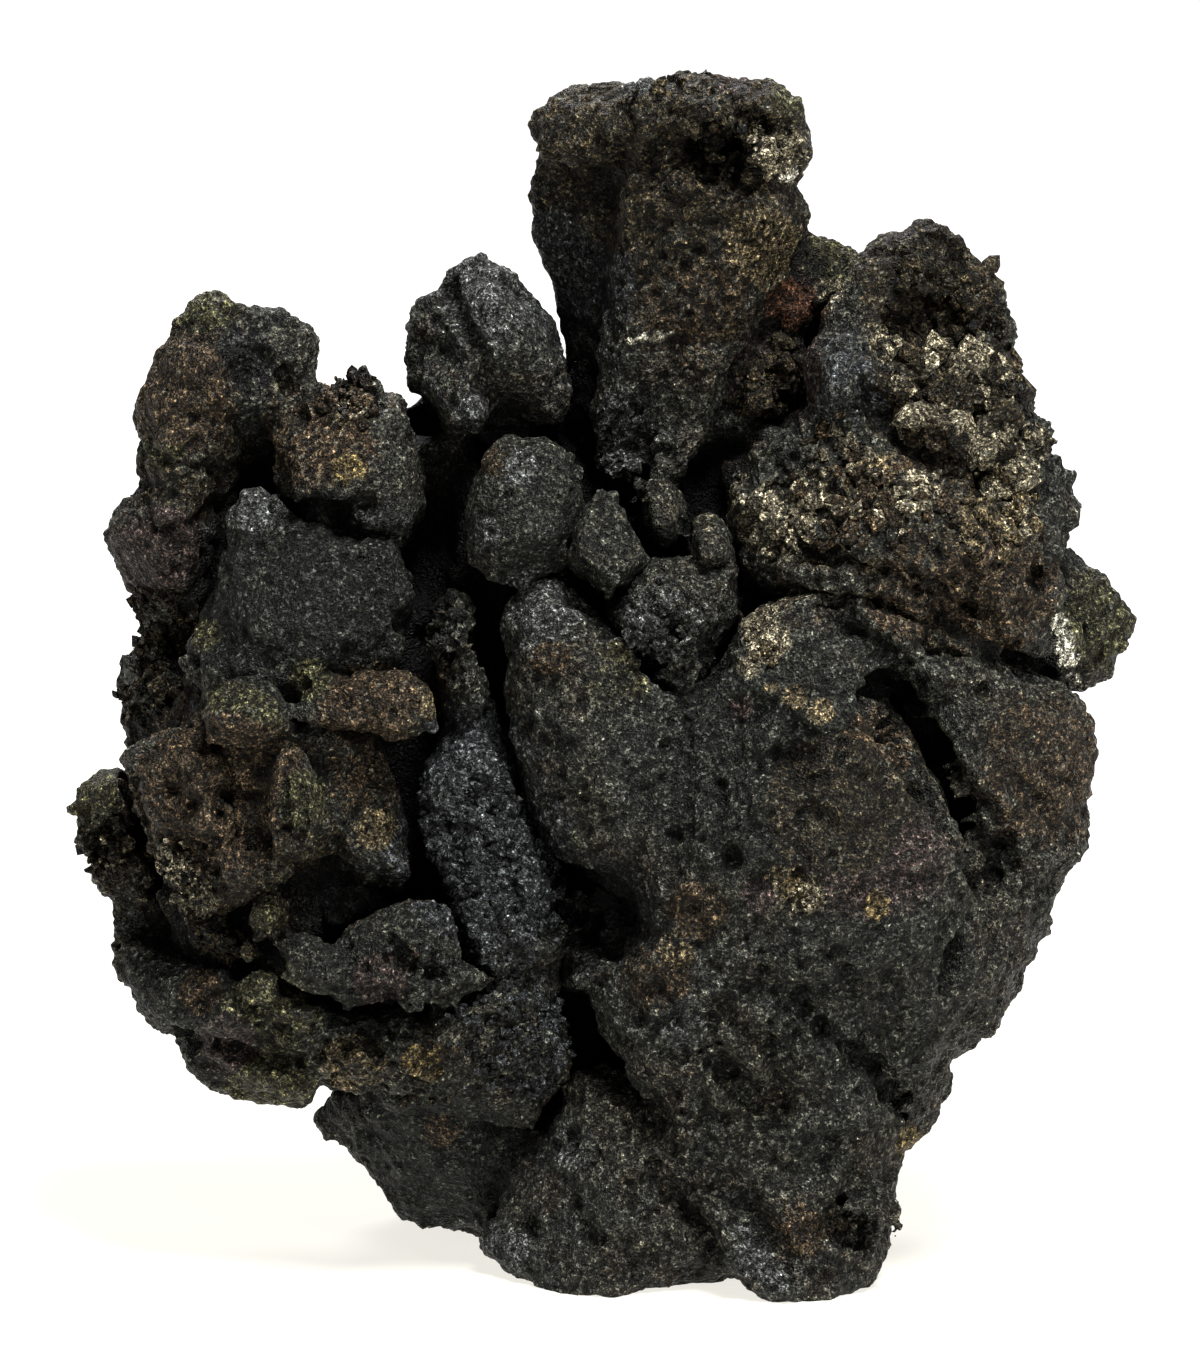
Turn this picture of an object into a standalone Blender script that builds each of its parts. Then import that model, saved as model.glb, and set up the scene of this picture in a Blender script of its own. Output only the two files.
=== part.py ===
"""A native lead specimen: one intergrown cluster of dull black lead crystals, standing on its own foot.

The cluster is one solid. It is laid out as faceted lumps, each the smallest closed body round a few places in
millimetres: an outline, a narrower copy of it further back, and the corners of its front faces. The lumps are
fused into one skin, which is then swollen and pitted a little and cut level under the foot.
"""

import math

import bmesh
import bpy
from mathutils import Matrix, Vector, noise

MM = 0.001

# How the places are given: across is +X, up is as seen from SIGHT above the horizon, and forward is -Y.
# What stands forward is therefore given lower than it is, and place() puts it back.
SIGHT = math.radians(10)
FLOOR_LEVEL = 1.50
CENTRE_ACROSS = 0.05
CENTRE_FORWARD = -1.45

# Fusing and weathering.
SKIN_CELL = 0.32
BACK_WIDTH = 0.78
SWELL_SIZE = 4.0
SWELL_HEIGHT = 0.35
KNOBBLE_SIZE = 1.5
KNOBBLE_HEIGHT = 0.22
RAGGED_HEIGHT = 0.75
TRIANGLES = 9600

# Each lump: how far forward its outline stands, how far forward its back stands, the outline as
# (across, up), and the corners of its front faces as (across, up, forward).
TOP_COLUMN = (
    (-1.0, -6.0, (
        (-2.7, 47.4), (-3.2, 48.4), (-2.9, 49.1), (-1.7, 50.0), (-0.8, 50.4), (2.0, 50.4), (2.5, 47.2),
        (-1.0, 46.8)), (
        (-1.7, 47.9, 2.0), (-1.3, 49.4, 2.0), (1.5, 49.7, 3.2), (1.2, 47.6, 3.8))),
    (-0.5, -6.0, (
        (1.0, 50.4), (3.9, 50.7), (5.5, 50.6), (7.6, 50.2), (8.5, 49.6), (8.75, 48.6), (8.7, 47.2),
        (8.3, 46.3), (6.5, 46.0), (4.5, 47.0), (1.2, 47.6)), (
        (2.0, 49.6, 4.0), (4.4, 49.8, 4.4), (7.2, 49.4, 3.6), (7.7, 48.2, 3.8), (7.5, 46.9, 3.4),
        (2.2, 48.2, 5.0), (4.4, 48.3, 5.2))),
    (-1.0, -6.5, (
        (1.0, 47.8), (0.9, 44.0), (0.7, 40.0), (-0.2, 37.5), (-0.6, 35.4), (1.0, 34.2), (3.6, 34.4),
        (4.6, 36.2), (5.6, 38.4), (7.0, 41.4), (8.4, 44.0), (8.95, 45.0), (8.9, 45.6), (8.2, 46.3),
        (7.5, 47.8)), (
        (1.4, 46.8, 3.4), (1.4, 43.5, 2.9), (1.3, 40.6, 2.9), (0.6, 38.0, 2.4), (0.6, 36.2, 1.6),
        (3.2, 36.2, 1.4), (4.8, 39.2, 2.4), (6.2, 42.2, 3.6), (7.2, 44.6, 4.2), (7.0, 46.0, 4.3),
        (4.0, 45.8, 4.6))),
    (-3.0, -6.5, (
        (-2.8, 47.8), (-3.05, 45.6), (-2.9, 44.2), (-2.2, 42.8), (-1.5, 41.0), (1.4, 40.0), (1.4, 47.8)), (
        (1.2, 46.6, 0.6), (1.0, 42.0, 0.3), (-1.2, 46.4, -1.2), (-1.0, 42.6, -1.4))),
    (-3.0, -6.5, (
        (-1.9, 42.2), (-1.4, 40.4), (-1.2, 37.0), (-0.8, 35.0), (1.2, 35.0), (1.4, 41.0), (1.0, 43.0)), (
        (1.0, 42.0, 0.3), (0.6, 38.0, 0.2), (-0.9, 41.6, -1.4), (-0.7, 38.4, -1.2))),
    (0.0, -3.0, (
        (-0.3, 34.9), (0.3, 35.4), (1.6, 35.2), (2.0, 34.4), (1.0, 33.8), (0.0, 34.1)), (
        (0.5, 34.8, 2.6), (1.2, 34.6, 2.6))),
    (-1.0, -4.0, (
        (1.8, 36.5), (3.2, 36.8), (4.3, 36.0), (3.9, 34.8), (3.2, 34.0), (2.0, 34.2)), (
        (2.6, 35.8, 2.4), (3.4, 35.2, 2.2))),
    (-3.0, -6.0, (
        (5.0, 39.6), (6.5, 40.6), (8.6, 40.0), (8.8, 38.4), (8.0, 36.6), (6.6, 36.2), (5.0, 36.6)), (
        (6.0, 39.0, -1.4), (7.8, 39.4, -1.6), (7.6, 37.4, -1.6), (5.8, 37.4, -1.2))),
    (-2.0, -5.0, (
        (7.1, 41.4), (7.5, 42.3), (8.3, 42.5), (8.9, 41.8), (8.8, 40.6), (7.9, 40.0), (7.1, 40.4)), (
        (7.7, 41.8, 0.2), (8.3, 41.7, 0.2), (8.1, 40.9, 0.1))),
    (-4.0, -7.0, (
        (8.2, 43.6), (9.0, 44.05), (9.7, 44.25), (10.6, 43.8), (10.9, 43.2), (10.6, 42.0), (9.4, 41.4),
        (8.0, 42.0)), (
        (9.2, 43.3, -2.4), (9.9, 42.7, -2.4))),
    (-2.5, -5.0, (
        (9.0, 41.6), (9.6, 42.3), (10.3, 42.6), (10.4, 41.9), (9.7, 41.2), (9.1, 41.1)), (
        (9.6, 41.9, -1.0), (9.9, 42.0, -1.0))),
)

MIDDLE_CRYSTALS = (
    (-1.0, -5.0, (
        (-6.9, 41.8), (-6.4, 42.7), (-5.8, 43.3), (-5.2, 43.6), (-4.6, 43.5), (-3.5, 42.6), (-2.6, 41.3),
        (-1.7, 40.3), (-1.45, 39.0), (-1.2, 37.4), (-1.4, 36.4), (-3.0, 36.2), (-4.6, 37.8), (-5.8, 38.0),
        (-6.8, 40.6)), (
        (-5.2, 42.7, 0.9), (-4.5, 41.2, 2.7), (-5.9, 39.7, 1.9), (-3.2, 39.6, 2.8), (-2.4, 38.4, 1.9),
        (-2.3, 37.0, 1.4), (-3.4, 37.4, 1.8), (-5.2, 38.7, 2.4))),
    (-1.5, -5.0, (
        (-8.05, 41.0), (-7.8, 41.5), (-7.2, 41.85), (-6.4, 41.9), (-6.0, 40.4), (-5.9, 39.3),
        (-6.6, 37.9), (-7.7, 38.0), (-8.0, 39.4)), (
        (-7.4, 41.2, 0.4), (-6.7, 41.0, 1.0), (-6.5, 39.6, 0.8), (-7.3, 38.8, 0.2))),
    (-1.5, -3.5, (
        (-8.15, 38.6), (-7.9, 39.1), (-7.0, 38.9), (-7.1, 37.6), (-7.9, 37.9)), (
        (-7.6, 38.6, 0.4), (-7.4, 38.2, 0.4))),
    (-2.0, -5.0, (
        (-6.1, 38.2), (-3.4, 37.8), (-3.2, 35.8), (-3.7, 34.4), (-5.2, 34.2), (-6.0, 35.6)), (
        (-5.5, 37.2, 0.8), (-4.2, 37.2, 1.0), (-4.0, 36.0, 1.2), (-5.3, 35.6, 0.8))),
    (1.0, -4.0, (
        (-3.3, 35.6), (-2.2, 35.8), (-1.5, 35.1), (-0.6, 33.8), (-0.65, 33.2), (-1.1, 32.2), (-1.5, 30.7),
        (-1.8, 30.2), (-3.4, 29.9), (-4.6, 30.2), (-5.2, 30.8), (-5.7, 32.0), (-5.3, 33.0), (-5.0, 34.3),
        (-4.7, 35.1)), (
        (-4.3, 34.6, 3.7), (-2.5, 35.0, 4.0), (-1.3, 33.6, 4.8), (-1.6, 32.3, 5.6), (-3.9, 32.3, 5.6),
        (-4.8, 32.5, 4.5), (-4.7, 33.6, 4.2), (-2.0, 31.0, 4.2), (-3.6, 30.8, 4.2), (-4.7, 31.3, 3.5))),
    (1.0, -4.0, (
        (-0.9, 33.2), (0.3, 33.45), (0.9, 32.7), (2.0, 31.0), (2.0, 30.5), (0.5, 29.3), (-0.1, 29.4),
        (-0.8, 30.3), (-1.1, 31.0)), (
        (-0.5, 32.6, 3.8), (0.3, 32.5, 4.0), (1.3, 31.0, 4.6), (0.4, 30.1, 4.8), (-0.5, 31.0, 4.7))),
    (-4.0, -6.5, (
        (1.2, 34.0), (2.5, 34.3), (3.8, 33.8), (4.4, 33.0), (3.6, 31.8), (2.4, 31.2), (1.2, 32.2)), (
        (2.0, 33.6, -0.4), (3.2, 33.4, -0.4), (3.0, 32.2, 0.2), (1.9, 32.4, 0.0))),
    (-0.5, -4.0, (
        (3.4, 31.5), (3.9, 32.3), (4.7, 32.4), (5.2, 31.5), (5.3, 29.6), (5.0, 28.4), (4.3, 28.4),
        (3.8, 29.6)), (
        (4.1, 31.6, 2.6), (4.8, 31.4, 2.6), (4.8, 30.0, 2.6), (4.3, 29.4, 2.6))),
    (0.0, -4.0, (
        (0.4, 28.4), (1.0, 30.0), (2.1, 30.7), (2.9, 29.9), (3.9, 28.5), (4.6, 27.3), (4.4, 26.4),
        (3.4, 25.5), (2.4, 25.9), (1.0, 26.8), (0.4, 27.6)), (
        (1.4, 29.2, 4.6), (2.4, 29.6, 4.4), (3.6, 27.8, 4.2), (3.4, 26.5, 3.8), (1.8, 27.0, 4.4),
        (1.0, 28.0, 4.5))),
    (0.5, -4.0, (
        (-4.1, 28.0), (-3.9, 28.8), (-3.4, 29.6), (-1.9, 30.1), (-1.4, 30.0), (-0.6, 28.8), (0.3, 27.2),
        (1.4, 26.3), (2.6, 25.4), (3.3, 24.6), (3.4, 21.0), (2.6, 17.4), (0.6, 16.8), (-0.8, 17.4),
        (-2.4, 18.4), (-3.2, 19.6), (-3.6, 22.0), (-3.6, 24.4), (-3.8, 26.4)), (
        (-3.3, 28.2, 6.2), (-2.7, 29.2, 6.0), (-1.7, 29.3, 6.0), (-0.8, 27.6, 7.0), (0.0, 26.2, 7.4),
        (1.6, 25.0, 7.2), (2.6, 23.4, 7.4), (2.4, 20.0, 8.2), (1.6, 18.0, 7.8), (-0.6, 18.4, 7.2),
        (-2.0, 19.8, 6.8), (-2.8, 22.6, 6.6), (-3.0, 25.4, 6.6), (-0.4, 22.6, 8.4))),
    (0.0, -4.0, (
        (-1.7, 14.4), (-0.4, 15.4), (1.2, 15.2), (1.6, 14.0), (0.6, 12.6), (-0.9, 12.5), (-1.6, 13.0)), (
        (-0.9, 14.2, 5.6), (0.4, 14.6, 5.8), (0.8, 13.4, 6.4), (-0.5, 13.2, 6.2))),
)

MAIN_CRYSTAL = (
    (1.5, -5.0, (
        (3.1, 23.5), (3.9, 25.2), (4.6, 26.0), (5.2, 27.5), (5.7, 28.2), (6.5, 28.8), (8.0, 29.1),
        (9.3, 28.7), (10.6, 27.6), (11.5, 25.5), (12.1, 23.7), (13.3, 21.6), (14.3, 20.0), (15.3, 18.8),
        (15.9, 17.8), (15.2, 15.2), (14.6, 13.0), (3.0, 13.0), (1.8, 15.6), (2.4, 18.5), (3.0, 21.0)), (
        (4.4, 24.4, 7.4), (5.6, 27.0, 7.0), (7.0, 28.0, 7.2), (9.2, 27.8, 7.2), (10.8, 25.4, 7.8),
        (7.6, 24.8, 9.0), (10.6, 22.8, 9.2), (6.0, 20.0, 10.0), (10.0, 17.4, 10.6), (13.4, 19.0, 8.6),
        (14.7, 17.4, 8.0), (13.8, 14.6, 8.4), (9.0, 13.6, 10.2), (4.6, 14.4, 9.4), (3.6, 17.6, 9.0))),
    (1.0, -5.0, (
        (-0.7, 12.9), (0.4, 13.8), (1.4, 14.8), (2.0, 17.0), (15.6, 16.0), (14.7, 13.4), (13.4, 10.6),
        (12.7, 9.0), (12.6, 6.0), (12.0, 4.6), (4.0, 4.0), (2.4, 7.0), (1.5, 9.0), (0.3, 10.9)), (
        (0.6, 12.6, 7.2), (1.8, 13.9, 8.4), (3.0, 16.0, 9.0), (12.8, 15.6, 9.0), (13.4, 13.4, 8.0),
        (12.2, 10.0, 7.2), (11.4, 7.2, 6.8), (8.0, 6.6, 7.8), (4.6, 7.4, 8.0), (2.6, 9.6, 7.8),
        (1.2, 11.2, 7.4), (5.0, 12.0, 9.4), (9.0, 11.4, 9.4))),
    (1.0, -4.0, (
        (1.0, 25.0), (4.4, 25.0), (5.0, 22.0), (4.4, 16.0), (3.0, 14.0), (1.4, 15.4), (1.2, 18.0)), (
        (2.2, 23.8, 7.4), (4.0, 23.6, 7.6), (4.2, 20.0, 8.6), (3.8, 16.4, 8.6), (2.8, 15.0, 8.2),
        (2.2, 18.0, 7.8), (2.0, 21.0, 7.8))),
    (-1.0, -6.0, (
        (12.8, 25.6), (16.6, 26.0), (19.4, 25.9), (20.3, 25.0), (20.8, 23.8), (20.9, 23.0), (20.7, 22.0),
        (20.6, 20.8), (20.2, 19.0), (19.4, 17.4), (18.9, 16.6), (18.4, 14.9), (17.8, 13.2), (17.0, 11.2),
        (16.6, 10.75), (15.4, 12.0), (14.8, 15.0), (15.6, 17.8), (14.6, 20.0), (13.4, 22.2)), (
        (13.9, 24.8, 6.0), (16.0, 24.8, 5.8), (18.8, 24.2, 4.4), (19.6, 22.8, 3.6), (19.2, 20.0, 4.0),
        (18.2, 17.4, 4.8), (16.8, 13.0, 5.0), (16.0, 12.4, 5.4), (16.2, 16.0, 6.2), (16.4, 19.4, 5.0),
        (15.0, 22.0, 5.2))),
    (0.0, -5.0, (
        (10.6, 27.6), (12.6, 27.4), (14.0, 28.0), (15.4, 27.2), (16.6, 26.0), (19.0, 25.8), (20.2, 25.0),
        (15.0, 24.0), (13.4, 22.8), (12.6, 24.0), (11.8, 25.6)), (
        (12.4, 26.3, 6.2), (13.5, 25.4, 6.2), (15.0, 26.4, 5.8), (18.0, 25.2, 4.4), (14.8, 24.4, 6.0))),
    (0.0, -5.0, (
        (14.6, 15.6), (16.4, 16.6), (17.2, 12.6), (16.4, 10.9), (15.9, 10.9), (15.0, 10.1), (12.4, 9.0),
        (12.4, 11.0)), (
        (14.9, 14.0, 6.6), (15.7, 13.4, 6.0), (15.4, 11.4, 5.8), (14.0, 10.4, 5.8), (12.9, 9.8, 6.4),
        (13.6, 12.0, 7.0))),
    (0.0, -5.0, (
        (12.6, 11.0), (14.8, 10.6), (14.7, 9.4), (14.3, 8.8), (14.1, 7.6), (13.7, 6.7), (12.6, 5.8),
        (12.0, 7.0)), (
        (14.0, 9.6, 5.6), (13.4, 7.8, 5.4), (12.6, 7.2, 6.0), (12.6, 9.8, 6.6))),
)

RIGHT_SHOULDER = (
    (-2.0, -6.0, (
        (10.4, 43.2), (11.3, 43.8), (12.0, 44.15), (12.8, 44.3), (13.6, 45.1), (14.1, 44.7), (14.9, 44.4),
        (15.3, 43.4), (15.7, 42.6), (13.4, 41.0), (11.4, 40.6), (10.0, 41.6)), (
        (11.6, 43.0, 0.6), (13.6, 44.0, 0.9), (14.6, 43.2, 0.4), (13.6, 42.2, 1.6), (11.8, 41.8, 1.6))),
    (-2.0, -6.0, (
        (15.2, 43.0), (16.0, 42.6), (16.6, 42.0), (17.4, 40.4), (17.75, 39.9), (17.2, 39.4), (15.0, 39.2),
        (13.6, 41.0), (14.0, 42.4)), (
        (15.0, 42.0, 0.8), (16.4, 40.9, 0.6), (16.4, 40.0, 1.2), (14.6, 41.2, 1.4))),
    (-1.0, -5.0, (
        (8.2, 38.6), (8.5, 36.8), (9.4, 36.1), (10.8, 36.1), (11.6, 37.0), (12.0, 38.4), (11.7, 39.6),
        (10.6, 40.6), (9.2, 40.4), (8.5, 39.6)), (
        (9.3, 38.8, 3.4), (9.5, 37.3, 3.9), (10.8, 37.3, 3.9), (11.0, 38.8, 3.4), (10.2, 39.8, 2.4))),
    (-1.5, -5.0, (
        (8.9, 40.2), (9.2, 41.4), (10.6, 42.8), (12.6, 42.0), (12.6, 40.0), (11.4, 39.2), (9.6, 39.4)), (
        (10.0, 40.8, 1.6), (11.4, 41.4, 1.6), (11.6, 40.2, 2.0))),
    (-2.0, -6.0, (
        (11.6, 40.4), (16.9, 39.8), (17.4, 38.6), (17.75, 37.9), (17.8, 37.1), (17.6, 36.4), (18.2, 36.2),
        (18.7, 35.9), (19.2, 34.8), (18.0, 34.0), (12.0, 34.6), (11.2, 37.0)), (
        (12.8, 39.4, 2.4), (16.0, 39.0, 1.8), (16.8, 37.6, 2.0), (17.4, 35.6, 2.6), (13.0, 36.0, 3.4),
        (15.0, 35.4, 3.4))),
    (-0.5, -6.0, (
        (5.1, 32.3), (5.2, 33.2), (5.7, 34.0), (6.3, 35.2), (6.6, 36.2), (8.4, 36.4), (10.6, 36.0),
        (12.4, 35.4), (13.0, 33.0), (12.0, 31.0), (8.0, 30.4), (5.6, 31.0)), (
        (6.1, 33.0, 3.4), (6.8, 34.8, 3.2), (8.8, 35.5, 3.6), (11.0, 34.8, 4.0), (11.4, 32.6, 5.0),
        (8.6, 32.4, 5.2), (6.7, 31.8, 4.4))),
    (-1.5, -6.0, (
        (16.2, 35.0), (17.4, 36.1), (18.6, 36.1), (19.1, 35.2), (19.5, 34.0), (19.9, 33.0), (19.9, 32.2),
        (19.4, 31.2), (18.0, 30.4), (16.0, 31.4)), (
        (17.2, 34.8, 2.8), (18.6, 34.4, 2.0), (19.0, 32.6, 1.8), (17.6, 32.2, 3.6))),
    (-0.5, -6.0, (
        (12.4, 35.0), (16.0, 34.6), (18.4, 33.0), (19.2, 31.0), (18.6, 29.6), (18.9, 28.0), (19.0, 26.4),
        (16.6, 26.2), (15.4, 27.4), (14.2, 28.6), (13.0, 29.8), (11.0, 31.0), (8.0, 31.4), (8.0, 33.0)), (
        (9.4, 32.0, 5.2), (12.6, 33.2, 4.6), (15.4, 32.6, 4.4), (17.4, 31.0, 4.2), (17.4, 29.0, 4.6),
        (17.2, 27.6, 4.8), (15.6, 29.2, 5.8), (13.8, 30.8, 6.0), (11.0, 31.6, 5.8))),
    (0.0, -5.0, (
        (5.6, 30.8), (5.8, 29.6), (7.0, 29.2), (9.2, 29.2), (10.4, 28.6), (12.2, 27.8), (13.2, 27.2),
        (14.6, 28.4), (13.6, 30.2), (11.4, 31.4), (8.0, 31.8)), (
        (6.8, 30.6, 4.2), (9.0, 30.4, 5.2), (11.6, 29.8, 6.0), (12.8, 28.6, 6.2), (10.0, 29.6, 5.8),
        (7.2, 29.9, 4.6))),
    (-4.0, -8.0, (
        (19.4, 31.6), (20.7, 30.6), (21.6, 29.9), (22.2, 29.1), (22.6, 28.2), (22.4, 27.2), (21.6, 26.1),
        (20.6, 25.2), (18.6, 25.4), (18.0, 28.6)), (
        (20.4, 29.6, -1.4), (21.2, 28.2, -1.2), (20.8, 26.8, -1.2), (19.4, 27.0, -0.6),
        (19.2, 29.6, -0.8))),
)

LEFT_ARM = (
    (-1.5, -5.0, (
        (-18.3, 39.4), (-17.8, 40.6), (-17.1, 41.3), (-16.6, 42.0), (-16.1, 42.1), (-15.0, 41.3),
        (-13.9, 41.2), (-12.0, 40.6), (-11.65, 40.3), (-11.6, 39.5), (-11.8, 38.6), (-12.8, 36.0),
        (-14.6, 35.8), (-17.6, 36.0), (-18.9, 38.2)), (
        (-16.8, 40.6, 1.2), (-15.4, 40.2, 2.0), (-13.4, 39.8, 1.6), (-12.5, 39.6, 1.2), (-13.1, 38.0, 2.0),
        (-13.8, 36.8, 2.0), (-16.0, 37.0, 3.0), (-17.6, 38.6, 1.8), (-16.0, 38.8, 3.0))),
    (-1.5, -5.0, (
        (-18.9, 38.2), (-19.4, 37.4), (-19.5, 36.8), (-19.3, 35.8), (-18.9, 35.2), (-19.2, 34.2),
        (-19.0, 33.6), (-17.4, 32.6), (-15.8, 33.4), (-15.2, 34.4), (-14.4, 35.6), (-14.8, 37.4),
        (-17.0, 38.6)), (
        (-18.4, 36.8, 1.4), (-17.4, 37.4, 2.4), (-15.8, 36.6, 2.8), (-15.8, 35.0, 2.0), (-16.4, 34.0, 2.6),
        (-17.6, 34.6, 3.0), (-18.2, 35.2, 2.0))),
    (-1.5, -5.0, (
        (-19.2, 33.7), (-20.0, 33.0), (-20.7, 32.5), (-20.95, 31.8), (-20.4, 30.6), (-20.0, 29.9),
        (-19.3, 29.2), (-18.9, 28.2), (-17.0, 28.0), (-16.0, 30.0), (-15.7, 31.6), (-15.8, 33.4),
        (-17.4, 34.6)), (
        (-19.7, 31.8, 0.6), (-18.4, 33.0, 2.6), (-17.0, 33.0, 2.8), (-16.6, 31.6, 2.0),
        (-17.0, 29.6, 1.6), (-18.4, 29.8, 1.6), (-18.4, 31.4, 2.8))),
    (-3.5, -6.5, (
        (-19.2, 28.8), (-19.3, 27.2), (-19.0, 26.2), (-18.6, 25.3), (-19.8, 24.5), (-20.15, 23.4),
        (-19.9, 22.0), (-17.0, 22.0), (-15.6, 25.0), (-15.6, 28.8), (-17.0, 29.4)), (
        (-18.2, 28.0, -0.6), (-18.0, 26.0, -0.4), (-19.0, 24.2, 0.2), (-18.0, 23.0, 1.4),
        (-16.8, 27.0, -0.2))),
    (-0.5, -5.0, (
        (-13.5, 35.8), (-12.4, 37.6), (-11.4, 37.9), (-9.6, 37.6), (-8.2, 37.3), (-7.6, 36.6),
        (-7.2, 35.6), (-7.05, 33.8), (-7.1, 32.3), (-7.6, 31.5), (-8.2, 31.0), (-11.0, 31.2),
        (-13.2, 32.6), (-13.7, 34.0)), (
        (-12.7, 35.6, 3.0), (-11.8, 36.8, 2.4), (-9.0, 36.6, 2.8), (-8.0, 36.0, 2.8), (-7.8, 34.2, 3.2),
        (-8.0, 32.6, 3.4), (-9.2, 33.4, 4.2), (-12.4, 34.0, 3.8), (-12.0, 34.8, 4.0), (-9.0, 35.0, 4.2))),
    (-0.5, -3.0, (
        (-11.9, 37.2), (-11.4, 38.1), (-10.9, 38.2), (-9.9, 38.8), (-9.3, 38.65), (-9.4, 37.4),
        (-10.4, 36.6)), (
        (-10.8, 37.4, 1.6), (-10.0, 37.8, 1.4))),
    (-0.5, -3.0, (
        (-9.2, 37.2), (-8.7, 37.8), (-8.1, 37.8), (-7.8, 37.0), (-8.4, 36.4)), (
        (-8.6, 37.0, 1.4), (-8.3, 37.1, 1.4))),
)

LEFT_CRYSTALS = (
    (1.5, -2.0, (
        (-15.3, 32.2), (-15.3, 33.0), (-14.8, 33.45), (-13.9, 33.65), (-13.4, 33.3), (-12.9, 32.8),
        (-12.4, 31.6), (-13.0, 30.8), (-15.2, 31.0)), (
        (-14.6, 32.8, 4.4), (-13.8, 32.9, 4.6), (-13.3, 32.0, 5.2), (-14.6, 31.6, 5.2))),
    (1.5, -4.0, (
        (-15.5, 31.6), (-13.0, 32.4), (-11.4, 32.35), (-9.8, 32.0), (-8.6, 31.7), (-8.0, 31.0),
        (-7.8, 30.0), (-7.5, 29.2), (-7.7, 28.0), (-8.1, 26.9), (-9.0, 26.2), (-12.4, 25.4),
        (-15.8, 26.0), (-16.1, 28.0), (-16.1, 30.0)), (
        (-14.6, 30.8, 5.0), (-12.4, 31.6, 4.8), (-10.0, 31.4, 5.0), (-8.9, 30.4, 5.2), (-8.7, 28.6, 5.4),
        (-9.2, 27.0, 5.6), (-12.0, 27.0, 6.4), (-14.4, 27.4, 6.0), (-15.0, 29.0, 5.4), (-11.6, 29.6, 6.4))),
    (1.5, -3.0, (
        (-16.0, 28.7), (-16.6, 28.2), (-17.4, 26.9), (-17.2, 25.8), (-16.7, 24.4), (-14.0, 24.0),
        (-13.0, 26.6), (-13.8, 29.0)), (
        (-15.6, 27.6, 5.0), (-16.4, 26.4, 4.4), (-16.0, 25.0, 4.6), (-14.0, 26.4, 6.0),
        (-14.4, 28.4, 5.4))),
    (3.0, -2.0, (
        (-16.2, 24.6), (-15.6, 25.6), (-14.5, 26.05), (-13.3, 25.6), (-12.7, 24.6), (-12.8, 23.0),
        (-14.0, 22.0), (-16.0, 22.4)), (
        (-15.2, 24.6, 7.0), (-14.4, 25.1, 7.0), (-13.6, 24.6, 7.2), (-13.8, 23.4, 7.8),
        (-15.0, 23.2, 7.8))),
    (3.0, 0.0, (
        (-12.75, 25.4), (-12.5, 26.1), (-11.9, 26.7), (-11.0, 26.3), (-10.4, 25.4), (-10.8, 24.2),
        (-12.3, 24.2)), (
        (-11.9, 25.9, 6.0), (-11.4, 25.2, 6.8), (-12.2, 24.9, 6.6))),
    (3.0, -2.0, (
        (-12.0, 24.0), (-11.0, 25.4), (-9.4, 26.1), (-8.2, 26.55), (-7.6, 26.3), (-7.1, 25.6),
        (-6.8, 24.6), (-6.4, 23.4), (-8.2, 23.15), (-11.0, 23.4), (-12.2, 23.4)), (
        (-10.8, 24.8, 7.0), (-8.4, 25.8, 6.8), (-7.4, 24.8, 6.8), (-7.1, 23.8, 6.6), (-9.0, 23.8, 7.6),
        (-11.2, 24.0, 7.4))),
    (4.5, 1.0, (
        (-13.5, 20.6), (-13.4, 21.6), (-12.9, 22.3), (-12.3, 22.65), (-11.8, 22.3), (-11.5, 21.2),
        (-11.2, 19.8), (-11.4, 18.7), (-13.6, 18.5)), (
        (-12.9, 21.2, 8.2), (-12.3, 21.8, 8.2), (-11.9, 20.6, 8.6), (-12.0, 19.2, 8.8),
        (-12.9, 19.2, 8.8))),
    (2.0, -3.0, (
        (-20.1, 22.3), (-19.4, 22.9), (-18.5, 23.3), (-17.0, 24.1), (-15.0, 24.0), (-13.8, 22.6),
        (-13.7, 19.0), (-13.0, 17.6), (-14.6, 16.0), (-15.6, 15.5), (-17.0, 15.8), (-18.3, 16.8),
        (-19.0, 18.0), (-19.5, 19.6)), (
        (-19.0, 22.0, 5.0), (-17.4, 23.0, 5.6), (-15.4, 22.8, 6.8), (-15.0, 20.6, 7.2), (-15.0, 18.0, 7.4),
        (-15.8, 16.8, 6.8), (-17.2, 17.0, 6.0), (-18.2, 18.4, 5.6), (-18.8, 20.0, 5.4),
        (-16.4, 20.4, 7.2))),
    (1.5, -3.0, (
        (-12.2, 23.4), (-9.0, 23.2), (-8.7, 22.2), (-8.9, 21.0), (-8.7, 20.1), (-8.1, 19.5), (-7.7, 18.6),
        (-7.6, 17.4), (-8.4, 16.6), (-10.0, 17.0), (-11.6, 18.4), (-12.4, 19.0)), (
        (-11.4, 22.4, 5.6), (-9.6, 22.4, 5.6), (-9.6, 20.2, 6.2), (-8.8, 19.0, 6.4), (-8.4, 17.8, 6.4),
        (-10.0, 18.4, 6.8), (-11.4, 19.6, 6.6))),
    (1.0, -3.0, (
        (-15.0, 24.0), (-11.6, 24.2), (-11.4, 17.8), (-14.8, 17.6)), (
        (-14.4, 22.6, 4.6), (-12.4, 22.8, 4.6), (-12.4, 18.6, 5.6), (-14.0, 18.6, 5.6))),
    (4.0, 1.0, (
        (-14.5, 16.0), (-14.2, 16.7), (-13.5, 16.95), (-12.9, 16.4), (-12.9, 15.6), (-13.6, 15.1),
        (-14.3, 15.4)), (
        (-13.9, 16.2, 7.0), (-13.4, 16.0, 7.0))),
)

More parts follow.
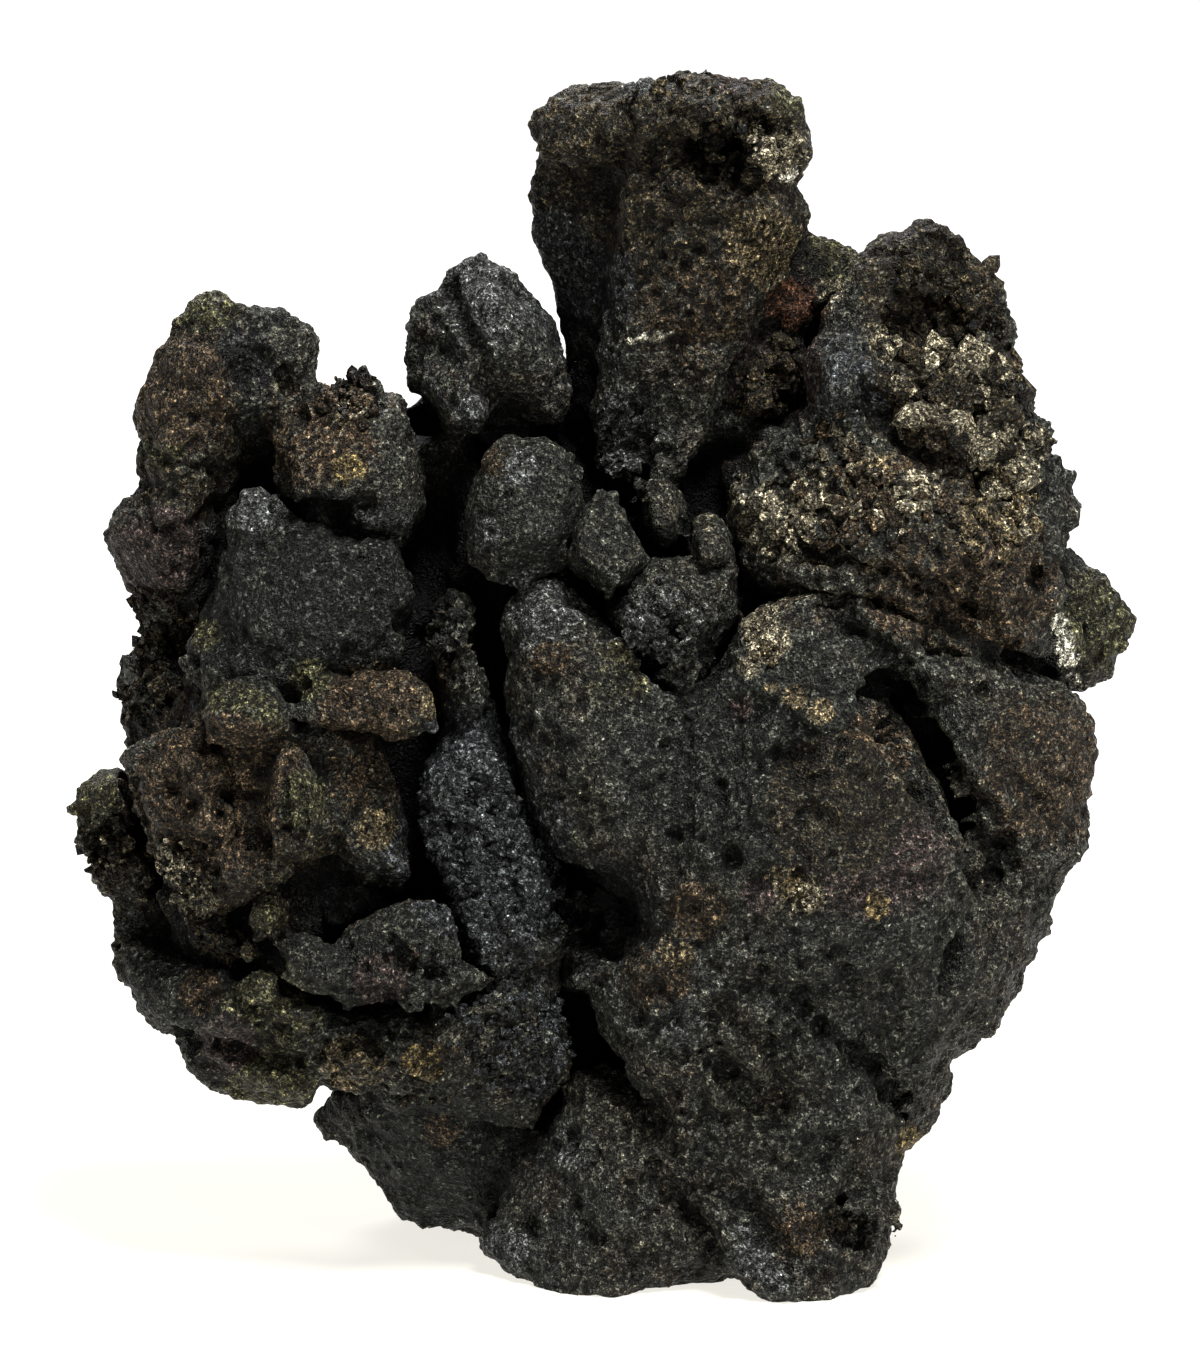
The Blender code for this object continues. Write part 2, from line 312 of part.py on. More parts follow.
LOWER_LEFT = (
    (-1.0, -5.0, (
        (-20.0, 22.2), (-21.0, 21.9), (-21.6, 21.6), (-22.0, 21.2), (-22.4, 20.5), (-22.3, 20.1),
        (-21.6, 19.6), (-21.1, 19.0), (-19.0, 18.6), (-19.0, 21.6)), (
        (-21.2, 21.0, 1.2), (-21.6, 20.5, 1.0), (-20.6, 20.0, 2.2), (-19.8, 21.2, 2.4))),
    (-1.0, -4.5, (
        (-21.1, 19.2), (-21.1, 18.1), (-21.45, 17.8), (-21.3, 17.2), (-20.8, 17.0), (-20.2, 16.7),
        (-19.0, 16.4), (-18.6, 18.8)), (
        (-20.9, 17.6, 0.8), (-20.0, 18.4, 2.0), (-19.6, 17.4, 2.0))),
    (-2.0, -5.0, (
        (-20.2, 16.8), (-20.1, 16.1), (-20.6, 15.0), (-19.0, 14.6), (-15.0, 15.0), (-15.0, 17.0),
        (-18.6, 17.6)), (
        (-19.4, 16.4, 0.4), (-18.0, 16.0, 1.0), (-16.0, 16.0, 2.0))),
    (-1.0, -5.0, (
        (-20.8, 14.5), (-20.4, 15.15), (-19.0, 15.3), (-17.4, 15.2), (-13.0, 15.0), (-12.6, 12.8),
        (-19.6, 12.6), (-20.4, 13.5)), (
        (-19.8, 14.4, 1.8), (-18.6, 14.7, 2.4), (-14.0, 14.2, 3.0), (-13.6, 13.2, 3.0),
        (-19.0, 13.4, 2.4))),
    (1.5, -4.0, (
        (-20.1, 13.7), (-18.0, 13.6), (-16.0, 13.35), (-14.5, 13.4), (-13.3, 12.9), (-12.0, 11.9),
        (-10.8, 11.6), (-10.6, 10.2), (-13.0, 9.6), (-17.4, 10.6), (-18.3, 10.7), (-18.9, 11.2),
        (-19.4, 12.0)), (
        (-18.6, 12.8, 4.6), (-15.6, 12.7, 5.8), (-13.2, 12.2, 6.4), (-11.6, 11.0, 6.6), (-12.4, 10.4, 6.0),
        (-16.6, 11.2, 5.0), (-18.2, 11.6, 4.6))),
    (0.0, -4.0, (
        (-17.8, 10.2), (-17.8, 9.5), (-17.2, 9.15), (-16.4, 8.65), (-15.2, 8.1), (-14.4, 7.75),
        (-12.1, 7.8), (-11.6, 8.6), (-11.8, 9.8), (-14.0, 10.8), (-17.0, 10.9)), (
        (-16.8, 9.9, 3.0), (-15.4, 9.2, 3.8), (-13.4, 8.6, 4.2), (-12.6, 9.4, 4.6), (-14.6, 10.2, 4.6))),
    (3.5, -1.0, (
        (-13.2, 15.0), (-12.6, 16.8), (-12.3, 17.6), (-11.9, 17.2), (-11.7, 15.4), (-10.6, 13.6),
        (-11.4, 12.3), (-12.2, 13.4)), (
        (-12.5, 16.2, 6.8), (-12.2, 14.6, 7.4), (-11.4, 13.8, 7.4))),
    (3.5, -1.0, (
        (-11.6, 14.8), (-10.8, 15.3), (-9.6, 16.5), (-8.8, 16.6), (-7.2, 17.05), (-6.5, 16.5),
        (-6.2, 15.4), (-5.7, 14.4), (-4.9, 13.6), (-4.9, 12.8), (-6.2, 12.3), (-9.0, 12.5), (-10.2, 12.1),
        (-11.3, 12.3), (-12.0, 13.5)), (
        (-10.6, 14.4, 7.4), (-9.4, 15.8, 6.8), (-7.2, 16.2, 6.2), (-6.9, 15.0, 6.8), (-6.2, 13.6, 7.2),
        (-7.4, 13.1, 7.8), (-10.2, 13.0, 7.8), (-11.2, 13.3, 7.6), (-9.0, 14.2, 8.0))),
    (1.0, -3.0, (
        (-12.8, 18.4), (-9.4, 18.0), (-8.6, 15.6), (-10.6, 14.6), (-12.8, 15.2)), (
        (-11.8, 17.2, 4.2), (-10.0, 17.0, 4.4), (-10.6, 15.4, 5.4))),
    (1.5, -4.0, (
        (-12.2, 12.0), (-10.8, 11.7), (-9.0, 11.9), (-7.0, 12.0), (-5.0, 12.2), (-4.4, 10.0), (-4.6, 8.3),
        (-6.5, 8.4), (-8.0, 8.9), (-10.5, 9.2), (-12.0, 8.9), (-12.6, 10.4)), (
        (-11.6, 10.8, 6.0), (-9.0, 11.2, 6.4), (-6.2, 11.4, 6.6), (-5.4, 9.6, 6.6), (-8.0, 9.6, 7.0),
        (-10.6, 9.9, 6.6))),
)

GRANULAR_RIB = (
    (-1.5, -5.0, (
        (-7.1, 28.2), (-6.6, 29.0), (-5.9, 29.5), (-5.3, 29.2), (-5.1, 28.0), (-5.0, 26.6), (-4.9, 25.0),
        (-5.6, 24.8), (-5.9, 26.0), (-6.8, 27.2)), (
        (-6.0, 28.6, 0.8), (-5.6, 27.6, 1.6), (-5.4, 26.0, 2.0))),
    (0.0, -4.0, (
        (-5.8, 25.6), (-4.9, 25.6), (-4.3, 24.0), (-3.9, 22.0), (-3.7, 20.4), (-3.4, 18.8), (-6.6, 18.8),
        (-7.4, 19.7), (-7.6, 20.6), (-7.3, 21.6), (-6.8, 23.3), (-6.2, 24.5)), (
        (-5.4, 25.0, 2.6), (-5.0, 23.6, 4.0), (-4.7, 21.4, 4.6), (-4.5, 19.4, 5.2), (-6.2, 19.4, 4.8),
        (-6.8, 20.6, 4.2), (-6.4, 22.4, 4.0))),
    (1.0, -3.0, (
        (-6.9, 19.0), (-6.2, 19.4), (-5.0, 20.0), (-3.4, 19.4), (-2.6, 18.2), (-2.2, 17.0), (-2.0, 15.0),
        (-1.8, 13.6), (-3.0, 12.9), (-4.5, 13.6), (-5.4, 14.5), (-5.8, 16.2), (-6.6, 18.0)), (
        (-6.2, 18.6, 4.8), (-5.0, 19.2, 5.2), (-3.6, 18.4, 5.6), (-3.2, 16.4, 6.4), (-3.0, 14.4, 6.6),
        (-4.4, 14.6, 6.8), (-5.0, 16.4, 6.2))),
    (1.0, -4.0, (
        (-4.8, 14.0), (-1.9, 14.0), (-1.7, 11.6), (-1.1, 9.9), (-1.5, 8.8), (-2.5, 7.8), (-5.0, 8.4),
        (-6.0, 12.0)), (
        (-4.2, 13.0, 6.6), (-2.5, 12.8, 6.4), (-2.2, 11.0, 6.4), (-2.2, 9.4, 5.8), (-3.6, 8.8, 5.8),
        (-4.8, 11.0, 6.6))),
)

FOOT = (
    (-4.0, -8.6, (
        (-11.5, 8.4), (-11.2, 7.0), (-10.7, 5.9), (-10.2, 5.3), (-9.4, 4.5), (-8.9, 3.6), (-8.5, 2.9),
        (-7.6, 2.55), (-6.5, 2.4), (-5.4, 2.2), (-5.1, 2.9), (-4.0, 4.0), (-2.6, 6.0), (-2.2, 8.6),
        (-5.0, 9.6), (-9.0, 9.8)), (
        (-10.2, 7.4, 0.4), (-8.2, 6.2, 2.0), (-6.0, 5.6, 2.6), (-4.4, 5.4, 2.4), (-3.4, 6.8, 2.6),
        (-3.4, 8.4, 3.4), (-7.0, 8.4, 3.4), (-7.4, 4.0, 0.4), (-5.8, 3.8, 0.8))),
    (-3.0, -4.2, (
        (-11.0, 8.2), (-12.3, 7.3), (-12.0, 6.7), (-11.8, 6.2), (-11.4, 6.1), (-10.8, 6.9), (-10.2, 7.6)), (
        (-11.3, 7.4, -1.8), (-11.2, 7.0, -1.8))),
    (0.0, -6.0, (
        (-0.9, 9.7), (0.2, 10.0), (1.2, 9.3), (2.6, 8.2), (4.6, 8.0), (5.6, 5.4), (5.6, 2.0), (5.2, 0.6),
        (3.4, 0.9), (1.0, -1.2), (-2.0, -1.2), (-3.3, 1.1), (-4.2, 1.6), (-5.1, 2.1), (-4.8, 3.0),
        (-3.5, 4.6), (-2.4, 6.2), (-1.7, 7.8)), (
        (-0.4, 8.6, 5.2), (0.4, 8.8, 5.4), (-1.4, 6.2, 5.6), (-2.2, 4.4, 5.4), (1.0, 6.2, 7.2),
        (0.6, 4.0, 7.8), (1.6, 2.6, 7.8), (-0.6, 2.4, 7.4), (-2.8, 2.2, 5.4), (3.6, 5.4, 7.4),
        (4.6, 2.4, 6.8), (3.4, 1.3, 6.6), (-2.4, 0.6, 6.2), (-1.2, 0.1, 7.2), (0.4, 0.1, 7.6),
        (1.8, 0.45, 7.2))),
    (-2.0, -7.0, (
        (-5.2, 3.6), (-5.3, 2.3), (-4.9, 1.6), (-3.6, 1.45), (-2.8, 0.9), (0.0, 1.2), (0.0, 4.0)), (
        (-4.4, 2.8, 1.0), (-3.0, 2.0, 1.6), (-1.0, 2.0, 2.0))),
    (1.0, -6.0, (
        (1.8, 11.0), (7.0, 12.0), (12.2, 10.4), (12.8, 6.4), (12.2, 4.0), (9.0, 2.0), (5.4, 2.0),
        (2.4, 2.6)), (
        (2.8, 10.0, 7.9), (5.0, 11.4, 9.2), (9.0, 11.0, 9.1), (11.8, 9.6, 7.1), (11.6, 6.8, 6.7),
        (11.0, 4.8, 7.0), (6.4, 4.4, 7.9), (4.4, 4.0, 7.5), (2.9, 7.4, 7.8))),
    (0.0, -5.5, (
        (5.2, 4.4), (5.8, 6.0), (8.0, 7.0), (11.8, 6.4), (12.6, 5.2), (12.2, 4.4), (12.0, 3.3),
        (12.05, 2.4), (12.05, 1.6), (11.6, 0.9), (10.0, -0.8), (6.4, -0.8), (5.5, 1.6)), (
        (5.9, 3.4, 7.4), (6.4, 1.0, 7.8), (7.0, 0.05, 7.9), (8.2, 0.0, 8.3), (9.6, 0.2, 7.9),
        (11.0, 0.7, 7.2), (11.6, 1.5, 6.6), (11.4, 2.4, 6.6), (8.0, 3.0, 8.6), (9.4, 5.0, 8.0),
        (11.4, 5.4, 6.6), (6.6, 5.4, 7.8))),
)

# What the front lumps are bedded in.
BEDDING = (
    (-1.0, -6.0, (
        (-18.6, 16.0), (-19.0, 22.0), (-17.0, 25.4), (-15.6, 31.0), (-9.4, 31.0), (-8.4, 26.0),
        (-9.6, 17.0), (-10.6, 11.0), (-17.0, 11.0)), (
        (-17.6, 17.0, 3.2), (-17.8, 22.0, 3.2), (-14.6, 30.0, 3.6), (-10.2, 30.0, 3.6),
        (-9.6, 24.0, 4.2), (-10.6, 17.6, 4.4), (-12.0, 12.4, 4.6), (-16.6, 12.4, 3.4))),
    (1.0, -4.0, (
        (-16.4, 24.4), (-12.0, 24.6), (-9.2, 23.6), (-9.0, 20.4), (-10.0, 18.0), (-12.4, 17.6),
        (-16.4, 17.2)), (
        (-15.4, 23.6, 6.4), (-12.2, 23.8, 6.0), (-10.0, 23.2, 5.8), (-9.8, 20.6, 5.8), (-12.0, 18.6, 6.6),
        (-15.2, 18.2, 6.8))),
    (-2.0, -6.0, (
        (6.2, 31.0), (6.4, 35.4), (9.4, 38.6), (12.4, 40.0), (16.6, 39.2), (18.6, 35.0), (19.0, 32.0),
        (17.8, 28.0), (14.4, 28.6)), (
        (7.4, 34.0, 3.0), (10.4, 38.0, 2.2), (12.6, 39.0, 1.8), (16.0, 37.6, 1.6), (17.8, 33.4, 2.6),
        (16.6, 29.0, 4.0), (13.4, 29.8, 4.8), (8.0, 31.4, 4.0), (12.0, 34.6, 3.8))),
    (0.0, -4.0, (
        (9.0, 29.6), (13.4, 31.0), (17.0, 28.6), (16.8, 25.6), (13.0, 26.0), (11.0, 28.0)), (
        (11.2, 29.4, 5.2), (13.6, 29.6, 5.4), (15.8, 28.0, 5.0), (15.6, 26.4, 5.0), (13.4, 27.0, 5.2))),
    (0.0, -4.0, (
        (-1.0, 31.0), (2.0, 33.0), (5.0, 31.0), (5.4, 27.0), (3.0, 25.6), (0.4, 28.0)), (
        (0.4, 30.0, 2.4), (2.4, 31.0, 2.0), (4.4, 29.4, 1.8), (3.4, 27.0, 2.8))),
)

HEART = (
    (-4.0, -9.0, (
        (-16.6, 24.0), (-12.0, 30.0), (-7.6, 32.4), (-3.0, 34.0), (3.0, 35.4), (9.0, 36.6), (15.6, 34.0),
        (18.6, 27.0), (18.4, 19.0), (15.0, 12.0), (11.4, 6.8), (5.0, 4.4), (-2.0, 4.6), (-8.0, 8.2),
        (-14.0, 10.8), (-17.4, 14.6), (-18.0, 19.6)), (
        (-13.0, 24.0, -0.6), (-2.0, 31.0, -0.6), (12.0, 31.0, -0.6), (15.0, 20.0, -0.6), (8.0, 9.0, 0.4),
        (-4.0, 9.0, 0.0), (-13.0, 14.0, -0.4))),
    (-4.0, -7.5, (
        (-17.6, 36.0), (-14.0, 38.0), (-8.6, 36.0), (-7.2, 32.0), (-8.0, 28.0), (-13.0, 25.4),
        (-17.0, 28.0)), (
        (-14.0, 35.0, -2.0), (-12.0, 30.0, -1.4))),
    (-3.8, -7.0, (
        (-9.0, 36.8), (-7.6, 37.6), (-6.0, 38.4), (-1.0, 39.0), (1.0, 36.0), (0.0, 31.0), (-9.0, 30.0)), (
        (-6.6, 36.0, -2.6), (-2.0, 36.6, -2.6))),
    (-4.6, -7.5, (
        (2.6, 35.0), (4.6, 41.0), (8.0, 43.2), (10.4, 43.0), (12.6, 40.0), (11.0, 34.0)), (
        (5.4, 38.0, -3.6), (9.4, 40.0, -3.4))),
)

# Crystals on the back: across, up, radius, how far forward their outline and their back face stand, the number
# of sides and the turn of the first corner in degrees.
BACK_CRYSTALS = (
    (2.9, 45.0, 4.6, -5.0, -9.2, 6, 10),
    (3.6, 38.6, 4.4, -6.0, -10.6, 6, 25),
    (-4.2, 38.4, 3.2, -4.0, -7.6, 6, 0),
    (12.6, 38.8, 4.4, -5.0, -9.4, 6, 15),
    (9.4, 33.0, 5.8, -7.0, -12.2, 6, 40),
    (16.2, 31.6, 3.8, -6.0, -9.8, 4, 12),
    (-15.2, 37.2, 3.6, -4.0, -7.4, 6, 20),
    (-17.0, 31.6, 3.2, -4.0, -7.6, 4, 50),
    (-10.4, 34.0, 4.0, -5.0, -9.4, 6, 5),
    (-2.4, 31.0, 5.4, -7.0, -11.8, 6, 15),
    (-12.0, 26.6, 5.2, -6.5, -11.2, 6, 35),
    (-16.6, 20.4, 4.0, -5.0, -8.8, 8, 0),
    (15.6, 22.6, 5.0, -6.0, -10.8, 6, 20),
    (4.6, 24.4, 6.8, -7.5, -13.2, 8, 30),
    (-6.0, 20.4, 5.8, -7.0, -12.4, 6, 10),
    (-13.4, 14.4, 4.4, -5.0, -9.2, 6, 45),
    (12.2, 14.6, 5.0, -6.0, -10.4, 6, 0),
    (4.4, 14.2, 5.6, -7.0, -12.0, 6, 50),
    (-4.4, 12.0, 4.8, -6.5, -10.8, 4, 20),
    (8.4, 8.6, 4.6, -5.5, -9.6, 6, 10),
    (1.6, 6.6, 4.8, -5.5, -9.8, 6, 25),
    (6.6, 3.6, 2.8, -4.5, -8.2, 6, 5),
    (6.0, 30.0, 2.6, -8.0, -12.0, 6, 30),
    (-7.4, 27.0, 2.8, -7.0, -11.0, 6, 0),
    (10.6, 26.8, 2.8, -7.0, -11.6, 4, 20),
    (-1.0, 15.6, 2.4, -8.0, -11.6, 6, 15),
    (10.0, 19.6, 2.4, -8.0, -11.4, 6, 40),
    (-10.8, 20.4, 2.4, -6.0, -10.2, 4, 30),
    (1.0, 20.0, 2.4, -8.0, -12.0, 6, 0),
    (-6.6, 34.6, 2.0, -5.0, -8.4, 6, 10),
    (14.0, 34.8, 2.4, -6.0, -9.6, 6, 25),
    (-9.8, 10.6, 2.2, -5.0, -8.6, 6, 40),
    (18.4, 27.4, 2.4, -5.0, -9.0, 6, 10),
    (-18.4, 25.6, 2.2, -4.0, -7.6, 6, 30),
    (6.4, 42.0, 2.2, -5.0, -8.8, 4, 10),
)

ALL_LUMPS = (
    TOP_COLUMN + MIDDLE_CRYSTALS + MAIN_CRYSTAL + RIGHT_SHOULDER + LEFT_ARM + LEFT_CRYSTALS + LOWER_LEFT
    + GRANULAR_RIB + FOOT + BEDDING + HEART
)

# Hollows pressed into the skin: across, up, forward, radius and depth.
HOLLOWS = (
    (4.9, 47.1, 4.6, 1.3, 2.2),
    (5.9, 46.5, 3.8, 1.0, 1.6),
    (-14.5, 38.5, 2.4, 1.3, 1.2),
    (-7.2, 40.7, 0.8, 0.6, 0.9),
    (8.1, 22.4, 9.2, 1.1, 1.0),
    (7.0, 22.4, 9.2, 0.7, 0.6),
    (5.3, 18.4, 9.8, 0.7, 0.8),
    (10.1, 13.8, 9.6, 0.8, 0.9),
    (5.1, 12.1, 9.2, 0.8, 0.8),
    (14.6, 14.4, 7.2, 0.7, 1.0),
    (10.8, 3.4, 7.0, 1.3, 1.8),
    (6.3, 3.3, 7.4, 0.8, 0.9),
    (7.0, 7.6, 7.6, 0.8, 0.7),
    (2.4, 28.2, 4.4, 0.9, 0.9),
    (11.6, 36.6, 3.4, 0.9, 1.4),
    (13.4, 41.7, 1.4, 0.8, 1.2),
    (18.2, 29.8, 3.6, 0.8, 1.0),
)

# Where the skin is ragged: across, up and radius.
RAGGED = (
    (14.5, 38.0, 5.0),
    (9.0, 33.6, 4.0),
    (17.0, 34.0, 3.4),
    (-18.4, 26.0, 3.4),
    (-16.6, 34.6, 3.0),
    (-20.4, 18.8, 2.6),
    (-15.6, 17.0, 3.0),
    (-4.6, 17.0, 3.4),
    (-5.6, 22.0, 3.0),
    (2.4, 27.4, 2.2),
    (2.6, 35.4, 2.4),
    (4.6, 49.0, 4.4),
    (-10.4, 37.4, 1.8),
    (-8.6, 20.0, 2.4),
)


def place(across, up, forward):
    """A given place in millimetres: see SIGHT."""
    height = (up + forward * math.sin(SIGHT)) / math.cos(SIGHT) - FLOOR_LEVEL
    return Vector((across - CENTRE_ACROSS, CENTRE_FORWARD - forward, height))


def narrowed(outline, width):
    """The outline drawn in towards its own middle."""
    middle = [sum(point[k] for point in outline) / len(outline) for k in (0, 1)]
    return [[middle[k] + (point[k] - middle[k]) * width for k in (0, 1)] for point in outline]


def add_lump(mesh, places):
    """The smallest closed body round the places, added to the mesh."""
    corners = [mesh.verts.new(place(*point)) for point in places]
    hull = bmesh.ops.convex_hull(mesh, input=corners)
    spare = {item for item in hull["geom_interior"] + hull["geom_unused"] if isinstance(item, bmesh.types.BMVert)}
    bmesh.ops.delete(mesh, geom=list(spare), context="VERTS")


def lump_places(outline_at, back_at, outline, front):
    return (
        [(across, up, outline_at) for across, up in outline]
        + [(across, up, back_at) for across, up in narrowed(outline, BACK_WIDTH)]
        + list(front)
    )


def polygon(across, up, radius, sides, turn):
    return [
        (
            across + radius * math.cos(math.radians(turn) + math.tau * i / sides),
            up + radius * math.sin(math.radians(turn) + math.tau * i / sides),
        )
        for i in range(sides)
    ]


def back_crystal_places(across, up, radius, outline_at, back_at, sides, turn):
    """A crystal with triangular and square faces: every other corner of its back face is cut away."""
    outline = polygon(across, up, radius, sides, turn)
    face = polygon(across, up, radius * 0.62, max(sides // 2, 3), turn + 180 / sides)
    return (
        [(*corner, outline_at) for corner in outline]
        + [(*corner, back_at) for corner in face]
        + [(*corner, 0.0) for corner in narrowed(outline, 0.8)]
    )


def lumps_mesh():
    mesh = bmesh.new()
    for lump in ALL_LUMPS:
        add_lump(mesh, lump_places(*lump))
    for crystal in BACK_CRYSTALS:
        add_lump(mesh, back_crystal_places(*crystal))
    bmesh.ops.recalc_face_normals(mesh, faces=mesh.faces)
    return mesh


def apply_modifiers(obj):
    """Writes what the modifiers show into the object's own mesh."""
    graph = bpy.context.evaluated_depsgraph_get()
    shown = bpy.data.meshes.new_from_object(obj.evaluated_get(graph))
    obj.modifiers.clear()
    obj.data = shown


def fuse(obj):
    remesh = obj.modifiers.new("fuse", "REMESH")
    remesh.mode = "VOXEL"
    remesh.voxel_size = SKIN_CELL
    apply_modifiers(obj)


def hollow_push(point, hollows):
    """How far a point of the skin is pressed in by the hollows near it."""
    push = 0.0
    for centre, radius, depth in hollows:
        share = (point - centre).length / radius
        if share < 1.0:
            push = max(push, depth * (1.0 - share * share))
    return push


def raggedness(point, spots):
    """1 in the middle of a ragged spot and 0 outside all of them, on the front half."""
    ragged = 0.0
    for centre, radius in spots:
        share = math.hypot(point.x - centre.x, point.z - centre.z) / radius
        ragged = max(ragged, 1.0 - share * share)
    return ragged


def weather(obj):
    """Swells and knobbles the skin along its normals, and presses the hollows in."""
    hollows = [(place(*hollow[:3]), hollow[3], hollow[4]) for hollow in HOLLOWS]
    ragged_spots = [(place(across, up, 3.0), radius) for across, up, radius in RAGGED]
    before = [(vertex.co.copy(), vertex.normal.copy()) for vertex in obj.data.vertices]
    for vertex, (point, normal) in zip(obj.data.vertices, before):
        swell = noise.noise(point / SWELL_SIZE) * SWELL_HEIGHT
        knobble = noise.noise(point / KNOBBLE_SIZE)
        height = KNOBBLE_HEIGHT + (RAGGED_HEIGHT - KNOBBLE_HEIGHT) * raggedness(point, ragged_spots)
        vertex.co = point + normal * (swell + knobble * height - hollow_push(point, hollows))


def thin_out(obj):
    """Leaves TRIANGLES faces, fewest where the skin is flat."""
    decimate = obj.modifiers.new("thin_out", "DECIMATE")
    obj.data.calc_loop_triangles()
    decimate.ratio = TRIANGLES / len(obj.data.loop_triangles)
    decimate.use_collapse_triangulate = True
    apply_modifiers(obj)


def cut_foot(obj):
    """Cuts the foot level at the floor, so that it rests on flat faces."""
    mesh = bmesh.new()
    mesh.from_mesh(obj.data)
    everything = mesh.verts[:] + mesh.edges[:] + mesh.faces[:]
    cut = bmesh.ops.bisect_plane(
        mesh, geom=everything, dist=1e-4, plane_co=(0, 0, 0), plane_no=(0, 0, 1), clear_inner=True
    )
    edges = [item for item in cut["geom_cut"] if isinstance(item, bmesh.types.BMEdge)]
    bmesh.ops.triangle_fill(mesh, use_beauty=True, edges=edges, normal=(0, 0, -1))
    bmesh.ops.recalc_face_normals(mesh, faces=mesh.faces)
    mesh.to_mesh(obj.data)
    mesh.free()


def stand_on_origin(obj):
    """Takes the body into metres, with the middle of its floor plan at the origin."""
    places = [vertex.co for vertex in obj.data.vertices]
    shift = Vector(
        [-(min(place[k] for place in places) + max(place[k] for place in places)) / 2 for k in (0, 1)] + [0.0]
    )
    obj.data.transform(Matrix.Scale(MM, 4) @ Matrix.Translation(shift))


def lead_finish():
    material = bpy.data.materials.new("tarnished_lead")
    material.use_nodes = True
    shader = material.node_tree.nodes["Principled BSDF"]
    shader.inputs["Base Color"].default_value = (0.028, 0.029, 0.025, 1.0)
    shader.inputs["Roughness"].default_value = 0.62
    shader.inputs["Metallic"].default_value = 0.35
    return material


def main():
    for obj in list(bpy.data.objects):
        bpy.data.objects.remove(obj)
    mesh = lumps_mesh()
    data = bpy.data.meshes.new("lead_cluster")
    mesh.to_mesh(data)
    mesh.free()
    cluster = bpy.data.objects.new("lead_cluster", data)
    bpy.context.scene.collection.objects.link(cluster)
    fuse(cluster)
    weather(cluster)
    thin_out(cluster)
    cut_foot(cluster)
    stand_on_origin(cluster)
    cluster.data.materials.clear()
    cluster.data.materials.append(lead_finish())


main()
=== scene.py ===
# %% [markdown]
# # A native lead specimen
# Native lead is rare: here it grew as a cluster of blunt crystals, and then tarnished to a dull black skin
# with olive, brown and tan stains, pits and clinging grains. The solid that carries it, about 45 mm wide and
# 50 mm tall, is loaded first and fixes every size. This lesson grows a finer skin in the same place.
#
# Such a rough thing isn't modelled face by face. Each group of crystals is laid out as faceted lumps, the
# lumps are fused by a voxel remesh as if by growth, and the fused skin is weathered by modifiers, coarse
# relief first and fine grain last.

# %% Load the solid that carries everything
import math

import bpy
import numpy as np
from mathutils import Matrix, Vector


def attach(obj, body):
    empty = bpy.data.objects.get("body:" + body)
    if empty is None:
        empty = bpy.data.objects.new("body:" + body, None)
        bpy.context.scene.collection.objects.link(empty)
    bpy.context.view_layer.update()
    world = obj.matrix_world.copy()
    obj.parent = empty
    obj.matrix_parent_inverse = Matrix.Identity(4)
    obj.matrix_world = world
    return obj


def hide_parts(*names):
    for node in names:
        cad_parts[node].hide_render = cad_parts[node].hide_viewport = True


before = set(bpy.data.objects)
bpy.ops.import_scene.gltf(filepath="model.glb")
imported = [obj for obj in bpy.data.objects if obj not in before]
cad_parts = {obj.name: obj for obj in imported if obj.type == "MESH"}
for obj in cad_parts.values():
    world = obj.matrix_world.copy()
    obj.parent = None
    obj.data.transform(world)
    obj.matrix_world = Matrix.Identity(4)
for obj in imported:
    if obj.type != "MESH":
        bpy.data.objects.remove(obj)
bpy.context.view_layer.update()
bpy.ops.object.select_all(action="DESELECT")

# %% [markdown]
# ## Camera, light and floor
# The specimen is looked at from a little above, with a long lens that keeps its sides parallel. A wide lamp
# over it lights every upper face and leaves the clefts black, which is what shows that the skin is rough.
# Three weak lamps open the shadows on the sides and behind. The floor is one plain pale sheet, slightly
# glossy, that glows as painted light, which lifts the shadows cast on it, and whitens towards the back.
# A shader is a tree of nodes, and a few helpers keep it readable: they add a node, fill its sockets and give
# back the output that the next node needs.

# %% Camera
MM = 0.001
SIGHT = math.radians(10)
FLOOR_LEVEL = 1.50
CENTRE_ACROSS, CENTRE_FORWARD = 0.05, -1.45
MIDDLE_UP = 26.0
VIEW_WIDTH = 0.050
LENS, SENSOR = 285, 36
NEAREST_SEEN = 0.01


def place(across, up, forward):
    """A place given in millimetres as seen from SIGHT above the horizon: forward is towards the viewer."""
    height = (up + forward * math.sin(SIGHT)) / math.cos(SIGHT) - FLOOR_LEVEL
    return Vector((across - CENTRE_ACROSS, CENTRE_FORWARD - forward, height))


def aimed(obj, position, target):
    obj.location = position
    obj.rotation_euler = (Vector(target) - Vector(position)).to_track_quat("-Z", "Y").to_euler()


target = place(0, MIDDLE_UP, 0) * MM
bpy.ops.object.camera_add()
camera = bpy.context.object
camera.data.lens = LENS
camera.data.sensor_width = SENSOR
camera.data.sensor_fit = "HORIZONTAL"
camera.data.clip_start = NEAREST_SEEN
distance = VIEW_WIDTH * LENS / SENSOR
aimed(camera, target + distance * Vector((0, -math.cos(SIGHT), math.sin(SIGHT))), target)
bpy.context.scene.camera = camera
bpy.context.scene.view_settings.view_transform = "Standard"
print("camera", round(distance, 3), "m away")


# %% Helpers for shader nodes
def fill(tree, node, inputs):
    """Fills the named sockets: an output is linked, and a number, a place or a colour is set."""
    for name, value in inputs.items():
        socket = node.inputs[name]
        if isinstance(value, bpy.types.NodeSocket):
            tree.links.new(value, socket)
        elif socket.type == "RGBA":
            socket.default_value = (*value, 1.0)
        else:
            socket.default_value = value
    return node


def add_node(tree, kind, inputs, **settings):
    node = tree.nodes.new("ShaderNode" + kind)
    for key, value in settings.items():
        setattr(node, key, value)
    return fill(tree, node, inputs)


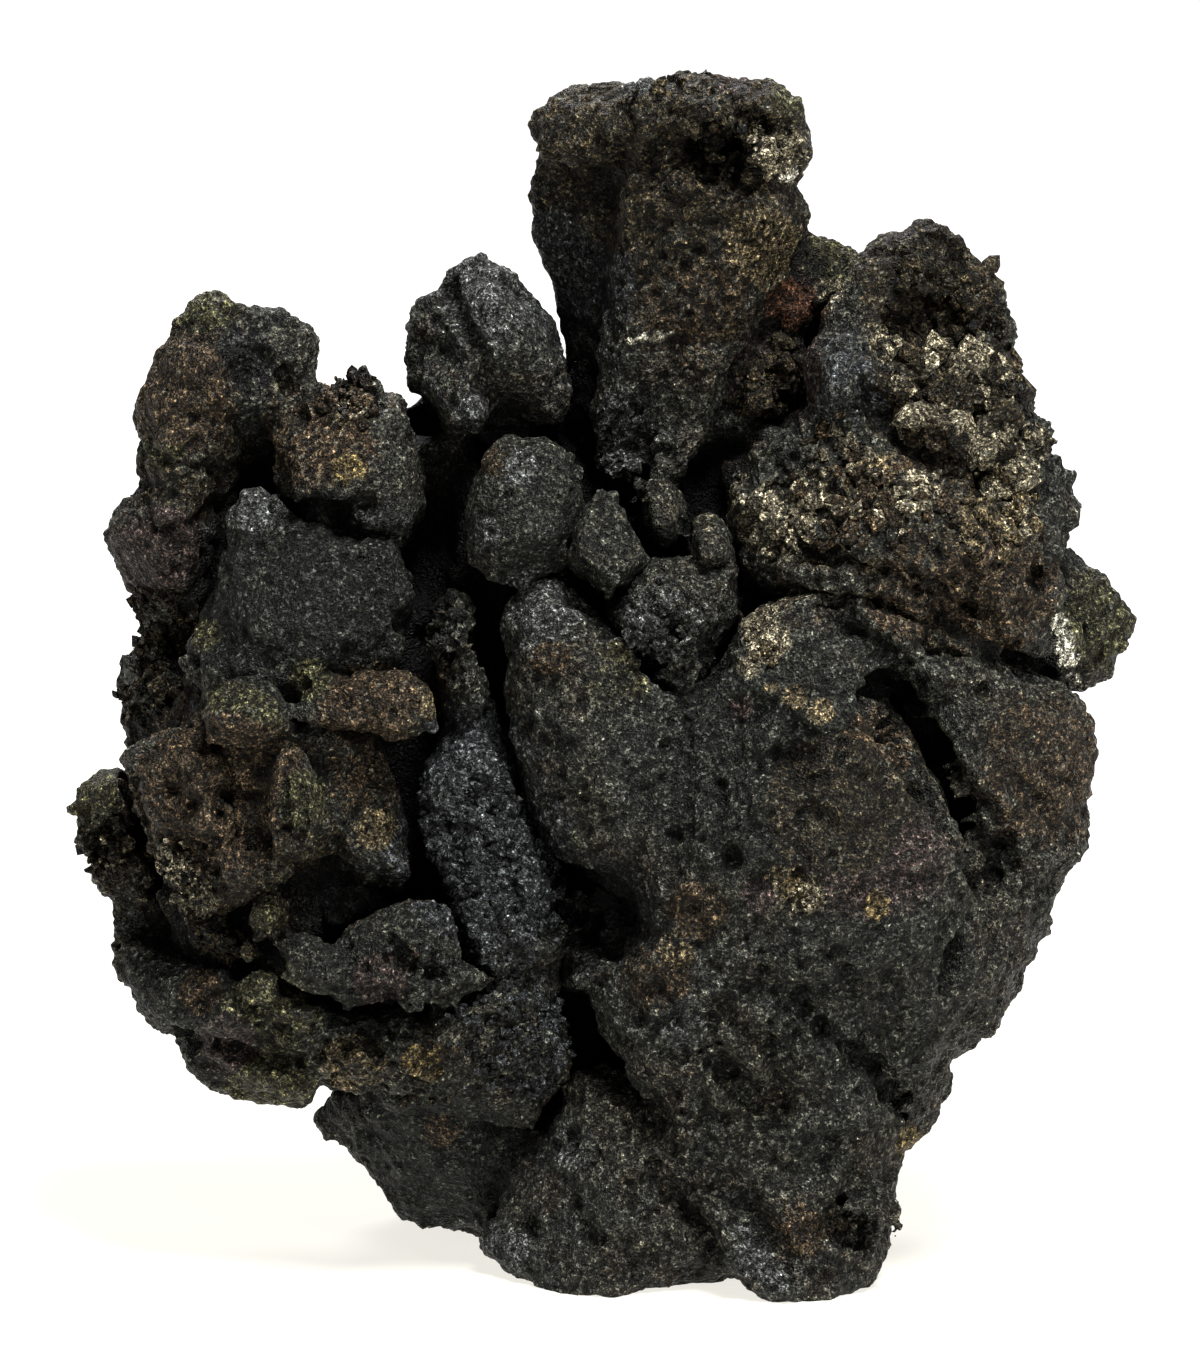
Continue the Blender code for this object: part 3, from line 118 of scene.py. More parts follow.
def spread(tree, value, low, high, to_low=0.0, to_high=1.0):
    """The value stretched so that low gives to_low and high gives to_high, and held there."""
    ends = {"From Min": low, "From Max": high, "To Min": to_low, "To Max": to_high}
    return add_node(tree, "MapRange", {"Value": value, **ends}).outputs["Result"]


def mix(tree, factor, first, second):
    colours = {"Factor": factor, "A": first, "B": second}
    return add_node(tree, "Mix", colours, data_type="RGBA").outputs["Result"]


# %% Lamps
CLUSTER_MIDDLE = (0, 0, 0.025)
WHITE_LIGHT = (1.0, 1.0, 1.0)
LAMPS = (  # name, place and width in metres, power in watts
    ("overhead", (0.07, -0.13, 0.34), 0.13, 3.0),
    ("front_left", (-0.24, -0.22, 0.20), 0.10, 0.12),
    ("front_right", (0.22, -0.26, 0.12), 0.10, 0.42),
    ("behind", (-0.05, 0.26, 0.30), 0.16, 1.2),
)
for name, position, size, power in LAMPS:
    bpy.ops.object.light_add(type="AREA")
    lamp = bpy.context.object
    lamp.name = name
    lamp.data.shape = "DISK"
    lamp.data.size = size
    lamp.data.energy = power
    aimed(lamp, position, CLUSTER_MIDDLE)
world = bpy.data.worlds.new("studio")
world.use_nodes = True
fill(world.node_tree, world.node_tree.nodes["Background"], {"Color": WHITE_LIGHT, "Strength": 0.06})
bpy.context.scene.world = world
print("lamps", len(LAMPS))

# %% Floor
# The floor's glow is painted light: it lifts the shadows cast on the floor and whitens it towards the back.
PAPER, PAPER_GLOW = (0.36, 0.35, 0.33), (0.80, 0.78, 0.72)
WHITE_BEHIND = 0.11

bpy.ops.mesh.primitive_plane_add(size=6.0)
floor = bpy.context.object
floor.name = "floor"
paint = bpy.data.materials.new("pale_floor")
paint.use_nodes = True
tree = paint.node_tree
where = add_node(tree, "TexCoord", {}).outputs["Object"]
behind = add_node(tree, "SeparateXYZ", {"Vector": where}).outputs["Y"]
glow = mix(tree, spread(tree, behind, 0.0, WHITE_BEHIND), PAPER_GLOW, WHITE_LIGHT)
fill(tree, tree.nodes["Principled BSDF"], {
    "Base Color": PAPER, "Roughness": 0.22, "IOR": 1.45, "Emission Color": glow, "Emission Strength": 1.0,
})
floor.data.materials.append(paint)
print("floor", floor.dimensions[0], "m wide")

# %% [markdown]
# ## From places to lumps
# A crystal that lost its sharp corners is close to the smallest closed body round a few points. So each lump
# is only a list of places: an outline, a narrower copy of it further back, and the corners of its front
# faces. The convex hull operator closes them. Sculpting by hand would give the same forms, but a list can be
# read and corrected. Everything is made in millimetres, where Blender's modifiers are at ease, and each piece
# goes to metres when it is done.

# %% Helpers that make lumps
BACK_WIDTH = 0.78
FULLNESS = 0.65
PRISM_FACE, PRISM_FRONT = 0.62, 0.8


def narrowed(outline, width):
    """The outline drawn in towards its own middle."""
    middle = [sum(point[k] for point in outline) / len(outline) for k in (0, 1)]
    return [[middle[k] + (point[k] - middle[k]) * width for k in (0, 1)] for point in outline]


def lump_places(outline_at, back_at, outline, front):
    """The outline stands FULLNESS of the way from outline_at to the rearmost corner of the front."""
    outline_at += FULLNESS * (min(forward for _, _, forward in front) - outline_at)
    return (
        [(across, up, outline_at) for across, up in outline]
        + [(across, up, back_at) for across, up in narrowed(outline, BACK_WIDTH)]
        + list(front)
    )


def polygon(across, up, radius, sides, turn):
    corners = [math.radians(turn) + math.tau * i / sides for i in range(sides)]
    return [(across + radius * math.cos(corner), up + radius * math.sin(corner)) for corner in corners]


def back_crystal_places(across, up, radius, outline_at, back_at, sides, turn):
    """A crystal with triangular and square faces: every other corner of its back face is cut away."""
    outline = polygon(across, up, radius, sides, turn)
    face = polygon(across, up, radius * PRISM_FACE, max(sides // 2, 3), turn + 180 / sides)
    return (
        [(*corner, outline_at) for corner in outline]
        + [(*corner, back_at) for corner in face]
        + [(*corner, 0.0) for corner in narrowed(outline, PRISM_FRONT)]
    )


def select_only(*objects):
    bpy.ops.object.select_all(action="DESELECT")
    for obj in objects:
        obj.select_set(True)
    bpy.context.view_layer.objects.active = objects[0]


def edit_all(obj, *operators):
    """Runs edit mode operators on the whole mesh."""
    select_only(obj)
    bpy.ops.object.mode_set(mode="EDIT")
    bpy.ops.mesh.select_all(action="SELECT")
    for operator in operators:
        operator()
    bpy.ops.object.mode_set(mode="OBJECT")


def new_object(name, corners, faces=()):
    mesh = bpy.data.meshes.new(name)
    mesh.from_pydata(corners, [], faces)
    obj = bpy.data.objects.new(name, mesh)
    bpy.context.scene.collection.objects.link(obj)
    return obj


def hull(places):
    """One closed faceted body round the places."""
    obj = new_object("lump", [place(*point) for point in places])
    edit_all(obj, bpy.ops.mesh.convex_hull)
    return obj


def joined(name, objects):
    select_only(*objects)
    if len(objects) > 1:
        bpy.ops.object.join()
    objects[0].name = name
    objects[0].data.name = name
    return objects[0]


# %% [markdown]
# ## From lumps to a skin
# Thousands of points are moved at once here, so they are read into an array, moved, and written back. A
# vertex group says where a modifier works, from 0 to 1, so that one texture can be strong on a crumbly crust
# and faint on a smooth crystal. What the material has to know of each point is kept as an attribute.

# %% Helpers that work on a skin
WEIGHT_LEVELS = 20


def apply_modifier(obj, kind, **settings):
    select_only(obj)
    modifier = obj.modifiers.new(kind.lower(), kind)
    for key, value in settings.items():
        setattr(modifier, key, value)
    bpy.ops.object.modifier_apply(modifier=modifier.name)


def fuse(obj, cell):
    """One closed skin round everything in the object, with faces about as wide as the cell."""
    apply_modifier(obj, "REMESH", mode="VOXEL", voxel_size=cell)


def read(collection, field):
    values = np.empty(len(collection) * 3, np.float32)
    collection.foreach_get(field, values)
    return values.reshape(-1, 3)


def points_of(obj):
    return read(obj.data.vertices, "co")


def normals_of(obj):
    return read(obj.data.vertex_normals, "vector")


def move_points(obj, points):
    obj.data.vertices.foreach_set("co", points.astype(np.float32).ravel())
    obj.data.update()


def store(obj, name, values):
    """Keeps a number, or a colour with its alpha, for each point, where the material can read it."""
    kind, field = ("FLOAT", "value") if values.ndim == 1 else ("FLOAT_COLOR", "color")
    attribute = obj.data.attributes.new(name, kind, "POINT")
    attribute.data.foreach_set(field, values.astype(np.float32).ravel())


def seen_at(points):
    """Where the points are on the picture plane, across and up, and how far forward: place() undone."""
    across = points[:, 0] + CENTRE_ACROSS
    forward = CENTRE_FORWARD - points[:, 1]
    up = (points[:, 2] + FLOOR_LEVEL) * math.cos(SIGHT) - forward * math.sin(SIGHT)
    return across, up, forward


def rounded(share):
    """1 in the middle, where the share is 0, falling like a dome to 0 at the edge, where it is 1."""
    return np.clip(1.0 - share * share, 0.0, 1.0)


def near(points, spots):
    """How near each point is to the middle of a spot (across, up, radius): 1 in it, 0 outside all spots."""
    across, up, _ = seen_at(points)
    mask = np.zeros(len(points), np.float32)
    for at_across, at_up, radius in spots:
        mask = np.maximum(mask, rounded(np.hypot(across - at_across, up - at_up) / radius))
    return mask


def weight(obj, name, values):
    """Stores the values as a vertex group, which the Displace modifier reads."""
    group = obj.vertex_groups.new(name=name)
    levels = np.round(np.clip(values, 0.0, 1.0) * WEIGHT_LEVELS).astype(int)
    for level in range(1, WEIGHT_LEVELS + 1):
        chosen = np.nonzero(levels == level)[0]
        if len(chosen):
            group.add(chosen.tolist(), level / WEIGHT_LEVELS, "REPLACE")
    return group.name


# %% [markdown]
# ## Textures for the relief
# Real relief comes in layers. The skin swells over a few millimetres, is knobbly at one, granular at a third
# of that, and creased and pitted here and there. Each layer is one procedural texture that a Displace
# modifier pushes the skin with, so that the relief is real geometry and also shows on the outline. A colour
# ramp shapes the cells: rounded granules have a high middle, and creases are low only along the cell walls.

# %% Textures
def cloud(name, size, depth):
    texture = bpy.data.textures.new(name, "CLOUDS")
    texture.noise_scale = size
    texture.noise_depth = depth
    texture.noise_basis = "ORIGINAL_PERLIN"
    return texture


def cells(name, size, stops):
    """Distance to the nearest cell middle, put through a ramp of (position, value) stops."""
    texture = bpy.data.textures.new(name, "VORONOI")
    texture.noise_scale = size
    texture.distance_metric = "DISTANCE"
    texture.use_color_ramp = True
    ramp = texture.color_ramp
    while len(ramp.elements) < len(stops):
        ramp.elements.new(0.5)
    for element, (position, value) in zip(ramp.elements, stops):
        element.position = position
        element.color = (value, value, value, 1.0)
    return texture


SWELL = cloud("swell", 4.0, 1)
KNOBBLE = cloud("knobble", 1.7, 2)
ROUGH = cloud("rough", 0.9, 4)
CRAGS = cloud("crags", 1.3, 3)
CRAGS.noise_type = "HARD_NOISE"
GRAIN = cloud("grain", 0.30, 3)
GRANULES = cells("granules", 0.5, ((0.0, 1.0), (0.35, 0.55), (0.8, 0.0)))
CHUNKS = cells("chunks", 1.3, ((0.0, 1.0), (0.35, 0.6), (0.8, 0.0)))
CREASES = cells("creases", 2.4, ((0.0, 0.0), (0.10, 0.7), (0.3, 1.0)))
CREASES.weight_1, CREASES.weight_2 = -1.0, 1.0


def push(obj, texture, height, strength):
    """Moves the skin along its normals by up to half the height either way, where the strength is 1."""
    apply_modifier(
        obj, "DISPLACE", texture=texture, texture_coords="LOCAL", strength=height, mid_level=0.5,
        vertex_group=weight(obj, texture.name, strength),
    )


print("textures", len(bpy.data.textures))

# %% [markdown]
# ## Where the skin differs
# The shoulder, the rib and the left edge are crumbly, the crystals in the middle are nearly smooth, and the
# broad crystal is pitted. Each of these is a few round spots, given across and up in millimetres with a
# radius. Holes that go deep are given one by one, with how far forward they lie and how deep they are, and
# cracks and ridges are lines through a few corners. Random dents do the rest, more where a spot asks for
# them, as pits are on a real weathered skin.

# %% Spots
# Each spot: across, up and radius.
RAGGED = (
    (14.5, 38, 4.6), (8.6, 33.6, 3.4), (17.4, 35, 3), (-18.8, 26.2, 2.6), (-20.8, 18.8, 2),
    (-17.2, 17.6, 1.8), (2.6, 27.2, 1.8), (1, 35, 2.4), (5.6, 47.4, 2.4), (-10.4, 37.6, 1.6), (7, 37, 1.8),
    (-1, 16, 1.6), (10.6, 3.2, 1.2), (-6, 27.4, 2),
)
PITTED = (
    (0, 22, 5), (4, 21, 5), (7, 16, 5), (9, 11, 5), (2, 6, 4), (12, 30, 4), (3, 41, 4), (4, 49, 4),
    (-5, 18, 4), (-9, 11, 4),
)
SMOOTH = (
    (-1, 43, 2.8), (-3.1, 32.8, 3.6), (0.8, 31.4, 2.4), (-4, 39.6, 3), (-18.2, 31, 2.4), (9.8, 38.2, 2.2),
    (-7, 5.6, 3), (-14.4, 32.4, 2), (-12, 28.8, 3), (-9, 33.6, 2.4), (-17.4, 37.4, 2.6), (12, 21, 4),
    (17, 22, 4), (-14.4, 24.6, 2), (-12.4, 20.4, 1.8), (-8, 24.6, 1.8), (2.6, 32.6, 2), (4.6, 31.2, 1.6),
)
CREASED = (
    (-16, 19, 4), (-14, 12, 4), (15, 30, 5), (-17, 34, 4), (9, 22, 4), (5, 10, 5), (-9, 10, 4), (4, 48, 5),
    (17, 20, 4),
)
print("spots", len(RAGGED + PITTED + SMOOTH + CREASED))

# %% Hollows and dents
# Each hollow: across, up, forward, radius and depth.
HOLLOWS = (
    (4.9, 47.1, 4.6, 1.3, 2.2), (5.9, 46.5, 3.8, 1, 1.6), (-14.5, 38.5, 2.4, 1.3, 1.2),
    (-17.8, 21.2, 5.6, 0.6, 0.6), (-15.6, 20.3, 7.2, 0.4, 0.5), (-10.9, 17.4, 5.2, 1.1, 1.2),
    (15.2, 41, 1.4, 0.8, 1.3), (12.6, 36, 3.6, 0.7, 1.4), (7.6, 37.6, -1.2, 0.8, 1.2),
    (6.4, 38.6, -0.8, 0.6, 1), (-6.2, 19.5, 5.4, 0.5, 1), (-7.2, 40.7, 0.8, 0.6, 0.9),
    (8.1, 22.4, 9.2, 1.1, 1), (7, 22.4, 9.2, 0.7, 0.6), (5.3, 18.4, 9.8, 0.7, 0.8),
    (5.1, 12.1, 9.2, 0.8, 0.8), (10.8, 3.4, 7, 1.3, 1.8), (7, 7.6, 7.6, 0.8, 0.7),
    (11.6, 36.6, 3.4, 0.9, 1.4), (13.4, 41.7, 1.4, 0.8, 1.2), (18.2, 29.8, 3.6, 0.8, 1),
    (3.4, 46.6, -6.4, 1.2, 1),
)


def press(points, normals, dents):
    """Presses round dents (place, radius, depth) into the points. A negative depth raises a bump."""
    start = points.copy()
    order = np.argsort(start[:, 0])
    sorted_across = start[order, 0]
    for centre, radius, depth in dents:
        first, last = np.searchsorted(sorted_across, (centre[0] - radius, centre[0] + radius))
        close = order[first:last]
        share = np.linalg.norm(start[close] - centre, axis=1) / radius
        points[close] -= normals[close] * (depth * rounded(share))[:, None]


def press_hollows(obj):
    points, normals = points_of(obj), normals_of(obj)
    press(points, normals, [(np.array(place(*hollow[:3])), *hollow[3:]) for hollow in HOLLOWS])
    move_points(obj, points)


def scatter_dents(obj, rng, chance, count, radii, depth):
    """Presses dents at random, most where the chance is high. Small ones are the most common."""
    points, normals = points_of(obj), normals_of(obj)
    chosen = rng.choice(len(points), count, p=chance / chance.sum())
    sizes = radii[0] + (radii[1] - radii[0]) * rng.random(count) ** 3
    depths = sizes * depth * rng.uniform(0.4, 1.0, count)
    press(points, normals, list(zip(points[chosen], sizes, depths)))
    move_points(obj, points)


print("hollows", len(HOLLOWS))

# %% Cracks and ridges
# Each line: half its width, its depth and its corners. A negative depth raises a ridge.
LINES = (
    (0.5, 0.9, ((9.2, 28.8), (10.2, 27.9), (11.4, 27), (12.6, 26.4))),
    (1.25, 1.8, ((11.7, 24.9), (12.9, 23.1), (14, 21.4), (15.7, 19.2), (16.2, 18))),
    (0.4, 0.9, ((14.8, 14.9), (14.4, 13.7), (14.3, 13))),
    (0.5, 1, ((8.1, 12.8), (9.3, 11.1), (11.2, 9.9), (11.9, 8.7), (12.6, 8))),
    (0.35, 0.6, ((9.5, 14.5), (10.5, 13))),
    (0.8, 0.5, ((4.6, 27.2), (3.3, 24.5), (3.2, 21.4), (2.8, 17.6))),
    (0.7, 0.6, ((4.6, 10.2), (6, 8.8), (7.1, 8))),
    (0.45, 0.6, ((6.9, 10.6), (7.4, 9.2), (7.6, 8))),
    (0.55, -0.5, ((6.3, 25.6), (7.8, 24.7), (9.5, 23.8))),
    (0.45, 0.8, ((12.6, 29.6), (13.6, 28.6), (15.8, 27.1), (16.6, 26.5), (18.7, 25.8))),
    (0.5, 0.35, ((-1.2, 4.2), (-0.9, 3.4), (-0.4, 2.6))),
    (0.6, -0.8, ((4.6, 3.9), (5.7, 2.1), (6.8, 1), (7.6, 0.5))),
    (0.8, 0.4, ((6, 4.2), (6.5, 2.8), (7.6, 1.8))),
    (0.6, 0.6, ((2.2, 5), (3.8, 3.6), (4.8, 2.2))),
    (0.4, 0.7, ((-13, 38.4), (-12.7, 37.4), (-12.4, 36.4))),
    (0.5, 0.9, ((-13.1, 32.9), (-12, 32.6), (-10.7, 32.5), (-9.4, 32.9))),
    (0.5, 0.9, ((10.9, 37.6), (11.6, 36.6), (12.6, 35.5), (13.6, 34.9))),
    (0.45, 0.8, ((12.4, 41.9), (13.4, 41.3), (14.6, 41.2), (16.4, 40.2))),
    (0.4, 0.7, ((13.4, 39.6), (14.6, 38.4), (16.4, 37.6))),
    (0.35, 0.7, ((-15.7, 21), (-15.6, 20.2), (-15.4, 19.6))),
    (0.4, 0.7, ((-19.6, 21.7), (-18.8, 18.9), (-17.8, 15.9))),
    (0.45, 0.8, ((-17.8, 10.9), (-16, 10.5), (-14.4, 10), (-12.4, 9.9))),
    (0.45, 0.6, ((-6.4, 42.6), (-6, 41), (-5, 39.2), (-4.9, 37.8))),
    (0.5, 0.7, ((-8.6, 14.9), (-8, 14), (-6.8, 13.6))),
)
FRONT_DEPTH = -4
FACING_FRONT = -0.1
WOBBLE = 0.12
FAR_AWAY = 9.0


def press_lines(obj):
    """Cuts the lines into the skin that looks forward. Two waves over the skin keep their sides uneven."""
    points, normals = points_of(obj), normals_of(obj)
    across, up, forward = seen_at(points)
    seen = np.stack([across, up], axis=1)
    front = (normals[:, 1] < FACING_FRONT) & (forward > FRONT_DEPTH)
    for width, depth, corners in LINES:
        corners = np.array(corners)
        inside = ((seen > corners.min(axis=0) - width) & (seen < corners.max(axis=0) + width)).all(axis=1)
        close = np.nonzero(inside & front)[0]
        nearest = np.full(len(close), FAR_AWAY)
        for start, end in zip(corners, corners[1:]):
            way = end - start
            along = np.clip((seen[close] - start) @ way / (way @ way), 0.0, 1.0)
            beside = seen[close] - start - along[:, None] * way
            nearest = np.minimum(nearest, np.linalg.norm(beside, axis=1))
        nearest += WOBBLE * width * np.sin(5.0 * across[close] + 2.0 * up[close]) * np.sin(6.3 * up[close])
        points[close] -= normals[close] * (depth * rounded(nearest / width))[:, None]
    move_points(obj, points)


print("cracks and ridges", len(LINES))

# %% [markdown]
# ## Growing a group of crystals
# One function takes a group from faceted lumps to weathered skin. The lumps are fused coarsely and softened,
# so that their edges are blunt. The coarse relief goes on, and a second, finer remesh evens the stretched
# faces out before the fine relief. Where lumps should read as one body, the skin is first blown up, fused
# and let back down, which closes the narrow clefts between them. At the end each point is told how far it
# stands out of its surroundings, because worn high places are paler than the grain between them, partly as
# wear and partly as painted highlight, and the low places get painted shade.

# %% Grow
FORM_CELL = 0.24
RELIEF_ROUNDS = 10
RELIEF_SPAN = 0.3
# Each layer: texture, height, and its strength on plain skin and on ragged skin.
COARSE_LAYERS = ((KNOBBLE, 1.0, 0.6, 0.4), (CRAGS, 1.2, 0.3, 0.7), (CHUNKS, 1.2, 0.15, 0.7))
FINE_LAYERS = ((ROUGH, 0.55, 0.5, 0.5), (GRANULES, 0.46, 0.35, 0.65))
GRAIN_LAYER = ((GRAIN, 0.34, 0.8, 0.2),)
SWELL_HEIGHT, CREASE_HEIGHT = 0.9, 0.7
# Each kind of dent: how many, smallest and largest radius, and depth as a share of the radius.
BUMPS, DENTS, PITS = (160, (0.3, 1.0), -0.5), (160, (0.3, 1.1), 0.6), (1500, (0.10, 0.40), 0.8)


def relief(obj):
    """How far each point stands above (1) or below (0) the skin round it, stored for the material to read."""
    mesh = obj.data
    ends = np.empty(len(mesh.edges) * 2, np.int32)
    mesh.edges.foreach_get("vertices", ends)
    first, second = ends.reshape(-1, 2).T
    size = len(mesh.vertices)
    count = np.bincount(ends, minlength=size).astype(np.float32)
    points, normals = points_of(obj), normals_of(obj)
    level = points.copy()
    for _ in range(RELIEF_ROUNDS):
        total = np.stack([
            np.bincount(first, level[second, k], size) + np.bincount(second, level[first, k], size)
            for k in range(3)
        ], axis=1)
        level = (0.5 * level + 0.5 * total / count[:, None]).astype(np.float32)
    height = ((points - level) * normals).sum(axis=1)
    store(obj, "relief", 0.5 + height / RELIEF_SPAN)


def close_gaps(obj, reach, form):
    """Fills clefts narrower than twice the reach: the skin goes out, is fused again, and comes back."""
    for step in (reach, -reach):
        apply_modifier(obj, "DISPLACE", strength=step, mid_level=0.0)
        fuse(obj, form)


def push_layers(obj, layers, plain, ragged):
    for texture, height, on_plain, on_ragged in layers:
        push(obj, texture, height, on_plain * plain + on_ragged * ragged)


def grow(name, lumps, cell, blunt, reach, form=FORM_CELL):
    rng = np.random.default_rng(len(name) * 101 + len(lumps))
    body = joined(name, [hull(lump_places(*lump)) if len(lump) == 4 else hull(lump) for lump in lumps])
    fuse(body, form)
    if reach:
        close_gaps(body, reach, form)
    apply_modifier(body, "SMOOTH", factor=0.5, iterations=blunt)
    points = points_of(body)
    ragged, smooth = near(points, RAGGED), np.clip(1.6 * near(points, SMOOTH), 0.0, 1.0)
    plain = 1.0 - 0.9 * smooth
    push(body, SWELL, SWELL_HEIGHT, 1.0 - 0.6 * smooth)
    push(body, CREASES, CREASE_HEIGHT, 0.25 + 0.75 * near(points, CREASED))
    push_layers(body, COARSE_LAYERS, plain, ragged)
    for dents in (BUMPS, DENTS):
        scatter_dents(body, rng, 0.2 * plain + 5 * ragged, *dents)
    press_hollows(body)
    press_lines(body)
    fuse(body, cell)
    points = points_of(body)
    ragged, smooth, pitted = near(points, RAGGED), near(points, SMOOTH), near(points, PITTED)
    plain = 1.0 - 0.6 * smooth
    push_layers(body, FINE_LAYERS, plain, ragged)
    scatter_dents(body, rng, 0.3 + 3 * pitted + 2 * ragged, *PITS)
    push_layers(body, GRAIN_LAYER, plain, ragged)
    # The material uses this relief for paler worn heights with painted highlight and for painted shade in the
    # hollows.
    relief(body)
    body.vertex_groups.clear()
    print(name, len(body.data.polygons) * 2, "triangles")
    return body


# %% [markdown]
# ## The top column
# The tallest crystal is a blunt mallet: a wedge-shaped shaft that narrows downwards, a darker face set back
# on its left, and a broad cap with a hole eaten into it. One block with dents would look moulded, so the cap
# is a left block, a brim and a right block with a real cavity between them, and the small crystals behind its
# right side are lumps of their own that the remesh joins to it. A lump is one row: how far forward its
# outline lies, how far back it goes, the outline across and up, and its front corners.

# %% The top column
TOP_COLUMN = (
    (-1, -6, (
        (-2.7, 47.4), (-3.2, 48.4), (-2.9, 49.1), (-1.7, 50), (-0.8, 50.4), (2, 50.4), (2.5, 47.2),
        (-1, 46.8)), (
        (-1.7, 47.9, 2), (-1.3, 49.4, 2), (1.5, 49.7, 3.2), (1.2, 47.6, 3.8))),
    (0.5, -6, (
        (1, 50.4), (3.9, 50.7), (5.5, 50.6), (7.6, 50.2), (8.5, 49.6), (8.75, 48.6), (8, 47.9), (6, 48.5),
        (3.4, 48.2), (1, 47.4)), (
        (2, 49.6, 4.4), (4.4, 49.8, 4.6), (7.2, 49.4, 4), (7.9, 48.6, 4), (1.9, 48.2, 4.9),
        (4.4, 48.8, 5.4), (6.2, 48.9, 4.9))),
    (0.5, -6, (
        (6.2, 48.6), (8.75, 48.6), (8.7, 47.2), (8.3, 46.3), (6.8, 45.8), (5.9, 46.6)), (
        (6.9, 48, 4.2), (7.9, 47.6, 3.8), (7.5, 46.9, 3.8), (6.7, 46.9, 4.4))),
    (-1, -6.5, (
        (1, 47.8), (0.9, 44), (0.7, 40), (-0.2, 37.5), (-0.6, 35.4), (1, 34.2), (3.6, 34.4), (4.6, 36.2),
        (5.6, 38.4), (7, 41.4), (8.4, 44), (8.95, 45), (8.9, 45.6), (8.2, 46.3), (7.5, 47.8)), (
        (1.4, 46.8, 3.4), (1.4, 43.5, 2.9), (1.3, 40.6, 2.9), (0.6, 38, 2.4), (0.6, 36.2, 1.6),
        (3.2, 36.2, 1.4), (4.8, 39.2, 2.4), (6.2, 42.2, 3.6), (7.2, 44.6, 4.2), (7, 46, 4.3),
        (4, 45.8, 4.6))),
    (-3, -6.5, (
        (-2.8, 47.8), (-3.05, 45.6), (-2.9, 44.2), (-2.2, 42.8), (-1.5, 41), (1.4, 40), (1.4, 47.8)), (
        (1.2, 46.6, 0.6), (1, 42, 0.3), (-1.2, 46.4, -1.2), (-1, 42.6, -1.4))),
    (-3, -6.5, (
        (-1.9, 42.2), (-1.4, 40.4), (-1.2, 37), (-0.8, 35), (1.2, 35), (1.4, 41), (1, 43)), (
        (1, 42, 0.3), (0.6, 38, 0.2), (-0.9, 41.6, -1.4), (-0.7, 38.4, -1.2))),
    (0, -3, (
        (-0.3, 34.9), (0.3, 35.4), (1.6, 35.2), (2, 34.4), (1, 33.8), (0, 34.1)), (
        (0.5, 34.8, 2.6), (1.2, 34.6, 2.6))),
    (-1, -4, (
        (1.8, 36.5), (3.2, 36.8), (4.3, 36), (3.9, 34.8), (3.2, 34), (2, 34.2)), (
        (2.6, 35.8, 2.4), (3.4, 35.2, 2.2))),
    (-3, -6, (
        (5, 39.6), (6.5, 40.6), (8.6, 40), (8.8, 38.4), (8, 36.6), (6.6, 36.2), (5, 36.6)), (
        (6, 39, 0.2), (7.8, 39.4, 0), (7.8, 37.4, 0.4), (5.8, 37.4, 0.4))),
    (-2, -5, (
        (7.1, 41.4), (7.5, 42.3), (8.3, 42.5), (8.9, 41.8), (8.8, 40.6), (7.9, 40), (7.1, 40.4)), (
        (7.7, 41.8, 0.2), (8.3, 41.7, 0.2), (8.1, 40.9, 0.1))),
    (-4, -7, (
        (8.2, 43.6), (9, 44.05), (9.7, 44.25), (10.6, 43.8), (10.9, 43.2), (10.6, 42), (9.4, 41.4),
        (8, 42)), (
        (9.2, 43.3, -2.4), (9.9, 42.7, -2.4))),
    (-2.5, -5, (
        (9, 41.6), (9.6, 42.3), (10.3, 42.6), (10.4, 41.9), (9.7, 41.2), (9.1, 41.1)), (
        (9.6, 41.9, -1), (9.9, 42, -1))),
)
COLUMN_FILL = (
    (-3, -7, (
        (7.4, 44.2), (8.8, 44), (9.8, 42.8), (9.4, 40.4), (8, 40), (7.2, 41.6)), (
        (8.2, 43.2, -2), (8.9, 42.2, -2), (8, 41, -1.6))),
)
top_column = grow("top_column", TOP_COLUMN + COLUMN_FILL, cell=0.14, blunt=2, reach=0.25)

# %% [markdown]
# ## The crystals in the middle
# A pointed grey crystal, a six-sided one under it and a row of small ones fill the notch between the column
# and the broad crystal. They are the best formed of the cluster, so they get many corners, little softening
# and nearly no closing of gaps: black clefts stay between them, as between grown crystals.

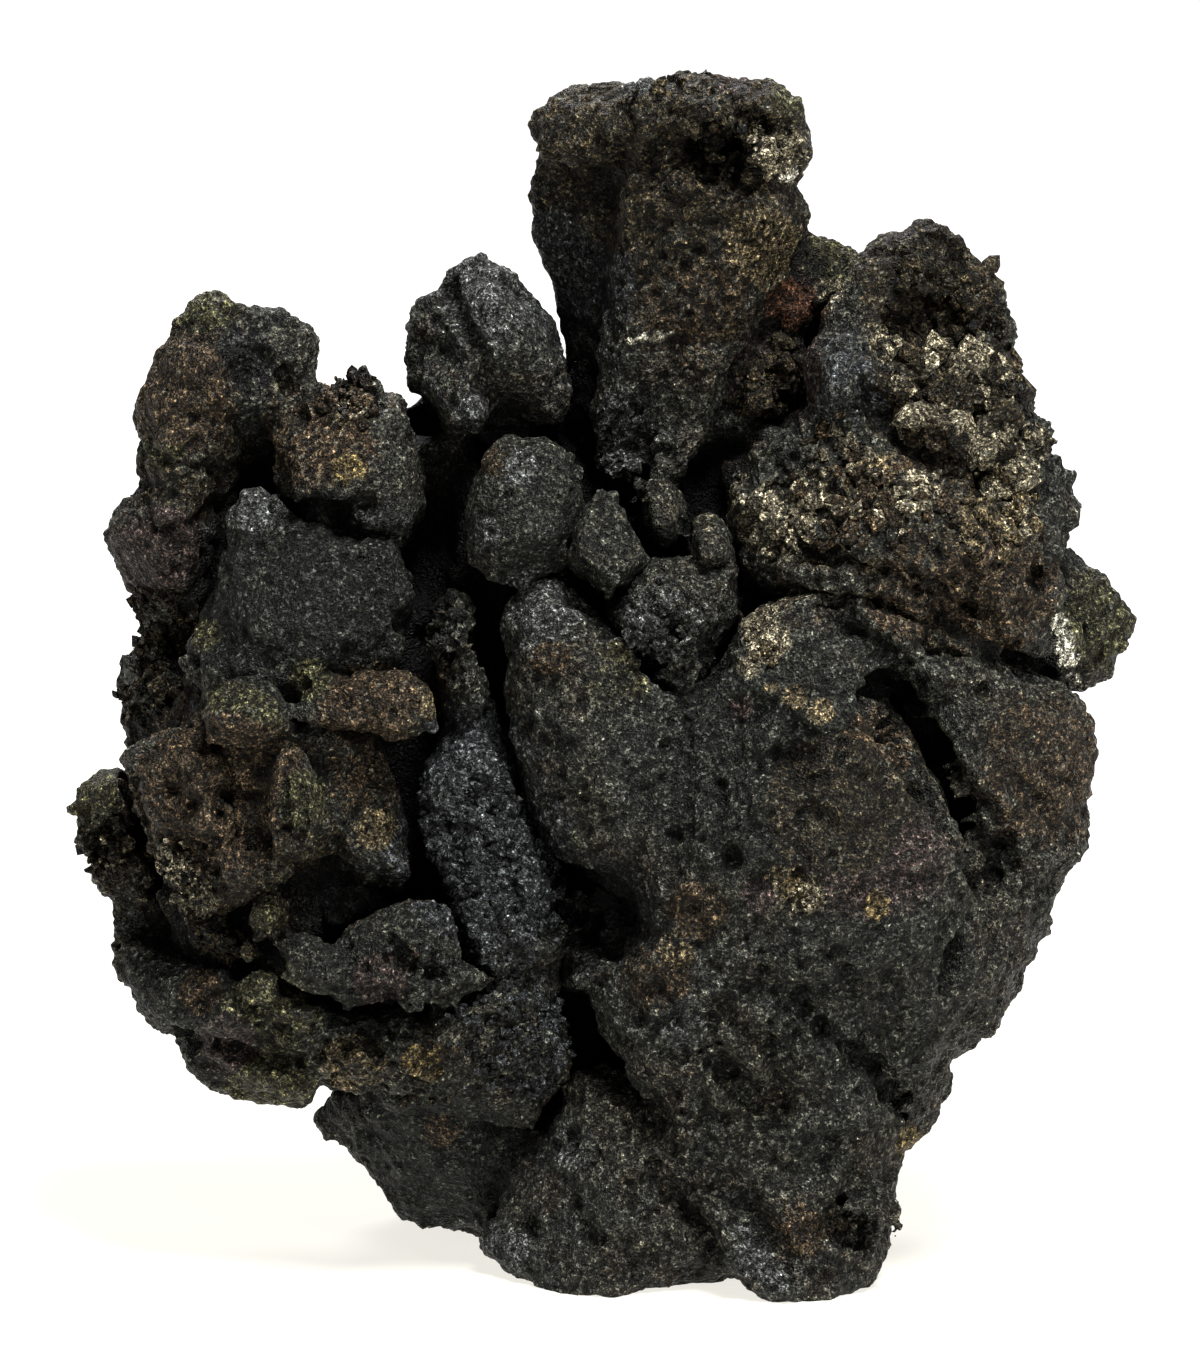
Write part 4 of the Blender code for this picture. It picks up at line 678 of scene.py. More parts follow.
# %% Middle crystals
MIDDLE_CRYSTALS = (
    (-1, -5, (
        (-6.9, 41.8), (-6.4, 42.7), (-5.8, 43.3), (-5.2, 43.6), (-4.6, 43.5), (-3.5, 42.6), (-2.6, 41.3),
        (-1.7, 40.3), (-1.45, 39), (-1.2, 37.4), (-1.4, 36.4), (-3, 36.2), (-4.6, 37.8), (-5.8, 38),
        (-6.8, 40.6)), (
        (-5.2, 42.7, 0.9), (-4.5, 41.2, 2.7), (-5.9, 39.7, 1.9), (-3.2, 39.6, 2.8), (-2.4, 38.4, 1.9),
        (-2.3, 37, 1.4), (-3.4, 37.4, 1.8), (-5.2, 38.7, 2.4))),
    (-1.5, -5, (
        (-8.05, 41), (-7.8, 41.5), (-7.2, 41.85), (-6.4, 41.9), (-6, 40.4), (-5.9, 39.3), (-6.6, 37.9),
        (-7.7, 38), (-8, 39.4)), (
        (-7.4, 41.2, 0.4), (-6.7, 41, 1), (-6.5, 39.6, 0.8), (-7.3, 38.8, 0.2))),
    (-1.5, -3.5, (
        (-8.15, 38.6), (-7.9, 39.1), (-7, 38.9), (-7.1, 37.6), (-7.9, 37.9)), (
        (-7.6, 38.6, 0.4), (-7.4, 38.2, 0.4))),
    (-1, -5, (
        (-7.9, 38.4), (-7.4, 39.2), (-4.4, 38.6), (-4.3, 36.6), (-4.9, 35.4), (-6.3, 35.6), (-7.2, 36.8)), (
        (-7, 38, 1.8), (-5.4, 38, 2.8), (-4.9, 36.4, 3.2), (-6.1, 36.2, 2.6))),
    (-2.5, -5, (
        (-4.8, 38), (-3, 37.8), (-2.8, 35.6), (-4.6, 35)), (
        (-4.2, 37.2, -0.6), (-3.4, 36.4, -0.4))),
    (3.2, -4, (
        (-4.9, 34.7), (-3.9, 35.8), (-2, 35.8), (-0.9, 34.3), (-0.6, 33.6), (-0.9, 32), (-1.3, 30.4),
        (-2.8, 29.8), (-4.2, 29.5), (-5.3, 30.2), (-5.7, 32.2)), (
        (-4.3, 34.6, 5.5), (-2.4, 35.1, 5.4), (-1.3, 33.5, 5.9), (-1.8, 31.5, 6.1), (-3.8, 31.2, 6.1),
        (-5, 32.3, 5.5), (-3.6, 30.2, 5), (-2, 30.5, 5))),
    (0, -4, (
        (0.2, 28.8), (1, 30.2), (2.2, 30.9), (3.6, 31), (5, 30.2), (5.6, 28.8), (4.9, 27.6), (4.6, 26.4),
        (3.4, 24.8), (1.9, 26), (0.9, 27.2), (0.1, 28)), (
        (1, 28.8, 6.6), (2, 30.2, 6), (3.6, 30, 5.8), (4.8, 28.7, 6.2), (4.3, 27.4, 7), (3.5, 25.8, 7.8),
        (2, 26.9, 7.6), (1.2, 27.9, 7.2), (2.8, 28.4, 7.4))),
    (0.5, -4, (
        (-4.1, 28), (-3.9, 28.8), (-3.4, 29.6), (-1.9, 30.1), (-1.4, 30), (-0.6, 29.2), (0.2, 28.2),
        (1.1, 27.5), (2.2, 26.1), (3.3, 25), (3.4, 21), (2.6, 17.4), (0.6, 16.8), (-0.8, 17.4),
        (-2.4, 18.4), (-3.2, 19.6), (-3.6, 22), (-3.6, 24.4), (-3.8, 26.4)), (
        (-3.3, 28.2, 6.2), (-2.7, 29.2, 6), (-1.7, 29.3, 6), (-0.8, 28.2, 6.8), (0.3, 27.4, 6.9),
        (1.6, 26.2, 7.3), (2.8, 24.9, 7.6), (1.6, 25, 7.2), (2.6, 23.4, 7.4), (2.4, 20, 8.2),
        (1.6, 18, 7.8), (-0.6, 18.4, 7.2), (-2, 19.8, 6.8), (-2.8, 22.6, 6.6), (-3, 25.4, 6.6),
        (-0.4, 22.6, 8.4))),
    (0, -4, (
        (-1.7, 14.4), (-0.4, 15.4), (1.2, 15.2), (1.6, 14), (0.6, 12.6), (-0.9, 12.5), (-1.6, 13)), (
        (-0.9, 14.2, 5.6), (0.4, 14.6, 5.8), (0.8, 13.4, 6.4), (-0.5, 13.2, 6.2))),
)
MIDDLE_FILL = (
    (0, -4, (
        (0.6, 28.6), (2, 30.6), (5.6, 30.6), (6, 28.6), (5, 26.2), (3.4, 24), (1.8, 25.6)), (
        (1.4, 28.2, 6.2), (2.6, 29.8, 5.6), (5, 29.6, 5.6), (5.2, 28.2, 6.2), (4.4, 26.4, 6.8),
        (3.4, 24.8, 7.2), (2.2, 26, 7))),
    (0, -4, (
        (-2.4, 17.6), (2.2, 17.8), (2.4, 12.6), (-1.9, 12.6)), (
        (-1.4, 16.6, 3.6), (1.4, 17, 4.4), (1.8, 13.6, 6.4), (-1, 13.2, 5.8))),
)
# The eighth lump is the left part of the broad crystal, and is grown with that.
BROAD_LEFT = MIDDLE_CRYSTALS[7]
middle_lumps = MIDDLE_CRYSTALS[:7] + MIDDLE_CRYSTALS[8:] + MIDDLE_FILL
middle_crystals = grow("middle_crystals", middle_lumps, cell=0.13, blunt=1, reach=0.05)

# %% [markdown]
# ## The main crystal and its right side
# The broad crystal in front fills a third of the view. It has a domed face, a gully down its left third and
# a straight cleft on its right, where a second slab leans against it. The two slabs are grown apart, as the
# cleft is open down to its floor, and the gaps within each are closed, so that each reads as one crystal.

# %% Main crystal
MAIN_CRYSTAL = (
    (1.5, -5, (
        (3.1, 23.5), (3.9, 25.2), (4.6, 26), (5.2, 27.5), (5.7, 28.2), (6.5, 28.8), (8, 29.1), (9.3, 28.7),
        (10.6, 27.6), (11.5, 25.5), (12.1, 23.7), (13.3, 21.6), (14.3, 20), (15.3, 18.8), (15.9, 17.8),
        (15.2, 15.2), (14.6, 13), (3, 13), (1.8, 15.6), (2.4, 18.5), (3, 21)), (
        (4.4, 24.4, 7.4), (5.6, 27, 7), (7, 28, 7.2), (9.2, 27.8, 7.2), (10.8, 25.4, 7.8), (7.6, 24.8, 9),
        (10.6, 22.8, 9.2), (6, 20, 10), (10, 17.4, 10.6), (13.4, 19, 8.6), (14.7, 17.4, 8),
        (13.8, 14.6, 8.4), (9, 13.6, 10.2), (4.6, 14.4, 9.4), (3.6, 17.6, 9))),
    (1, -5, (
        (-0.7, 12.9), (0.4, 13.8), (1.4, 14.8), (2, 17), (15.6, 16), (14.7, 13.4), (13.4, 10.6), (12.7, 9),
        (12.6, 6), (12, 4.6), (4, 4), (2.4, 7), (1.5, 9), (0.3, 10.9)), (
        (0.6, 12.6, 7.2), (1.8, 13.9, 8.4), (3, 16, 9), (12.8, 15.6, 9), (13.4, 13.4, 8), (12.2, 10, 7.2),
        (11.4, 7.2, 6.8), (8, 6.6, 7.8), (4.6, 7.4, 8), (2.6, 9.6, 7.8), (1.2, 11.2, 7.4), (5, 12, 9.4),
        (9, 11.4, 9.4))),
    (1, -4, (
        (1, 25), (4.4, 25), (5, 22), (4.4, 16), (3, 14), (1.4, 15.4), (1.2, 18)), (
        (2.2, 23.8, 7.4), (4, 23.6, 7.6), (4.2, 20, 8.6), (3.8, 16.4, 8.6), (2.8, 15, 8.2), (2.2, 18, 7.8),
        (2, 21, 7.8))),
    (-1, -6, (
        (12.8, 25.6), (16.6, 26), (19.4, 25.9), (20.3, 25), (20.8, 23.8), (20.9, 23), (20.7, 22),
        (20.6, 20.8), (20.2, 19), (19.4, 17.4), (18.9, 16.6), (18.4, 14.9), (17.8, 13.2), (17, 11.2),
        (16.6, 10.75), (15.4, 12), (14.8, 15), (15.6, 17.8), (14.6, 20), (13.4, 22.2)), (
        (13.9, 24.8, 6), (16, 24.8, 5.8), (18.8, 24.2, 4.4), (19.6, 22.8, 3.6), (19.2, 20, 4),
        (18.2, 17.4, 4.8), (16.8, 13, 5), (16, 12.4, 5.4), (16.2, 16, 6.2), (17, 19.4, 5.2),
        (15.6, 22, 5.4))),
    (0, -5, (
        (10.6, 27.6), (12.6, 27.4), (14, 28), (15.4, 27.2), (16.6, 26), (19, 25.8), (20.2, 25), (15, 24),
        (13.4, 22.8), (12.6, 24), (11.8, 25.6)), (
        (12.4, 26.3, 6.2), (13.5, 25.4, 6.2), (15, 26.4, 5.8), (18, 25.2, 4.4), (14.8, 24.4, 6))),
    (0, -5, (
        (14.6, 15.6), (16.4, 16.6), (17.2, 12.6), (16.4, 10.9), (15.9, 10.9), (15, 10.1), (12.4, 9),
        (12.4, 11)), (
        (14.9, 14, 6.6), (15.7, 13.4, 6), (15.4, 11.4, 5.8), (14, 10.4, 5.8), (12.9, 9.8, 6.4),
        (13.6, 12, 7))),
    (0, -5, (
        (12.6, 11), (14.8, 10.6), (14.7, 9.4), (14.3, 8.8), (14.1, 7.6), (13.7, 6.7), (12.6, 5.8),
        (12, 7)), (
        (14, 9.6, 5.6), (13.4, 7.8, 5.4), (12.6, 7.2, 6), (12.6, 9.8, 6.6))),
)
MAIN_FILL = (
    (0.5, -4, (
        (0, 25.5), (3.4, 26), (5, 25), (4.6, 14.4), (1.8, 13.6), (1.6, 17.4), (0.4, 18.4)), (
        (0.8, 23.5, 7.9), (3.4, 25, 7.9), (4.4, 23.5, 8.3), (4.6, 19, 9.3), (3.8, 15.5, 9), (2.4, 15, 8.2),
        (1.8, 19, 8.4))),
    (1.5, -4, (
        (9, 26), (10.6, 27.2), (11.5, 25.5), (12.2, 23.7), (13.4, 21.6), (14.4, 20), (15.4, 18.8),
        (15.9, 17.4), (12, 17)), (
        (10.4, 26.2, 7.6), (11.2, 25, 7.8), (11.8, 23.4, 8), (13, 21.2, 8.3), (14, 19.6, 8.3),
        (15, 18.2, 8), (12, 18, 9.6), (9.6, 24, 8.8))),
    (0.5, -4, (
        (14, 17.6), (16.6, 17.2), (16.4, 12), (15.4, 10.6), (13.6, 8.8), (12.4, 7.4), (11.4, 12)), (
        (14.8, 16.8, 7.6), (15.8, 16.4, 6.8), (15.6, 13, 6.4), (14.4, 10.8, 6.4), (13.2, 9.2, 6.6),
        (12.4, 13, 8.4))),
    (0, -4, (
        (6.4, 29), (8.4, 29.8), (11.4, 29.8), (13.8, 28.6), (13.8, 26.6), (12.2, 25.2), (10.4, 26.8),
        (8.4, 27.8)), (
        (7.2, 28.8, 6.4), (9, 29, 6.4), (11.4, 28.8, 6.6), (13, 27.8, 6.7), (12.6, 26.4, 7),
        (10.8, 27.4, 6.6))),
    (0, -4, (
        (12.2, 25.6), (14.4, 25.4), (16.4, 21.6), (17.2, 17.6), (15.8, 16.6), (13.7, 20.6), (12.4, 23.4)), (
        (13, 24.6, 5.6), (14.4, 21.8, 4.2), (15.4, 19.6, 4.2), (16.2, 18, 5.6))),
    (0, -4, (
        (6.2, 30.6), (9, 31.6), (13, 31), (15, 28.6), (13.2, 27.4), (10.6, 28.6), (8.2, 29.2)), (
        (7.4, 30.2, 5.8), (9.6, 30.6, 6.4), (12.8, 30, 6.8), (13.8, 28.4, 6.8), (11.2, 29, 6.8),
        (9, 29.6, 6.4))),
)
broad_lumps = MAIN_CRYSTAL[:3] + MAIN_FILL[:4] + (BROAD_LEFT,)
main_crystal = grow("main_crystal", broad_lumps, cell=0.168, blunt=3, reach=0.25)
right_side = grow("right_side", MAIN_CRYSTAL[3:] + MAIN_FILL[4:], cell=0.15, blunt=3, reach=0.25)

# %% [markdown]
# ## The right shoulder
# This crystal has rotted into a crust of chunks. The lumps give only its terraces, stepping down to the
# right. The crust itself comes from the ragged spots, which press and raise its skin hardest, and from the
# loose crumbs that are scattered later.

# %% Right shoulder
RIGHT_SHOULDER = (
    (-2, -6, (
        (10.4, 43.2), (11.3, 43.8), (12, 44.15), (12.8, 44.3), (13.6, 45.1), (14.1, 44.7), (14.9, 44.4),
        (15.3, 43.4), (15.7, 42.6), (13.4, 41), (11.4, 40.6), (10, 41.6)), (
        (11.6, 43, 0.6), (13.6, 44, 0.9), (14.6, 43.2, 0.4), (13.6, 42.2, 1.6), (11.8, 41.8, 1.6))),
    (-2, -6, (
        (15.2, 43), (16, 42.6), (16.6, 42), (17.4, 40.4), (17.75, 39.9), (17.2, 39.4), (15, 39.2),
        (13.6, 41), (14, 42.4)), (
        (15, 42, 0.8), (16.4, 40.9, 0.6), (16.4, 40, 1.2), (14.6, 41.2, 1.4))),
    (-1, -5, (
        (8.2, 38.6), (8.5, 36.8), (9.4, 36.1), (10.8, 36.1), (11.6, 37), (12, 38.4), (11.7, 39.6),
        (10.6, 40.6), (9.2, 40.4), (8.5, 39.6)), (
        (9.3, 38.8, 3.4), (9.5, 37.3, 3.9), (10.8, 37.3, 3.9), (11, 38.8, 3.4), (10.2, 39.8, 2.4))),
    (-1.5, -5, (
        (8.9, 40.2), (9.2, 41.4), (10.6, 42.8), (12.6, 42), (12.6, 40), (11.4, 39.2), (9.6, 39.4)), (
        (10, 40.8, 1.6), (11.4, 41.4, 1.6), (11.6, 40.2, 2))),
    (-2, -6, (
        (11.6, 40.4), (16.9, 39.8), (17.4, 38.6), (17.75, 37.9), (17.8, 37.1), (17.6, 36.4), (18.2, 36.2),
        (18.7, 35.9), (19.2, 34.8), (18, 34), (12, 34.6), (11.2, 37)), (
        (12.8, 39.4, 2.4), (16, 39, 1.8), (16.8, 37.6, 2), (17.4, 35.6, 2.6), (13, 36, 3.4),
        (15, 35.4, 3.4))),
    (-0.5, -6, (
        (5.1, 32.3), (5.2, 33.2), (5.7, 34), (6.3, 35.2), (6.6, 36.2), (8.4, 36.4), (10.6, 36),
        (12.4, 35.4), (13, 33), (12, 31), (8, 30.4), (5.6, 31)), (
        (6.1, 33, 3.4), (6.8, 34.8, 3.2), (8.8, 35.5, 3.6), (11, 34.8, 4), (11.4, 32.6, 5),
        (8.6, 32.4, 5.2), (6.7, 31.8, 4.4))),
    (-1.5, -6, (
        (16.2, 35), (17.4, 36.1), (18.6, 36.1), (19.1, 35.2), (19.5, 34), (19.9, 33), (19.9, 32.2),
        (19.4, 31.2), (18, 30.4), (16, 31.4)), (
        (17.2, 34.8, 2.8), (18.6, 34.4, 2), (19, 32.6, 1.8), (17.6, 32.2, 3.6))),
    (-0.5, -6, (
        (12.4, 35), (16, 34.6), (18.4, 33), (19.2, 31), (18.6, 29.6), (18.9, 28), (19, 26.4), (16.6, 26.2),
        (15.4, 27.4), (14.2, 28.6), (13, 29.8), (11, 31), (8, 31.4), (8, 33)), (
        (9.4, 32, 5.2), (12.6, 33.2, 4.6), (15.4, 32.6, 4.4), (17.4, 31, 4.2), (17.4, 29, 4.6),
        (17.2, 27.6, 4.8), (15.6, 29.2, 5.8), (13.8, 30.8, 6), (11, 31.6, 5.8))),
    (0, -5, (
        (5.6, 30.8), (5.8, 29.6), (7, 29.2), (9.2, 29.2), (10.4, 28.6), (12.2, 27.8), (13.2, 27.2),
        (14.6, 28.4), (13.6, 30.2), (11.4, 31.4), (8, 31.8)), (
        (6.8, 30.6, 4.2), (9, 30.4, 5.2), (11.6, 29.8, 6), (12.8, 28.6, 6.2), (10, 29.6, 5.8),
        (7.2, 29.9, 4.6))),
    (-4, -8, (
        (19.4, 31.6), (20.7, 30.6), (21.6, 29.9), (22.2, 29.1), (22.6, 28.2), (22.4, 27.2), (21.6, 26.1),
        (20.6, 25.2), (18.6, 25.4), (18, 28.6)), (
        (20.4, 29.6, -1.4), (21.2, 28.2, -1.2), (20.8, 26.8, -1.2), (19.4, 27, -0.6), (19.2, 29.6, -0.8))),
)
SHOULDER_FILL = (
    (0, -4, (
        (6.4, 31.4), (8, 33), (12, 34), (17, 32), (17.8, 29), (14.6, 28.8), (12, 29.6), (8.6, 30.6)), (
        (8, 31.6, 5.8), (9.4, 32.2, 6), (12.4, 32.6, 6), (15.8, 31.4, 5.8), (16.6, 29.8, 5.8),
        (14, 29.8, 6.9), (10.4, 31, 6.6))),
)
right_shoulder = grow("right_shoulder", RIGHT_SHOULDER + SHOULDER_FILL, cell=0.14, blunt=2, reach=0.25)

# %% [markdown]
# ## The left arm
# A leaning prism with a stepped top and a second block that hangs on its right, with a dark hole between
# them. The lumps leave a gap there and a hollow deepens it, because a painted hole would be flat from the
# side, and a black patch of painted shade among the stains darkens it further.

# %% Left arm
LEFT_ARM = (
    (-1.5, -5, (
        (-18.3, 39.4), (-17.8, 40.6), (-17.1, 41.3), (-16.6, 42), (-16.1, 42.1), (-15, 41.3), (-13.9, 41.2),
        (-12, 40.6), (-11.65, 40.3), (-11.6, 39.5), (-11.8, 38.6), (-12.8, 36), (-14.6, 35.8), (-17.6, 36),
        (-18.9, 38.2)), (
        (-16.8, 40.6, 1.2), (-15.4, 40.2, 2), (-13.4, 39.8, 1.6), (-12.5, 39.6, 1.2), (-13.1, 38, 2),
        (-13.8, 36.8, 2), (-16, 37, 3), (-17.6, 38.6, 1.8), (-16, 38.8, 3))),
    (-1.5, -5, (
        (-18.9, 38.2), (-19.4, 37.4), (-19.5, 36.8), (-19.3, 35.8), (-18.9, 35.2), (-19.2, 34.2),
        (-19, 33.6), (-17.4, 32.6), (-15.8, 33.4), (-15.2, 34.4), (-14.4, 35.6), (-14.8, 37.4),
        (-17, 38.6)), (
        (-18.4, 36.8, 1.4), (-17.4, 37.4, 2.4), (-15.8, 36.6, 2.8), (-15.8, 35, 2), (-16.4, 34, 2.6),
        (-17.6, 34.6, 3), (-18.2, 35.2, 2))),
    (-1.5, -5, (
        (-19.2, 33.7), (-20, 33), (-20.7, 32.5), (-20.95, 31.8), (-20.4, 30.6), (-20, 29.9), (-19.3, 29.2),
        (-18.9, 28.2), (-17, 28), (-16, 30), (-15.7, 31.6), (-15.8, 33.4), (-17.4, 34.6)), (
        (-19.7, 31.8, 0.6), (-18.4, 33, 2.6), (-17, 33, 2.8), (-16.6, 31.6, 2), (-17, 29.6, 1.6),
        (-18.4, 29.8, 1.6), (-18.4, 31.4, 2.8))),
    (-3.5, -6.5, (
        (-19.2, 28.8), (-19.3, 27.2), (-19, 26.2), (-18.6, 25.3), (-19.8, 24.5), (-20.15, 23.4),
        (-19.9, 22), (-17, 22), (-15.6, 25), (-15.6, 28.8), (-17, 29.4)), (
        (-18.2, 28, -0.6), (-18, 26, -0.4), (-19, 24.2, 0.2), (-18, 23, 1.4), (-16.8, 27, -0.2))),
    (-0.5, -5, (
        (-13.5, 35.8), (-12.4, 37.6), (-11.4, 37.9), (-9.6, 37.6), (-8.2, 37.3), (-7.6, 36.6), (-7.2, 35.6),
        (-7.05, 33.8), (-7.1, 32.3), (-7.6, 31.5), (-8.2, 31), (-11, 31.2), (-13.2, 32.6), (-13.7, 34)), (
        (-12.7, 35.6, 3), (-11.8, 36.8, 2.4), (-9, 36.6, 2.8), (-8, 36, 2.8), (-7.7, 34.2, 3.2),
        (-7.9, 31.9, 3.8), (-9.2, 31.9, 4.4), (-12.4, 33, 4.2), (-12, 34.8, 4), (-9, 35, 4.2))),
    (-0.5, -3, (
        (-11.9, 37.2), (-11.4, 38.1), (-10.9, 38.2), (-9.9, 38.8), (-9.3, 38.65), (-9.4, 37.4),
        (-10.4, 36.6)), (
        (-10.8, 37.4, 1.6), (-10, 37.8, 1.4))),
    (-0.5, -3, (
        (-9.2, 37.2), (-8.7, 37.8), (-8.1, 37.8), (-7.8, 37), (-8.4, 36.4)), (
        (-8.6, 37, 1.4), (-8.3, 37.1, 1.4))),
)
left_arm = grow("left_arm", LEFT_ARM, cell=0.13, blunt=3, reach=0.3)

# %% [markdown]
# ## The left crystals
# Under the arm sit a plate-like crystal with bevelled upper edges and the crusted block below it. Their
# fronts are flat and their edges clear, so the lumps have a plain front outline and few inner corners.

# %% Left crystals
LEFT_CRYSTALS = (
    (1.5, -2, (
        (-15.3, 32.2), (-15.3, 33), (-14.8, 33.45), (-13.9, 33.65), (-13.4, 33.3), (-12.9, 32.8),
        (-12.4, 31.6), (-13, 30.8), (-15.2, 31)), (
        (-14.6, 32.8, 4.4), (-13.8, 32.9, 4.6), (-13.3, 32, 5.2), (-14.6, 31.6, 5.2))),
    (1.5, -4, (
        (-15.5, 31.6), (-13, 32.4), (-11.4, 32.35), (-9.8, 32), (-8.6, 31.7), (-8, 31), (-7.8, 30),
        (-7.5, 29.2), (-7.7, 28), (-8.1, 26.9), (-9, 26.2), (-12.4, 25.4), (-15.8, 26), (-16.1, 28),
        (-16.1, 30)), (
        (-14.6, 30.8, 5), (-12.4, 31.6, 4.8), (-10, 31.4, 5), (-8.9, 30.4, 5.2), (-8.7, 28.6, 5.4),
        (-9.2, 27, 5.6), (-12, 27, 6.4), (-14.4, 27.4, 6), (-15, 29, 5.4), (-11.6, 29.6, 6.4))),
    (2.5, -3, (
        (-16.6, 27), (-16.8, 25), (-15.5, 24), (-9, 25.2), (-7.9, 27.2), (-9, 29), (-14, 29)), (
        (-15.6, 26.4, 5.6), (-13.4, 25.4, 6.2), (-10, 26.2, 6.2), (-8.9, 27.4, 5.8), (-12, 28.2, 6.5))),
    (1.5, -3, (
        (-16, 28.7), (-16.6, 28.2), (-17.4, 26.9), (-17.2, 25.8), (-16.7, 24.4), (-14, 24), (-13, 26.6),
        (-13.8, 29)), (
        (-15.6, 27.6, 5), (-16.4, 26.4, 4.4), (-16, 25, 4.6), (-14, 26.4, 6), (-14.4, 28.4, 5.4))),
    (2, -3, (
        (-20, 22.6), (-19.2, 23), (-17.6, 23.6), (-16.2, 24.4), (-14.4, 23), (-14.6, 20.2), (-14.6, 17.4),
        (-15.4, 15.8), (-17.6, 15.9), (-18.6, 17.6), (-19.1, 19.4), (-19.6, 21.4)), (
        (-19, 22, 5), (-17.4, 22.8, 5.8), (-16, 22.8, 7), (-15, 21.6, 7), (-15.2, 19, 7.4),
        (-15.4, 17.2, 7.2), (-16.8, 16.8, 6.2), (-18, 18.2, 5.4), (-18.6, 20.4, 5.2), (-16.6, 19.6, 7))),
    (2.5, -2, (
        (-15.4, 19.6), (-13.8, 19.4), (-12.2, 18.2), (-13.2, 17), (-15, 16.2)), (
        (-14.8, 18.8, 7.2), (-13.6, 18.8, 7.7), (-12.9, 18, 7.2), (-14.6, 17.2, 7.2))),
    (1.5, -3, (
        (-12.2, 23.4), (-9, 23.2), (-8.7, 22.2), (-8.9, 21), (-8.7, 20.1), (-8.1, 19.5), (-7.7, 18.6),
        (-7.6, 17.4), (-8.4, 16.6), (-10, 17), (-11.6, 18.4), (-12.4, 19)), (
        (-11.2, 22.4, 5), (-9.6, 22.4, 5.2), (-9.6, 20.2, 5.8), (-8.8, 19, 6.4), (-8.4, 17.8, 6.4),
        (-10, 18.2, 6.6), (-11.2, 19.4, 5.4))),
    (1, -3, (
        (-15, 24.2), (-11.6, 24.4), (-11.2, 17.8), (-14.8, 17.6)), (
        (-14, 23.4, 6), (-12.2, 23.6, 6.2), (-12, 21.4, 5.2), (-14, 21.4, 4.4), (-12.4, 18.6, 5),
        (-14, 18.6, 5.4))),
    (2, -1, (
        (-17.4, 15.8), (-16, 16), (-14.6, 15.4), (-13.6, 14.4), (-14.2, 13.6), (-16.2, 13.9),
        (-17.4, 14.8)), (
        (-16.6, 15.4, 4.6), (-15.2, 15, 5.4), (-14.4, 14.2, 5.8), (-16.2, 14.6, 4.8))),
)
left_crystals = grow("left_crystals", LEFT_CRYSTALS, cell=0.14, blunt=2, reach=0.06)

# %% [markdown]
# ## The ledges of the lower left
# Two ledges lie over each other like slates, with a black slot between them, and a small knob stands out at
# the far left. They are thin wedges, and a ledge in shadow under another shows the depth of the cluster.

# %% Lower left
LOWER_LEFT = (
    (-1, -5, (
        (-20, 22.2), (-21, 21.9), (-21.6, 21.6), (-22, 21.2), (-22.4, 20.5), (-22.3, 20.1), (-21.6, 19.6),
        (-21.1, 19), (-19, 18.6), (-19, 21.6)), (
        (-21.2, 21, 1.2), (-21.6, 20.5, 1), (-20.6, 20, 2.2), (-19.8, 21.2, 2.4))),
    (-1, -4.5, (
        (-21.1, 19.2), (-21.1, 18.1), (-21.45, 17.8), (-21.3, 17.2), (-20.8, 17), (-20.2, 16.7),
        (-19, 16.4), (-18.6, 18.8)), (
        (-20.9, 17.6, 0.8), (-20, 18.4, 2), (-19.6, 17.4, 2))),
    (-2, -5, (
        (-20.2, 16.8), (-20.1, 16.1), (-20.6, 15), (-19, 14.6), (-15, 15), (-15, 17), (-18.6, 17.6)), (
        (-19.4, 16.4, 0.4), (-18, 16, 1), (-16, 16, 2))),
    (0.5, -4, (
        (-20.7, 14.8), (-20.1, 15.25), (-19.2, 15.2), (-17.8, 14.6), (-15.2, 14), (-13, 13.6),
        (-11.2, 12.8), (-10.6, 11.6), (-11.4, 10.2), (-14, 9.9), (-17.7, 10.5), (-18.6, 10.9),
        (-19.3, 11.6), (-20.2, 13.2)), (
        (-19.9, 14.2, 2.4), (-18, 13.5, 4.6), (-15.3, 13.2, 5.8), (-13.1, 12.9, 6.6), (-11.6, 12.2, 7),
        (-11.6, 11, 6.8), (-13.2, 10.8, 6), (-16.4, 11.4, 5), (-18.2, 11.8, 4.6), (-19.2, 12.8, 3.6))),
    (1, -3, (
        (-17.4, 11.4), (-16.8, 9.6), (-12.2, 8.6), (-11.4, 10.8)), (
        (-16.6, 10.8, 4.4), (-15.6, 9.8, 4.4), (-12.6, 9.4, 5.6), (-12.2, 10.4, 6))),
    (1, -3, (
        (-17.8, 10.2), (-17.3, 9.3), (-16.4, 8.7), (-15.3, 8.2), (-14.2, 7.7), (-12, 7.8), (-11.7, 9.3),
        (-13.3, 9.8), (-15.7, 10.4)), (
        (-16.6, 9.7, 3.2), (-15, 9, 4.2), (-13.6, 8.4, 4.6), (-12.4, 8.6, 5), (-12.6, 9.2, 5.4),
        (-14.8, 9.8, 4.8))),
    (1, -3, (
        (-12.8, 18.4), (-9.4, 18), (-8.6, 15.6), (-10.6, 14.6), (-12.8, 15.2)), (
        (-11.8, 17.2, 4.2), (-10, 17, 4.4), (-10.6, 15.4, 5.4))),
    (1.5, -4, (
        (-12.2, 12), (-10.8, 11.7), (-9, 11.9), (-7, 12), (-5, 12.2), (-4.4, 10), (-4.6, 8.3), (-6.5, 8.4),
        (-8, 8.9), (-10.5, 9.2), (-12, 8.9), (-12.6, 10.4)), (
        (-11.6, 10.8, 6), (-9, 11.2, 6.4), (-6.2, 11.4, 6.6), (-5.4, 9.6, 6.6), (-8, 9.6, 7),
        (-10.6, 9.9, 6.6))),
)
lower_left = grow("lower_left", LOWER_LEFT, cell=0.14, blunt=2, reach=0.15)

